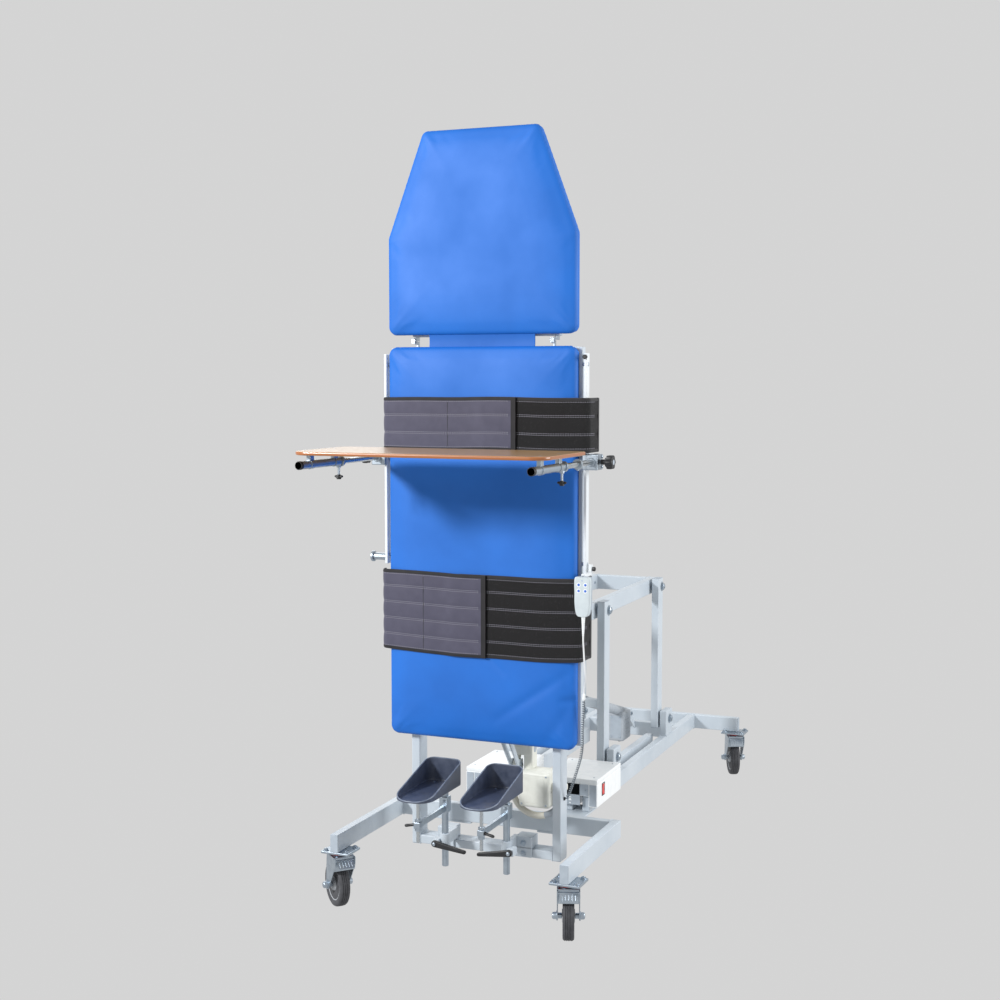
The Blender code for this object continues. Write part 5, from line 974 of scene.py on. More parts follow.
@dataclass
class ElectricBoxes:
  """The two moulded covers on the rails, with the switch."""

  inner: float = 0.05
  outer: float = 0.25
  front: float = 0.44
  rear: float = 0.705
  low: float = 0.2563
  top: float = 0.318
  skirt: float = 0.219
  rail_side: float = 0.2173

  def cover(self, side: int, name: str) -> None:
    """Make one cover, in a body and a lid.

    Args:
      side: 1 for the right and -1 for the left.
      name: The solid that it replaces.
    """
    shape = Shape(f"{name}_cover", "base")
    seam = self.top - 0.016
    parts = (((self.inner, self.front + 0.0004, self.low),
      (self.rail_side + 0.006, self.rear - 0.0004, seam - 0.0014)),
      ((self.inner + 0.0012, self.front + 0.0014, self.low + 0.01),
      (self.outer - 0.0012, self.rear - 0.0014, seam + 0.004)),
      ((self.inner, self.front, seam), (self.outer, self.rear, self.top)),
      ((self.rail_side, self.front, self.skirt), (self.outer, self.rear, seam - 0.0009)),)
    for low, high in parts:
      shape.half(side, low, high, COVER, 0.0035, 3)
    # Painted shade: thin grey plates over the cover's white front, where the table's shade falls
    for start, end, low in ((self.inner + 0.003, self.rail_side + 0.0002, self.low + 0.003),
        (self.inner + 0.0036, self.rail_side - 0.0312, self.skirt + 0.004),
        (self.rail_side + 0.0034, self.outer - 0.003, self.skirt + 0.004)):
      shape.half(side, (start, self.front - 0.0014, low), (end, self.front + 0.001, seam - 0.003), PANEL_AND_PAINTED_SHADE,
        0.0009)
    for x in (self.inner + 0.012, self.rail_side - 0.01):
      self.screw(shape, (side * x, self.front - 0.0014, 0.279), AHEAD)
    for y in (self.front + 0.03, self.rear - 0.03):
      for x in (self.inner + 0.022, self.outer - 0.022):
        self.screw(shape, (side * x, y, self.top), UP)
    # Painted shade: seven thin dark blocks on the rear stand for the shade inside the vent slots
    for i in range(7):
      x = self.inner + 0.052 + i * 0.012
      shape.half(side, (x, self.rear - 0.0008, 0.266), (x + 0.005, self.rear + 0.0004, 0.292), GROMMET_AND_PAINTED_SHADE, 0.0003)
    if side > 0:
      self.switch_frame(shape)
      shape.turned((0.15, 0.452, 0.2555), (0, -0.35, -1),
        mm(0, 0, 0, 11.5, 11, 11.5, 12, 9.5, 21, 9, 22, 5.5, 32, 4.2, 32, 0), COVER, 20)
    shape.finished([name])

  def screw(self, shape: Shape, place: Point, way: Point) -> None:
    """Add a pan-head screw with its recess."""
    shape.turned(place, way, mm(0, 0, 0, 3.6, 0.8, 3.4, 1.4, 2.2, 1.4, 0), ZINC, 14)
    # Painted shade: a dark disc in the head stands for the shade in the screw's recess
    shape.turned(Vector(place) + Vector(way).normalized() * 0.001, way, mm(0, 0, 0, 1.3, 0.6, 1.3, 0.6, 0),
      GROMMET_AND_PAINTED_SHADE, 6)

  def switch_frame(self, shape: Shape) -> None:
    """Frame the switch's opening with a bezel."""
    y, z, x = 0.505, 0.272, self.outer - 0.0006
    out = x + 0.0018
    for low, high in (((x, y - 0.015, z - 0.0225), (out, y + 0.015, z - 0.0192)),
        ((x, y - 0.015, z + 0.0192), (out, y + 0.015, z + 0.0225)),
        ((x, y - 0.015, z - 0.0225), (out, y - 0.0113, z + 0.0225)),
        ((x, y + 0.0113, z - 0.0225), (out, y + 0.015, z + 0.0225))):
      shape.box(low, high, BLACK, 0.0005)

  def switch(self) -> None:
    """Make the red rocker, dished between its two ends."""
    shape = Shape("power_switch_rocker", "power_rocker")
    z = 0.272
    shape.prism(((0.244, z - 0.0178), (0.252, z - 0.0178), (0.2514, z - 0.01), (0.25, z), (0.2514, z + 0.01),
      (0.252, z + 0.0178), (0.244, z + 0.0178)), Axis.Y, 0.4942, 0.0216, RED, 0.0008)
    shape.finished(["power_switch"], 25)

  def build(self) -> None:
    """Make both covers and the switch."""
    self.cover(1, "power_box")
    self.cover(-1, "battery_box")
    self.switch()


# ---- lift

def eye_lugs(shape: Shape, x: float, outline: Sequence[Point], place: Point) -> None:
  """Add two lugs with bosses beside an actuator's eye.

  Args:
    shape: The piece that they belong to.
    x: The eye's middle.
    outline: The lug's outline in Y and Z.
    place: The pin's middle in Y and Z.
  """
  for hand in (-1, 1):
    shape.prism(outline, Axis.X, x + hand * 0.0105, hand * 0.006, COAT, 0.0012)
    shape.across(x + hand * 0.0164, x + hand * 0.0174, place, 0.0125, COAT, 20, 0.0004)


@dataclass
class ParallelLift:
  """The four links and the upper frame."""

  inner: float = 0.15
  outer: float = 0.18
  low: float = 0.287
  high: float = 0.901
  pivots: tuple[float, float] = (0.765, 1.445)
  backset: float = 0.015
  pivot_high: float = 0.866
  frame_inner: float = 0.11
  frame_outer: float = 0.14
  frame_front: float = 0.12
  frame_rear: float = 1.505

  def link(self, shape: Shape, side: int, pivot: float) -> None:
    """Add one upright link with its foot gusset."""
    middle = pivot - self.backset
    front, rear = middle - 0.03, middle + 0.03
    shape.tube((self.inner, front, self.low), (self.outer, rear, self.high), ENDS_Z, side)
    foot = self.low + 0.002
    outline = ((rear - 0.001, foot), (rear + 0.034, foot), (rear + 0.034, foot + 0.012),
      (rear + 0.003, self.low + 0.205), (rear - 0.001, self.low + 0.205))
    shape.prism(outline, Axis.X, side * (self.inner + 0.012), side * 0.006, COAT, 0.0012)

  def links(self) -> None:
    """Make the front and rear links."""
    shape = Shape("front_links_weldment", "front_links")
    middle = self.pivots[0] - self.backset
    for side, _ in SIDES:
      self.link(shape, side, self.pivots[0])
      shape.weld(side, (self.inner, middle - 0.015, 0.505), (self.inner, middle + 0.015, 0.535), Axis.X)
    shape.tube((-self.inner - WELD_LAP, middle - 0.015, 0.505),
      (self.inner + WELD_LAP, middle + 0.015, 0.535))
    y, z = 0.825, 0.52
    eye_lugs(shape, 0.0, ((middle + 0.014, 0.51), (y + 0.008, z - 0.019), (y + 0.02, z - 0.01),
      (y + 0.02, z + 0.01), (y + 0.008, z + 0.019), (middle + 0.014, 0.53)), (y, z))
    self.pin(shape, 0.0, (y, z))
    shape.finished(["front_links"])
    shape = Shape("rear_links_pair", "rear_links")
    for side, _ in SIDES:
      self.link(shape, side, self.pivots[1])
    shape.finished(["rear_link_left", "rear_link_right"])

  def pin(self, shape: Shape, x: float, place: Point) -> None:
    """Add a clevis pin's two ends outside its lugs."""
    for hand in (-1, 1):
      shape.rod((x + hand * 0.0168, *place), (x + hand * 0.0206, *place), 0.008, ZINC, 20, 0.0008)

  def upper_frame(self) -> None:
    """Make the upper frame with its bolts and lugs."""
    shape = Shape("upper_frame_weldment", "upper_frame")
    low, high = self.pivot_high - 0.03, self.pivot_high + 0.03
    for side, _ in SIDES:
      shape.tube((self.frame_inner, self.frame_front, low), (self.frame_outer, self.frame_rear, high), ENDS_Y,
        side)
      for y in (0.315, 1.475):
        shape.weld(side, (self.frame_inner, y, low), (self.frame_inner, y + 0.03, high), Axis.X)
      for y in self.pivots:
        place = (y, self.pivot_high)
        shape.across(side * 0.139, side * 0.1497, place, 0.017, ZINC, 28)
        shape.across(side * 0.108, side * 0.182, place, 0.006, ZINC, 16)
        shape.bolt((side * 0.1803, *place), (side, 0, 0), 0.0135)
      shape.across(side * 0.1395, side * 0.144, (0.15, self.pivot_high), 0.016, BRASS, 28)
    for y in (0.315, 1.475):
      shape.tube((-self.frame_inner - WELD_LAP, y, low), (self.frame_inner + WELD_LAP, y + 0.03, high))
    y, z = 0.35, 0.77
    eye_lugs(shape, 0.065, ((0.316, low + 0.001), (y - 0.02, z - 0.012), (y - 0.01, z - 0.02),
      (y + 0.012, z - 0.02), (y + 0.02, z - 0.008), (y + 0.02, z + 0.02), (0.344, low + 0.001)), (y, z))
    self.pin(shape, 0.065, (y, z))
    shape.finished(["upper_frame"])

  def build(self) -> None:
    """Make the links and the upper frame."""
    self.links()
    self.upper_frame()


@dataclass
class LinearActuator:
  """A screw actuator: a tube with its eye and pin, and the ground rod."""

  name: str
  x: float
  foot: tuple[float, float]
  head: tuple[float, float]
  tube_end: float
  finish: Finish

  def run(self) -> tuple[Vector, Vector, Vector]:
    """Return the foot, the head and the direction."""
    foot, head = Vector((self.x, *self.foot)), Vector((self.x, *self.head))
    return foot, head, (head - foot).normalized()

  def tube(self, shape: Shape) -> None:
    """Add the tube, end ring, eye and pin."""
    foot, _, along = self.run()
    end = self.tube_end
    shape.turned(foot, along, ((0.0, 0.0), (0.0, 0.0095), (0.036, 0.0095), (0.036, 0.0185), (0.0375, 0.02),
      (end - 0.03, 0.02), (end - 0.0295, 0.0192), (end - 0.027, 0.0192), (end - 0.0265, 0.02),
      (end - 0.0015, 0.02), (end, 0.0185), (end, 0.0104)), self.finish, 32)
    shape.turned(foot, along, ((end - 0.001, 0.0104), (end - 0.001, 0.015), (end + 0.0016, 0.014),
      (end + 0.0022, 0.0104)), BLACK, 28)
    x, place = self.x, self.foot
    shape.across(x - 0.01, x + 0.01, place, 0.016, self.finish, 28, 0.0015)
    shape.across(x - 0.0205, x + 0.0205, place, 0.005, ZINC, 16)
    for hand in (-1, 1):
      shape.rod((x + hand * 0.0168, *place), (x + hand * 0.0205, *place), 0.008, ZINC, 20, 0.0008)

  def rod(self) -> None:
    """Make the rod with its forged eye."""
    foot, head, along = self.run()
    shape = Shape(f"{self.name}_rod_ground", f"{self.name}_rod")
    shape.rod(foot + along * 0.05, head - along * 0.01, 0.0098, BRIGHT, 28, 0.001)
    shape.turned(head - along * 0.026, along, mm(0, 0, 0, 10, 2, 12.5, 16, 12.5, 20, 10, 20, 0), ZINC, 6)
    shape.across(self.x - 0.01, self.x + 0.01, self.head, 0.014, ZINC, 28, 0.0015)
    shape.finished([f"{self.name}_rod"])


@dataclass
class LiftDrive(LinearActuator):
  """The lift actuator with its motor."""

  def build(self) -> None:
    """Make the motor, tube and rod."""
    shape = Shape("lift_motor_assembly", "lift_motor")
    self.tube(shape)
    shape.box((-0.035, 1.4, 0.215), (0.035, 1.5, 0.335), MOTOR, 0.01, 4)
    for z in (0.235, 0.255, 0.275, 0.295):
      for hand in (-1, 1):
        first, second = sorted((hand * 0.0345, hand * 0.0362))
        shape.box((first, 1.415, z), (second, 1.485, z + 0.008), MOTOR, 0.0007)
    shape.box((-0.024, 1.3988, 0.228), (0.024, 1.4008, 0.322), PANEL_AND_PAINTED_SHADE, 0.0009)
    for x, z in ((-0.019, 0.234), (0.019, 0.234), (-0.019, 0.316), (0.019, 0.316)):
      shape.rod((x, 1.3992, z), (x, 1.3972, z), 0.003, ZINC, 12, 0.0005)
    shape.turned((0.0, 1.452, 0.2155), DOWN, mm(0, 0, 0, 10, 4, 10, 5, 7, 12, 5.5, 12, 0), BLACK, 20)
    shape.finished(["lift_motor"])
    self.rod()


@dataclass
class TiltDrive(LinearActuator):
  """The tilt actuator with its cream motor and cable hose."""

  hose_x: float = 0.145
  hose_y: float = 0.135
  hose_z: float = 0.358
  loop: float = 0.088
  depth: float = 0.084
  hose_radius: float = 0.0115
  dark_from: float = 0.60     # share of the loop after which the dark hose goes on

  def housing(self) -> None:
    """Make the motor's housing, gear head, glands and tube."""
    shape = Shape("tilt_motor_assembly", "tilt_motor")
    self.tube(shape)
    shape.box((0.09, 0.1, 0.3), (0.2, 0.19, 0.4195), CREAM, 0.011, 4)
    shape.box((0.0888, 0.112, 0.352), (0.2012, 0.178, 0.3545), CREAM, 0.0009)
    shape.box((0.108, 0.0988, 0.316), (0.182, 0.1015, 0.404), CREAM, 0.0012)
    for x in (0.102, 0.188):
      for z in (0.312, 0.408):
        shape.rod((x, 0.101, z), (x, 0.0985, z), 0.0032, ZINC, 12, 0.0005)
    shape.box((0.0925, 0.1408, 0.405), (0.125, 0.1855, 0.5045), CREAM, 0.006, 3)
    shape.box((0.055, 0.14, 0.462), (0.121, 0.196, 0.5025), CREAM, 0.006, 3)
    shape.across(0.12, 0.126, (0.165, 0.484), 0.013, PANEL_AND_PAINTED_SHADE, 28, 0.0015)
    for hand, face in ((-1, 0.09), (1, 0.2)):
      end = self.hose_x + hand * self.loop
      near, far = sorted((face - hand * 0.005, end + hand * 0.016))
      shape.box((near, 0.119, 0.3592), (far, 0.151, 0.384), CREAM, 0.007, 3)
      shape.turned((end, self.hose_y, 0.3585), UP, mm(0, 0, 0, 13.5, 2, 15, 8, 15, 8, 0), CREAM, 24)
    shape.finished(["tilt_motor"])

  def hose(self) -> None:
    """Make the hose's loop, whose dark lining goes on past its sleeve."""
    arc = [Vector((self.hose_x - self.loop * cos(a), self.hose_y, self.hose_z - 0.008 - self.depth * sin(a)))
      for a in (pi * i / 60 for i in range(61))]
    line = smooth_route([arc[0] + Vector((0, 0, 0.008)), *arc[::2], arc[-1] + Vector((0, 0, 0.008))], 0.0011)
    shape = Shape("tilt_hose_loop", "tilt_motor")
    split = int(len(line) * self.dark_from)
    # Real corrugations are 3 mm apart, drawn 4.4 mm apart so that they show
    radii = [self.hose_radius - 0.0007 + 0.0007 * cos(i * tau / 4) for i in range(len(line))]
    shape.sweep(line[:split + 1], radii[:split + 1], SLEEVE, 20)
    shape.sweep(line[split:], [r * 0.97 for r in radii[split:]], MOTOR, 20)
    item = shape.finished(["actuator_hose"], 60)

  def build(self) -> None:
    """Make the housing, the hose and the rod."""
    self.housing()
    self.hose()
    self.rod()


# ---- table and head frames

@dataclass
class TableFrame:
  """The welded frame under the cushions, with the tilt shaft."""

  leg_inner: float = 0.237
  leg_outer: float = 0.267
  half: float = 0.335
  front: float = 0.03
  foot: float = 0.155
  top: float = 1.815
  hinge: tuple[float, float] = (0.012, 1.8365)

  def tubes(self, shape: Shape) -> None:
    """Lay out the tubes and welds."""
    y = self.front
    for side, _ in SIDES:
      shape.tube((self.leg_inner, y, self.foot), (self.leg_outer, y + 0.06, self.top), ((Axis.Z, -1),), side)
      shape.tube((self.half - 0.03, y, 0.545), (self.half, y + 0.03, self.top), ((Axis.Z, -1),), side)
      for z in (0.545, 1.23, self.top - 0.03):
        for x in (self.leg_outer, self.half - 0.03):
          shape.weld(side, (x, y, z), (x, y + 0.03, z + 0.03), Axis.X)
      shape.weld(side, (self.leg_inner, 0.06, 0.836), (self.leg_inner, 0.09, 0.896), Axis.X)
      shape.weld(side, (self.leg_inner, y, self.foot), (self.leg_inner, y + 0.06, 0.185), Axis.X)
    inside = self.leg_inner + WELD_LAP
    shape.tube((-inside, y, self.foot), (inside, y + 0.06, self.foot + 0.03))
    shape.tube((-inside, 0.06, 0.836), (inside, 0.09, 0.896))
    wide = self.half - 0.002
    for z in (0.545, 1.23, self.top - 0.03):
      shape.tube((-wide, y, z), (wide, y + 0.03, z + 0.03))

  def ears(self, shape: Shape) -> None:
    """Add the tilt, actuator and head hinge ears."""
    corners = ((0.089, 0.838), (0.178, 0.838), (0.178, 0.894), (0.089, 0.894))
    outline = rounded_outline(corners, (0.001, 0.024, 0.024, 0.001))
    hy, hz = self.hinge
    ear = ((hy - 0.0075, hz - 0.0075), (hy + 0.0075, hz - 0.0105), (hy + 0.0185, hz - 0.0105),
      (hy + 0.0185, self.top - 0.001), (hy + 0.03, self.top - 0.001), (hy + 0.03, hz - 0.001),
      (hy + 0.0075, hz - 0.001), (hy + 0.0075, hz + 0.0075), (hy - 0.0075, hz + 0.0075))
    for side, _ in SIDES:
      shape.prism(outline, Axis.X, side * 0.1445, side * 0.008, COAT, 0.0015)
      shape.weld(side, (0.1445, 0.09, 0.838), (0.1525, 0.09, 0.894), Axis.Y)
      shape.prism(ear, Axis.X, side * 0.236, side * 0.006, ZINC, 0.0008)
    y, z = 0.15, 0.43
    eye_lugs(shape, 0.065, ((0.031, 0.56), (0.031, 0.546), (y - 0.02, z - 0.012), (y - 0.01, z - 0.02),
      (y + 0.012, z - 0.02), (y + 0.02, z - 0.01), (y + 0.015, z + 0.016), (y - 0.02, z + 0.02),
      (0.059, 0.546), (0.059, 0.56)), (y, z))

  def build(self) -> None:
    """Make the frame and the tilt shaft."""
    shape = Shape("table_weldment", "table")
    self.tubes(shape)
    self.ears(shape)
    shape.finished(["table_frame"])
    shaft = Shape("tilt_shaft_with_washers", "table")
    place = (0.15, 0.866)
    shaft.across(-0.1555, 0.1555, place, 0.01, BRIGHT, 28)
    for side, _ in SIDES:
      shaft.across(side * 0.1528, side * 0.1548, place, 0.018, ZINC, 32, 0.0006)
      shaft.bolt((side * 0.1548, *place), (side, 0, 0), 0.013, False)
    shaft.finished(["tilt_shaft"])


@dataclass
class HeadFrame:
  """The head section's frame with its hinge arms."""

  inner: float = 0.15
  outer: float = 0.18
  bar: float = 0.255
  low: float = 1.85
  top: float = 2.4
  hinge: tuple[float, float] = (0.012, 1.8365)

  def build(self) -> None:
    """Make the frame."""
    shape = Shape("head_frame_weldment", "head_section")
    shape.tube((-self.bar, 0.03, self.low), (self.bar, 0.06, self.low + 0.03), ENDS_X)
    shape.tube((-self.outer + WELD_LAP, 0.03, self.top - 0.03), (self.outer - WELD_LAP, 0.06, self.top))
    hy, hz = self.hinge
    ear = ((hy - 0.0075, hz - 0.0075), (hy + 0.0075, hz - 0.0075), (hy + 0.0075, hz + 0.001),
      (hy + 0.045, hz + 0.001), (hy + 0.045, self.low + 0.015), (hy + 0.0185, self.low + 0.015),
      (hy + 0.0185, hz + 0.0105), (hy + 0.0075, hz + 0.0105), (hy - 0.0075, hz + 0.0075))
    for side, _ in SIDES:
      shape.tube((self.inner, 0.03, self.low + 0.002), (self.outer, 0.06, self.top), ((Axis.Z, 1),), side)
      shape.weld(side, (self.inner, 0.03, self.low + 0.03), (self.outer, 0.06, self.low + 0.03), Axis.Z)
      shape.prism(ear, Axis.X, side * 0.2425, side * 0.006, ZINC, 0.0008)
      shape.across(side * 0.233, side * 0.25, self.hinge, 0.003, ZINC, 16, 0.0005)
      shape.across(side * 0.2483, side * 0.2503, self.hinge, 0.0052, ZINC, 20, 0.0005)
      shape.across(side * 0.233, side * 0.235, self.hinge, 0.0052, ZINC, 20, 0.0005)
    shape.finished(["head_frame"])


# ---- upholstery

@dataclass
class Cushion:
  """A foam pad on a board, covered in tight vinyl."""

  name: str
  node: str
  body: str
  corners: tuple[Point, ...]
  radii: tuple[float, ...]
  voxel: float = 0.007
  back: float = 0.0297
  thick: float = 0.045
  crown: float = 0.01
  span: float = 0.16
  rounding: float = 0.019
  draw: float = 0.004
  creases: tuple[tuple[float, ...], ...] = ()
  shrink: float = 0.0030      # how far inside its final form the pad starts
  swell: float = 0.0034       # the furthest that a point may move

  def rings(self) -> list[list[Point]]:
    """Return the starting form's rings, from back to crown."""
    face = self.back - self.thick
    levels = [(self.draw + 0.004, self.back), (self.draw, self.back - 0.0035),
      (self.draw * 1.25, self.back - self.thick * 0.2), (self.draw * 0.5, self.back - self.thick * 0.45),
      (0.0, face + self.rounding)]
    for degrees in (15, 30, 45, 60, 75, 90):
      angle = radians(degrees)
      levels.append((self.rounding * (1 - cos(angle)), face + self.rounding * (1 - sin(angle))))
    for share in (0.12, 0.25, 0.4, 0.6, 0.8, 1.0):
      rise = self.crown * (1 - (1 - share) ** 2)
      levels.append((self.rounding + (self.span - self.rounding) * share, face - rise))
    made = []
    for inset, y in levels:
      ring = rounded_outline(self.corners, self.radii, inset + self.shrink, 8)
      forward = self.shrink * min(1.0, (self.back - y) / self.thick)
      made.append([(p.x, y + forward, p.y) for p in ring])
    return made

  def remeshed(self) -> Object:
    """Return the starting form in even small faces."""
    start = Shape(f"{self.name}_start", self.body)
    start.stack(self.rings(), VINYL)
    item = object_of(self.name, start.placed())
    even = item.modifiers.new("even_faces", 'REMESH')
    even.mode = 'VOXEL'
    even.voxel_size = self.voxel
    graph = bpy.context.evaluated_depsgraph_get()
    item.data = bpy.data.meshes.new_from_object(item.evaluated_get(graph))
    item.modifiers.clear()
    return item

  def inflate(self, item: Object) -> None:
    """Let the foam push the cover out, with the back held on its board.

    Args:
      item: The remeshed pad.
    """
    mesh = item.data
    rest = [v.co.copy() for v in mesh.vertices]
    held = item.vertex_groups.new(name="board")
    level = self.back + SHIFT.y - 0.006
    held.add([i for i, p in enumerate(rest) if p.y > level], 1.0, 'REPLACE')
    cloth = item.modifiers.new("cover", 'CLOTH')
    for name, value in {"quality": 4, "mass": 0.4, "tension_stiffness": 12.0, "bending_stiffness": 0.8,
        "compression_stiffness": 12.0, "vertex_group_mass": "board", "use_pressure": True,
        "uniform_pressure_force": 4.0}.items():
      setattr(cloth.settings, name, value)
    cloth.settings.effector_weights.gravity = 0.0
    cloth.point_cache.frame_start = 1
    cloth.point_cache.frame_end = 20
    for step in range(1, 21):
      bpy.context.scene.frame_set(step)
    graph = bpy.context.evaluated_depsgraph_get()
    blown = item.evaluated_get(graph).to_mesh()
    places = [v.co.copy() for v in blown.vertices]
    item.evaluated_get(graph).to_mesh_clear()
    item.modifiers.clear()
    bpy.context.scene.frame_set(1)
    for vertex, start, end in zip(mesh.vertices, rest, places):
      move = end - start
      if move.length > self.swell:
        move *= self.swell / move.length
      vertex.co = start + move
    item.vertex_groups.clear()

  def dress(self, item: Object) -> None:
    """Pull creases into the corners and the face, and add the finish.

    Args:
      item: The blown pad.
    """
    mesh = item.data
    hubs = [Vector((x + SHIFT.x, z)) for x, z in self.corners]
    middle = sum(hubs, Vector((0.0, 0.0))) / len(hubs)
    for vertex in mesh.vertices:
      place = Vector((vertex.co.x, vertex.co.z))
      depth = (self.back + SHIFT.y - vertex.co.y) / self.thick
      for hub in hubs:
        inner = hub + (middle - hub).normalized() * 0.045
        reach = (place - inner).length
        if reach < 0.075:
          angle = atan2(place.y - inner.y, place.x - inner.x)
          fade = exp(-((reach - 0.036) / 0.016) ** 2) * max(0.0, 1.0 - abs(depth - 0.55) * 1.6)
          fold = 0.0007 * fade * cos(angle * 17.0)
          away = (place - inner).normalized()
          vertex.co.x += away.x * fold
          vertex.co.z += away.y * fold
    for x1, z1, x2, z2, deep, wide in self.creases:
      start, end = Vector((x1 + SHIFT.x, z1)), Vector((x2 + SHIFT.x, z2))
      along = end - start
      for vertex in mesh.vertices:
        if vertex.co.y - SHIFT.y > 0.0:
          continue
        place = Vector((vertex.co.x, vertex.co.z))
        share = (place - start).dot(along) / along.length_squared
        if -0.1 < share < 1.1:
          off = (place - start - along * share).length / wide
          fade = max(0.0, 1.0 - (2.0 * share - 1.0) ** 2) ** 0.7
          vertex.co.y += deep * fade * exp(-off * off)
    for polygon in mesh.polygons:
      polygon.use_smooth = True
    mesh.materials.clear()
    mesh.materials.append(VINYL.material())
    finer = item.modifiers.new("finer", 'SUBSURF')
    finer.levels = finer.render_levels = 1

  def board(self) -> None:
    """Make the dust cloth stapled over the back."""
    shape = Shape(f"{self.name}_dust_cloth", self.body)
    inner = rounded_outline(self.corners, self.radii, 0.026, 6)
    shape.prism([(p.x, p.y) for p in inner], Axis.Y, self.back - 0.0004, 0.0006, BINDING, 0.0002)
    for start, end in zip(inner, [*inner[1:], inner[0]]):
      count = int((end - start).length / 0.034)
      for i in range(count):
        p = start.lerp(end, (i + 0.5) / count)
        out = (end - start).normalized() * 0.005
        low, high = p - out, p + out
        shape.rod((low.x, self.back + 0.0001, low.y), (high.x, self.back + 0.0001, high.y), 0.0005, ZINC, 6)
    shape.finished()

  def build(self) -> None:
    """Make the pad, its cover and its back."""
    item = self.remeshed()
    self.inflate(item)
    self.dress(item)
    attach(item, self.body)
    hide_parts(self.node)
    LOG.info("%s: %d faces before subdivision", self.name, len(item.data.polygons))
    self.board()


@dataclass
class GapFlap:
  """The vinyl flap over the gap."""

  left: float = -0.183
  right: float = 0.185
  low: float = 1.8135
  high: float = 1.8575
  front: float = 0.002
  thick: float = 0.0022

  def build(self) -> None:
    """Make the flap."""
    shape = Shape("gap_flap", "")
    rings = []
    for i in range(13):
      share = i / 12
      z = self.low + (self.high - self.low) * share
      dip = 0.0022 * sin(pi * share)
      y = self.front + dip
      rings.append([(self.left, y + self.thick, z), (self.left, y, z), (self.left + 0.004, y - 0.0006, z),
        (self.right - 0.004, y - 0.0006, z), (self.right, y, z), (self.right, y + self.thick, z)])
    # Painted shade: the flap's vinyl is darker than the pads', for the gap that it lies in
    shape.stack(rings, FLAP)
    item = shape.finished(angle=60)
    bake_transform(item)


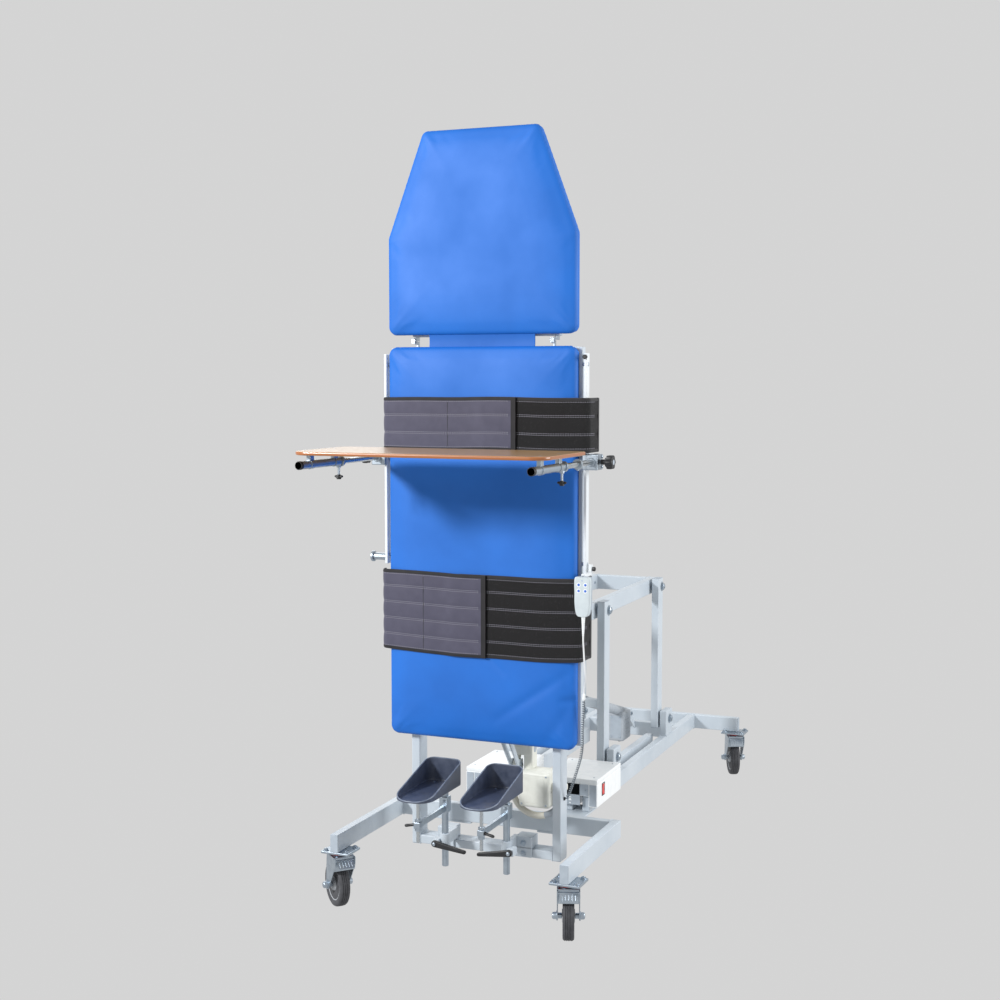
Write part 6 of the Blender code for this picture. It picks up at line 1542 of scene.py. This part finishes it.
@dataclass
class Belt:
  """A padded belt: a smooth half sewn in rows, lapped over a fuzzy half."""

  name: str
  low: float
  height: float
  rows: int
  left: float
  right: float
  back: float
  lap: float
  seam: float
  droop: float
  front: float = -0.0156
  half: float = 0.335
  turn: float = 0.016
  thick: float = 0.006

  def crown(self, inset: float) -> float:
    """Return the cushion's crown at a distance from its edge."""
    share = min(1.0, max(0.0, (inset - 0.014) / 0.146))
    return 0.01 * (1 - (1 - share) ** 2)

  def line(self) -> list[Vector]:
    """Return the belt's inner line in X and Y, from left to right."""
    halves = []
    for side, reach, back in ((-1, self.left, 0.008), (1, self.right, self.back)):
      edge = reach - self.thick
      run = [Vector((side * edge, back + (self.front + self.turn - back) * i / 6)) for i in range(6)]
      for degrees in range(0, 91, 10):
        angle = radians(degrees)
        run.append(Vector((side * (edge - self.turn + self.turn * cos(angle)),
          self.front + self.turn * (1 - sin(angle)))))
      for i in range(1, 17):
        inset = 0.02 + 0.14 * i / 16
        run.append(Vector((side * (self.half - inset), self.front - self.crown(inset))))
      halves.append(run)
    flat = self.half - 0.16
    middle = [Vector((-flat + 2 * flat * i / 44, self.front - 0.01)) for i in range(1, 44)]
    return halves[0] + middle + halves[1][::-1]

  def places(self) -> list[tuple[Vector, Vector]]:
    """Return the line's points with their outward directions."""
    line = self.line()
    return [(point, Vector((course(line, i).y, -course(line, i).x))) for i, point in enumerate(line)]

  def thickness(self, z: float) -> float:
    """Return the thickness at a height, drawn down at each row."""
    row = self.height / self.rows
    share = ((z - self.low) / row) % 1.0
    return 0.0038 + 0.0027 * sin(pi * share) ** 0.45

  def sag(self, x: float, z: float) -> float:
    """Return how far the cloth hangs off its drawn height."""
    low = (self.low + self.height - z) / self.height
    return (0.0013 * sin(8.3 * x + self.low * 5) + 0.0007 * sin(21.0 * x) - self.droop * low
      * (1.0 - (x / 0.36) ** 2) + 0.0012 * low * sin(13.0 * x + 1.0))

  def lift(self, x: float) -> float:
    """Return how far the lapping half stands off."""
    share = min(1.0, max(0.0, (x - self.lap + 0.165) / 0.055))
    return 0.0064 * share * share * (3 - 2 * share)

  def spot(self, place: Place, off: float, z: float) -> Vector:
    """Return a place on the belt, off its line at a drawn height."""
    point, out, lift = place
    return Vector((point.x + out.x * (lift + off), point.y + out.y * (lift + off), z + self.sag(point.x, z)))

  def band(self, shape: Shape, places: Sequence[Place], section: Sequence[Point], finish: Finish) -> None:
    """Add a band whose section has pairs of a distance outward and a height."""
    shape.stack([[self.spot(place, off, z) for off, z in section] for place in places], finish)

  def half_belt(self, shape: Shape, places: Sequence[Place], finish: Finish,
      ends: Iterable[Sequence[Place]]) -> None:
    """Add one half with its binding and stitches.

    Args:
      shape: The piece that it joins.
      places: The line that it follows.
      finish: Its cloth.
      ends: The stretches of the line that are bound across.
    """
    top = self.low + self.height
    steps = self.rows * 8
    levels = [self.low + 0.0006 + (self.height - 0.0012) * i / steps for i in range(steps + 1)]
    section = [(0.0, z) for z in levels] + [(self.thickness(z), z) for z in reversed(levels)]
    self.band(shape, places, section, finish)
    for edge, inward in ((self.low, 1), (top, -1)):
      tape = [(0.0, edge + inward * 0.01), (0.0, edge), (0.002, edge - inward * 0.0006), (0.0044, edge),
        (0.0056, edge + inward * 0.0018), (0.0068, edge + inward * 0.0055), (0.0066, edge + inward * 0.0098),
        (0.0058, edge + inward * 0.0104)]
      self.band(shape, places, tape, BINDING)
    for end in ends:
      tape = [(-0.0001, self.low), (-0.0001, top), (0.006, top), (0.0071, top - 0.003),
        (0.0071, self.low + 0.003), (0.006, self.low)]
      self.band(shape, end, tape, BINDING)
    row = self.height / self.rows
    heights = [self.low + 0.0128, top - 0.0128]
    for i in range(1, self.rows):
      heights += [self.low + row * i - 0.0026, self.low + row * i + 0.0026]
    self.stitches(shape, places[2:-3], heights)

  def stitches(self, shape: Shape, places: Sequence[Place], heights: Sequence[float]) -> None:
    """Add rows of stitches on the outer face.

    Args:
      shape: The piece that they join.
      places: The line that they follow.
      heights: The height of each row.
    """
    part = bmesh.new()
    for z in heights:
      # Real stitches are 4 mm long, drawn 6 mm long so that they show
      run = smooth_route([self.spot(place, self.thickness(z) - 0.0002, z) for place in places], 0.008)
      for one, two in zip(run, run[1:]):
        along = (two - one) * 0.72
        out = along.cross(Vector((0, 0, 1))).normalized()
        skin(part, [[one + along * share + out * (a * 0.0007 * size) + Vector((0, 0, b * 0.0008 * size))
          for a, b in ((-1, -1), (1, -1), (1, 1), (-1, 1))] for share,
          size in ((0.0, 0.25), (0.2, 1.0), (0.8, 1.0), (1.0, 0.25))])
    shape.take(part, THREAD)

  def build(self) -> None:
    """Make the belt."""
    shape = Shape(f"{self.name}_sewn", "table")
    places = self.places()
    fuzzy = [(point, out, 0.0) for point, out in places if point.x > self.lap - 0.105]
    smooth = [(point, out, self.lift(point.x)) for point, out in places if point.x <= self.lap]
    self.half_belt(shape, fuzzy, PILE, (fuzzy[-2:],))
    self.half_belt(shape, smooth, NYLON, (smooth[:2], smooth[-3:]))
    at = min(places, key=lambda pair: abs(pair[0].x - self.seam))
    base = self.lift(at[0].x)
    count = int((self.height - 0.026) / 0.0045)
    for i in range(count):
      z = self.low + 0.013 + 0.0045 * i
      place = at[0] + at[1] * (base + self.thickness(z) - 0.0004)
      level = z + self.sag(place.x, z)
      shape.box((place.x - 0.0011, place.y - 0.0006, level),
        (place.x + 0.0011, place.y + 0.0006, level + 0.0038), BINDING, 0)
    item = shape.finished([self.name], 50)


# ---- rails and tray

@dataclass
class AccessoryRails:
  """The two flat rails with their spacers, stub, hook and stops."""

  inner: float = 0.345
  outer: float = 0.355
  low: float = 1.1
  high: float = 1.795
  spacers: tuple[float, ...] = (1.13, 1.45, 1.76)

  def build(self) -> None:
    """Make the rails."""
    shape = Shape("accessory_rails", "table")
    for side, _ in SIDES:
      shape.half(side, (self.inner, 0.014, self.low), (self.outer, 0.039, self.high), ENAMEL, 0.0022, 3)
      for z in self.spacers:
        shape.across(side * 0.3353, side * 0.35, (0.0315, z), 0.006, ZINC, 20)
        shape.turned((side * self.outer, 0.0265, z), (side, 0, 0),
          mm(-1, 0, -1, 6.2, 0.6, 5.8, 1.4, 4, 1.4, 0), ZINC, 24)
    shape.turned((0.35, 0.0145, self.high - 0.012), AHEAD, mm(0, 0, 0, 6.5, 6, 7.2, 10, 7.2, 12, 5, 12, 0),
      BLACK, 20)
    shape.across(-0.35, -0.4072, (0.0265, 1.122), 0.012, ZINC, 28)
    shape.across(-0.3998, -0.408, (0.0265, 1.122), 0.018, ZINC, 32, 0.0015)
    shape.bolt((-0.4072, 0.0265, 1.122), (-1, 0, 0), 0.0075, False)
    shape.box((0.35, 0.022, 1.1003), (0.371, 0.035, 1.13), ENAMEL, 0.002, 3)
    shape.box((0.357, -0.0397, 1.096), (0.371, 0.031, 1.108), ENAMEL, 0.003, 3)
    shape.box((0.357, -0.0397, 1.07), (0.371, -0.0357, 1.104), ENAMEL, 0.0018, 3)
    shape.turned((0.371, 0.0285, 1.116), RIGHT, mm(0, 0, 0, 6.5, 8, 7.2, 10, 5.5, 10, 0), BLACK, 20)
    shape.finished(["side_rail_left", "side_rail_right"])


@dataclass
class Tray:
  """The beech tray with its tubes, clamps, rods and knobs."""

  x: float = 0.375
  z: float = 1.455
  clamp: float = 0.3955
  half: float = 0.415
  front: float = -0.5
  rear: float = -0.15
  board_low: float = 1.485
  board_thick: float = 0.012

  def carriage(self) -> None:
    """Make the two clamps with their ground rods."""
    shape = Shape("tray_clamps_with_rods", "tray_carriage")
    low, high = self.z - 0.025, self.z + 0.025
    for side, _ in SIDES:
      shape.half(side, (0.3553, -0.001, low), (self.clamp, 0.054, high), ZINC, 0.003, 3)
      shape.half(side, (0.3456, -0.001, low), (0.362, 0.0137, high), ZINC, 0.0025, 3)
      shape.half(side, (0.3456, 0.0393, low), (0.362, 0.054, high), ZINC, 0.0025, 3)
      shape.rod((side * self.x, -0.41, self.z), (side * self.x, 0.006, self.z), 0.009, BRIGHT, 28)
      shape.turned((side * self.x, -0.0008, self.z), AHEAD, mm(0, 0, 0, 15, 4, 15, 5.5, 13, 5.5, 0), ZINC, 6)
      for z in (low + 0.009, high - 0.009):
        shape.bolt((side * self.clamp, 0.044, z), (side, 0, 0), 0.0052, False)
    shape.turned((self.x, -0.13, self.z), BACK, mm(0, 9.5, 0, 15.5, 1.2, 16.5, 10.8, 16.5, 12, 15.5, 12, 9.5),
      ZINC, 32)
    shape.bolt((self.x, -0.124, self.z - 0.0163), DOWN, 0.0045, False)
    shape.finished(["tray_clamp_left", "tray_clamp_right"])

  def slides(self) -> None:
    """Make the sliding tubes with their fittings."""
    shape = Shape("tray_sliding_tubes", "tray")
    for side, _ in SIDES:
      x = side * self.x
      shape.turned((x, -0.512, self.z), BACK, mm(0, 0, 0, 11, 1.5, 12.5, 266, 12.5, 267, 11.8, 267, 9.4),
        ZINC, 32)
      shape.turned((x, -0.257, self.z), BACK, mm(0, 12, 0, 15.5, 1.2, 16.5, 10.8, 16.5, 12, 15.5, 12, 9.4),
        ZINC, 32)
      shape.turned((x, -0.5, self.z), AHEAD, mm(0, 12.4, 0, 13.1, 10, 13.1, 12, 11.8, 12, 0), BLACK, 28)
      for y in (-0.44, -0.29):
        shape.box((x - 0.007, y - 0.012, self.z + 0.0104), (x + 0.007, y + 0.012, 1.4847), ZINC, 0.0015)
        shape.turned((x, y, self.z), BACK, mm(-10, 12.4, -10, 14.2, 10, 14.2, 10, 12.4), ZINC, 28)
      self.wing(shape, x)
    shape.finished(["tray_tube_left", "tray_tube_right"])

  def wing(self, shape: Shape, x: float) -> None:
    """Add a wing knob on its stud under a tube."""
    y, low = -0.262, self.z - 0.056
    shape.rod((x, y, low + 0.004), (x, y, self.z - 0.0115), 0.0038, ZINC, 16)
    shape.turned((x, y, self.z - 0.0125), DOWN, mm(-2, 0, -2, 7.5, 6, 7.5, 6.8, 6.6, 6.8, 0), ZINC, 6)
    shape.turned((x, y, low), UP, mm(0, 0, 0, 6.5, 1, 7.5, 10, 7.2, 14, 6.2, 15, 4.5, 15, 0), BLACK, 24)
    for hand in (-1, 1):
      points = [Vector((x + hand * (0.003 + 0.011 * i / 6), y, low + 0.005 + 0.004 * sin(i * 0.4)))
        for i in range(7)]
      shape.sweep(points, [0.0042, 0.0044, 0.0044, 0.0042, 0.004, 0.0036, 0.0024], BLACK, 12)

  def board(self) -> None:
    """Make the plywood board and its screws."""
    shape = Shape("tray_board_plywood", "tray")
    corners = ((-self.half, self.front), (self.half, self.front), (self.half, self.rear),
      (-self.half, self.rear))
    rings = []
    radii = (0.055, 0.055, 0.02, 0.02)
    count = 7
    for i in range(count):
      angle = pi * i / (count - 1)
      inset = 0.0042 * (1 - sin(angle) ** 0.7)
      level = self.board_low + self.board_thick * (1 - cos(angle)) / 2
      rings.append([(p.x, p.y, level) for p in rounded_outline(corners, radii, inset, 12)])
    shape.stack(rings, BEECH)
    for side, _ in SIDES:
      for y in (-0.44, -0.29):
        shape.turned((side * self.x, y, self.board_low + self.board_thick - 0.0006), UP,
          mm(0, 0, 0, 5, 0.8, 4.4, 1, 0), ZINC, 20)
    shape.finished(["tray_board"], 50)

  def knob(self, side: int, word: str) -> None:
    """Make one star knob with its threaded stud.

    Args:
      side: 1 for the right and -1 for the left.
      word: The side's name.
    """
    shape = Shape(f"star_knob_{word}", f"tray_knob_{word}")
    y, start = 0.027, 0.414
    rings = []
    for along, scale in ((0.0, 0.62), (0.004, 0.7), (0.006, 0.94), (0.009, 1.0), (0.02, 1.0), (0.0242, 0.95),
        (0.026, 0.82)):
      ring = []
      for i in range(72):
        angle = tau * i / 72
        reach = scale * (0.024 - 0.0048 * (1 - cos(angle * 6)) / 2)
        ring.append((side * (start + along), y + reach * cos(angle), self.z + reach * sin(angle)))
      rings.append(ring)
    shape.stack(rings, BLACK)
    shape.across(side * 0.3975, side * 0.4145, (y, self.z), 0.0085, BLACK, 28, 0.002)
    shape.across(side * 0.371, side * 0.402, (y, self.z), 0.0039, ZINC, 16)
    shape.across(side * 0.4398, side * 0.4404, (y, self.z), 0.0085, PANEL_AND_PAINTED_SHADE, 28, 0.0002)
    shape.finished([f"tray_knob_{word}"], 45)

  def build(self) -> None:
    """Make the whole tray."""
    self.carriage()
    self.slides()
    self.board()
    for side, word in SIDES:
      self.knob(side, word)


# ---- foot supports

@dataclass
class FootSupport:
  """One foot support: bracket, lever, post and cupped plate."""

  side: int
  word: str
  out: float = 0.109
  post_y: float = -0.046
  plate_z: float = 0.398
  toe: float = -0.315
  heel: float = -0.04
  half: float = 0.064

  @property
  def x(self) -> float:
    """Return the post's middle."""
    return self.side * self.out

  def outline(self, inset: float) -> list[Vector]:
    """Return the plate's outline, drawn in by an inset."""
    corners = ((self.x - self.half, self.toe), (self.x + self.half, self.toe),
      (self.x + self.half, self.heel), (self.x - self.half, self.heel))
    return rounded_outline(corners, (0.056, 0.056, 0.03, 0.03), inset, 10)

  def rim(self, y: float) -> float:
    """Return the rim's height at a place along the plate."""
    return self.plate_z + 0.004 + 0.075 * (y - self.toe) / (self.heel - self.toe)

  def plate(self) -> None:
    """Make the cupped plate with its rim and hinge lugs."""
    shape = Shape(f"foot_cup_{self.word}", f"foot_plate_{self.word}")
    z = self.plate_z
    # The rings' insets, lowest heights over the floor and shares of the rim's height
    levels = ((0.003, 0, 0), (0.0008, 0.0012, 0), (0, 0.0022, 0.08), (0, 0.0022, 0.35), (0, 0.0022, 0.7),
      (0, 0.0022, 0.95), (0.001, 0, 1), (0.003, 0, 1), (0.004, 0.0036, 0.94), (0.004, 0.0036, 0.5),
      (0.004, 0.0036, 0.12), (0.0062, 0.0036, 0))
    rings = [[(p.x, p.y, z + max(floor, (self.rim(p.y) - z) * share)) for p in self.outline(inset)] for inset,
      floor, share in levels]
    shape.stack(rings, NAVY)
    edge = [Vector((p.x, p.y, self.rim(p.y) + 0.0002)) for p in self.outline(0.002)]
    edge.append(edge[0])
    shape.sweep(edge, [0.0021] * len(edge), NAVY_EDGE, 8)
    hinge_z = z - 0.012
    for hand in (-1, 1):
      near, far = sorted((self.x + hand * 0.0125, self.x + hand * 0.0165))
      shape.box((near, self.post_y - 0.008, hinge_z - 0.008), (far, self.post_y + 0.008, z + 0.001), ZINC,
        0.0012)
      shape.rod((self.x + hand * 0.016, self.post_y, hinge_z), (self.x + hand * 0.0192, self.post_y, hinge_z),
        0.0052, ZINC, 6, 0.0006)
    shape.across(self.x - 0.015, self.x + 0.015, (self.post_y, hinge_z), 0.0029, ZINC, 14)
    for dx in (-0.03, 0.03):
      shape.turned((self.x + dx, self.post_y - 0.02, z + 0.0034), UP, mm(0, 0, 0, 5, 1, 4, 1.6, 0), ZINC, 18)
    shape.finished([f"foot_plate_{self.word}"], 45)

  def post(self) -> None:
    """Make the post with its arm and support rod."""
    shape = Shape(f"foot_post_{self.word}_turned", f"foot_post_{self.word}")
    x, y, top = self.x, self.post_y, self.plate_z - 0.0003
    shape.turned((x, y, 0.118), UP, mm(0, 0, 0, 9.5, 1.5, 11, 268.5, 11, 275.5, 8.5, 275.5, 0), ZINC, 28)
    shape.box((x - 0.015, y - 0.015, 0.3), (x + 0.015, y + 0.015, 0.352), ZINC, 0.0025, 3)
    shape.box((x - 0.006, -0.25, 0.302), (x + 0.006, y, 0.322), ZINC, 0.0015)
    shape.box((x - 0.011, -0.261, 0.3017), (x + 0.011, -0.239, 0.3223), ZINC, 0.002, 3)
    shape.turned((x, -0.25, 0.255), UP, ((0, 0), (0, 0.0045), (0.001, 0.0055), (top - 0.2565, 0.0055),
      (top - 0.255, 0.0045), (top - 0.255, 0)), BRIGHT, 24)
    for z in (0.3225, 0.2925):
      shape.turned((x, -0.25, z), UP, mm(0, 5, 0, 10, 1.2, 10.5, 7.8, 10.5, 9, 10, 9, 5), ZINC, 6)
    shape.turned((x, -0.25, top - 0.007), UP, mm(0, 5, 0, 11, 6.5, 12.5, 7, 10, 7, 0), BLACK, 24)
    for z in (0.314, 0.338):
      shape.bolt((x, y - 0.015, z), AHEAD, 0.0052, False)
    lever = [Vector((x + self.side * (0.01 + 0.034 * i / 8), -0.25 - 0.004 * i / 8, 0.312 - 0.006 * i / 8))
      for i in range(9)]
    shape.sweep(lever, [0.0058, 0.0052, 0.0046, 0.0044, 0.0044, 0.0046, 0.005, 0.005, 0.0034], BLACK, 14)
    shape.finished([f"foot_post_{self.word}"])

  def bracket(self) -> None:
    """Make the bracket with its clamping sleeve."""
    shape = Shape(f"foot_bracket_{self.word}_welded", "table")
    side, x, y = self.side, self.x, self.post_y
    shape.half(side, (0.11, 0.022, 0.1853), (0.169, 0.08, 0.225), COAT, 0.003, 3)
    shape.half(side, (0.11, 0.022, 0.157), (0.169, 0.0297, 0.193), COAT, 0.003, 3)
    shape.half(side, (0.101, y, 0.188), (0.117, 0.04, 0.226), COAT, 0.002)
    shape.turned((x, y, 0.186), UP, mm(0, 11.4, 0, 15.8, 1.2, 17, 40.8, 17, 42, 15.8, 42, 11.4), COAT, 32)
    shape.half(side, (0.12, -0.074, 0.186), (0.143, -0.04, 0.212), COAT, 0.0025, 3)
    for z in (0.17, 0.205):
      shape.bolt((side * 0.14, 0.022, z), AHEAD, 0.007)
    shape.bolt((side * 0.131, -0.0405, 0.199), BACK, 0.007)
    shape.finished([f"foot_bracket_{self.word}"])

  def lever(self) -> None:
    """Make the long tapered clamp lever with its nut."""
    shape = Shape(f"foot_lever_{self.word}_moulded", f"foot_lever_{self.word}")
    start, end = Vector((self.side * 0.131, 0.199)), Vector((self.side * 0.026, 0.183))
    along = (end - start).normalized()
    heading = atan2(along.y, along.x)
    outline = []
    for centre, radius, first in ((start, 0.011, 90.0), (end, 0.006, -90.0)):
      for i in range(13):
        angle = heading + radians(first + 15.0 * i)
        outline.append((centre.x + radius * cos(angle), centre.y + radius * sin(angle)))
    shape.prism(outline, Axis.Y, -0.0743, -0.013, BLACK, 0.0034)
    shape.turned((start.x, -0.0873, start.y), AHEAD, mm(-2, 0, -2, 6.8, 3, 6.4, 4.2, 4, 4.2, 0), ZINC, 6)
    shape.rod((start.x, -0.08, start.y), (start.x, -0.0495, start.y), 0.0039, ZINC, 14)
    shape.finished([f"foot_lever_{self.word}"], 45)

  def build(self) -> None:
    """Make the whole foot support."""
    self.bracket()
    self.lever()
    self.post()
    self.plate()


# ---- castors

@dataclass
class Castor:
  """One braked castor: fork, wheel and brake plate."""

  name: str
  side: int
  y: float
  degrees: float
  radius: float = 0.075
  half: float = 0.0355
  trail: float = 0.03

  def space(self) -> Matrix:
    """Return the castor's own space in the drawing."""
    return (Matrix.Translation((self.side * 0.393, self.y, 0.0)) @ Matrix.Rotation(radians(self.degrees), 4,
      'Z'))

  def fork(self) -> None:
    """Make the fork's housing, cheeks, axle and nuts."""
    shape = Shape(f"castor_fork_{self.name}_pressed", f"castor_fork_{self.name}", self.space())
    top, inner = 0.1797, self.half - 0.003
    shape.box((-self.half, -0.0335, top - 0.0032), (self.half, 0.036, top), ZINC, 0.0015)
    shape.box((-self.half, -0.033, 0.134), (self.half, -0.0297, top - 0.001), ZINC, 0.0012)
    leg = [(-0.042, top - 0.0035), (-0.042, 0.156), (-0.036, 0.14), (-0.027, 0.132), (0.012, 0.074),
      (0.017, 0.0665), (0.024, 0.0615), (0.03, 0.0605), (0.036, 0.0615), (0.041, 0.066), (0.042, 0.072),
      (0.0375, 0.134), (0.036, 0.15), (0.034, top - 0.001), (-0.034, top - 0.001)]
    for hand in (-1, 1):
      shape.prism(leg, Axis.X, hand * inner, hand * 0.003, ZINC, 0.0009)
      place = (self.trail, self.radius)
      shape.across(hand * 0.0203, hand * 0.0335, place, 0.009, ZINC, 20)
      shape.across(hand * (self.half - 0.0002), hand * (self.half + 0.0018), place, 0.015, ZINC, 28, 0.0005)
      shape.turned((hand * (self.half + 0.0016), *place), (hand, 0, 0),
        mm(0, 0, 0, 11.2, 10, 10.8, 12.4, 9, 13.8, 6, 14.2, 0), ZINC, 28)
      shape.half(hand, (self.half - 0.0006, -0.006, 0.142), (self.half + 0.0006, 0.02, 0.1445), ZINC, 0.0005)
    shape.across(-inner, inner, (self.trail, self.radius), 0.0049, ZINC, 14)
    shape.turned((0, 0, top - 0.0001), UP, mm(0, 0, 0, 25, 0.3, 24.8, 0.3, 0), BLACK, 28)
    shape.finished([f"castor_fork_{self.name}"])

  def wheel(self) -> None:
    """Make the wheel: grooved tyre, wall ring, core and hub."""
    shape = Shape(f"castor_wheel_{self.name}_tyred", f"castor_wheel_{self.name}", self.space())
    hub = (0.0, self.trail, self.radius)
    r = self.radius
    shape.turned(hub, RIGHT, ((-0.0135, 0.053), (-0.015, 0.0545), (-0.0172, 0.06), (-0.018, 0.066),
      (-0.0176, 0.0692), (-0.0158, 0.0722), (-0.012, 0.0742), (-0.0092, 0.0746), (-0.0088, 0.0732),
      (-0.0068, 0.0732), (-0.0064, 0.0748), (-0.003, r), (-0.0024, 0.0734), (-0.0006, 0.0734), (0.0, r),
      (0.0034, r), (0.004, 0.0734), (0.006, 0.0734), (0.0066, 0.0748), (0.012, 0.0742), (0.0158, 0.0722),
      (0.0176, 0.0692), (0.018, 0.066), (0.0172, 0.06), (0.015, 0.0545), (0.0135, 0.053)), TYRE, 64)
    for hand in (-1, 1):
      shape.turned((hand * 0.0133, *hub[1:]), (hand, 0, 0),
        mm(-4, 49.5, -0.5, 50.5, 1.2, 52, 1.4, 54, 0, 54.8, -4, 54.8), RIM, 64)
      shape.turned(hub, (hand, 0, 0), mm(0, 0, 0, 51.5, 8.5, 51, 10, 47, 10, 29, 13, 23.5, 19, 20.5, 19.9, 19,
        19.9, 0), RIM, 48)
      # Painted shade: six dark discs on each face stand for the shade in the core's recesses
      for i in range(6):
        angle = tau * i / 6
        place = Vector((hand * 0.01, hub[1] + 0.038 * cos(angle), hub[2] + 0.038 * sin(angle)))
        shape.turned(place, (hand, 0, 0), mm(-2, 0, -2, 6.6, 0.4, 6.4, 0.6, 5.8, 0.1, 5.2, 0.1, 0), GROMMET_AND_PAINTED_SHADE,
          18)
    shape.finished([f"castor_wheel_{self.name}"])

  def brake(self) -> None:
    """Make the sloping brake plate with its pin."""
    shape = Shape(f"castor_brake_{self.name}_pressed", f"castor_brake_{self.name}", self.space())
    pin, low = (-0.0355, 0.168), (-0.059, 0.1475)
    outline = ((pin[0] + 0.0015, pin[1] - 0.0015), (pin[0] + 0.0015, pin[1] + 0.0015),
      (pin[0] - 0.002, pin[1] + 0.0015), (low[0], low[1] + 0.0015), (low[0] - 0.0004, low[1] - 0.0015),
      (low[0] + 0.0022, low[1] - 0.0018), (pin[0] - 0.001, pin[1] - 0.0018))
    shape.prism(outline, Axis.X, -0.027, 0.054, ZINC, 0.0006)
    for x in (-0.02, -0.01, 0.0, 0.01, 0.02):
      shape.rod((x, -0.0395, 0.1662), (x, -0.056, 0.152), 0.0014, ZINC, 8)
    shape.across(-0.034, 0.034, pin, 0.0029, ZINC, 14)
    shape.finished([f"castor_brake_{self.name}"])

  def build(self) -> None:
    """Make the whole castor."""
    self.fork()
    self.wheel()
    self.brake()


# ---- handset

@dataclass
class Handset:
  """The waisted two-tone handset with its four keys."""

  x: float = 0.37
  back: float = -0.04
  thick: float = 0.026
  low: float = 0.977
  high: float = 1.101
  half: float = 0.027

  def case(self) -> None:
    """Make both shells and the ribbed strain relief."""
    shape = Shape("handset_case", "table")
    front = self.back - self.thick
    for y_near, y_far, finish, grow in ((front, front + 0.0125, CASE, 0.0),
        (front + 0.013, self.back, PANEL_AND_PAINTED_SHADE, 0.0), (front + 0.01, self.back - 0.004, PANEL_AND_PAINTED_SHADE, -0.0009)):
      rings = []
      for z, width in ((0.0, 0.48), (0.0015, 0.6), (0.005, 0.72), (0.012, 0.82), (0.024, 0.91),
          (0.045, 0.975), (0.07, 0.965), (0.092, 1.0), (0.112, 1.0), (0.119, 0.96), (0.1225, 0.9),
          (0.124, 0.82)):
        half = self.half * width + grow
        corners = ((self.x - half, y_near), (self.x + half, y_near), (self.x + half, y_far),
          (self.x - half, y_far))
        radius = 0.0052
        soft = (radius, radius, 0.0012, 0.0012) if finish is CASE else (0.0012, 0.0012, radius, radius)
        level = self.low + max(0.0004, min(z, self.high - self.low - 0.0004)) if grow else self.low + z
        rings.append([(p.x, p.y, level) for p in rounded_outline(corners, soft, 0.0, 4)])
      shape.stack(rings, finish)
    middle = self.back - self.thick / 2
    profile = [(0.0, 0.0), (0.0, 0.0062)]
    for i in range(9):
      start = 0.006 + i * 0.0058
      radius = 0.006 - i * 0.0003
      profile += [(start, radius), (start + 0.0034, radius), (start + 0.0038, radius - 0.0012),
        (start + 0.0054, radius - 0.0012)]
    profile += [(0.06, 0.0032), (0.062, 0.003), (0.062, 0.0)]
    shape.turned((self.x, middle, self.low), DOWN, profile, COVER, 20)
    for offset, height in ((-0.011, 0.1), (0.011, 0.1), (-0.011, 0.081), (0.011, 0.081)):
      shape.turned((self.x + offset, front + 0.0004, self.low + height), AHEAD,
        mm(0, 4.2, 0, 7.2, 0.8, 6.8, 0.8, 4.2), COVER, 28)
    shape.turned((self.x, front + 0.0003, self.low + 0.113), AHEAD, mm(0, 0, 0, 1.6, 0.7, 1.2, 0.8, 0), KEY,
      14)
    shape.finished(["handset"])

  def keys(self) -> None:
    """Make the four domed keys."""
    front = self.back - self.thick
    for number, offset, height in ((1, -0.011, 0.1), (2, 0.011, 0.1), (3, -0.011, 0.081), (4, 0.011, 0.081)):
      shape = Shape(f"handset_key_{number}", f"handset_button_{number}")
      shape.turned((self.x + offset, front + 0.0019, self.low + height), AHEAD,
        mm(0, 0, 0, 4, 2.8, 4, 3.2, 3.6, 3.4, 2.4, 3.5, 0), KEY, 28)
      shape.finished([f"handset_button_{number}"])

  def build(self) -> None:
    """Make the case and the keys."""
    self.case()
    self.keys()


def main() -> None:
  """Build every assembly in order."""
  logging.basicConfig(level=logging.INFO, format="%(name)s: %(message)s")
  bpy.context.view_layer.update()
  half = 0.335
  assemblies = [Studio(), HandsetCords(), BaseFrame(), ElectricBoxes(), ParallelLift(),
    LiftDrive("lift", 0.0, (1.56, 0.3), (0.825, 0.52), 0.56, MOTOR),
    TiltDrive("tilt", 0.065, (0.15, 0.43), (0.35, 0.77), 0.33, CREAM), TableFrame(), HeadFrame(),
    AccessoryRails(), Tray(), *[FootSupport(side, word) for side, word in SIDES],
    Castor("front_right", 1, -0.24, 20.0), Castor("front_left", -1, -0.24, 49.5),
    Castor("rear_right", 1, 1.845, 24.5), Castor("rear_left", -1, 1.845, 10.0), Handset(),
    Cushion("body_pad", "body_cushion", "table", ((-half, 0.526), (half, 0.526), (half, 1.825),
    (-half, 1.825)), (0.035,) * 4, creases=((0.33, 0.8, 0.04, 0.6, 0.003, 0.016),
    (0.35, 0.74, 0.22, 0.53, 0.0024, 0.018), (0.02, 0.84, 0.1, 0.76, 0.0016, 0.01),
    (0.35, 0.7, 0.27, 0.69, 0.004, 0.012), (-0.3, 1.44, -0.05, 1.3, 0.0022, 0.03),
    (0.31, 1.46, 0.08, 1.34, 0.0022, 0.03))), Cushion("head_pad", "head_cushion", "head_section",
    ((-half, 1.848), (half, 1.848), (half, 2.17), (0.206, 2.514), (-0.206, 2.514), (-half, 2.17)),
    (0.035, 0.035, 0.035, 0.03, 0.03, 0.035)), GapFlap(),
    Belt("chest_belt", 1.4855, 0.17, 3, 0.346, 0.374, 0.075, 0.136, -0.101, 0.002),
    Belt("hip_belt", 0.822, 0.264, 5, 0.352, 0.352, 0.075, 0.036, -0.192, 0.006),]
  for assembly in assemblies:
    assembly.build()


if __name__ == "__main__":
  main()
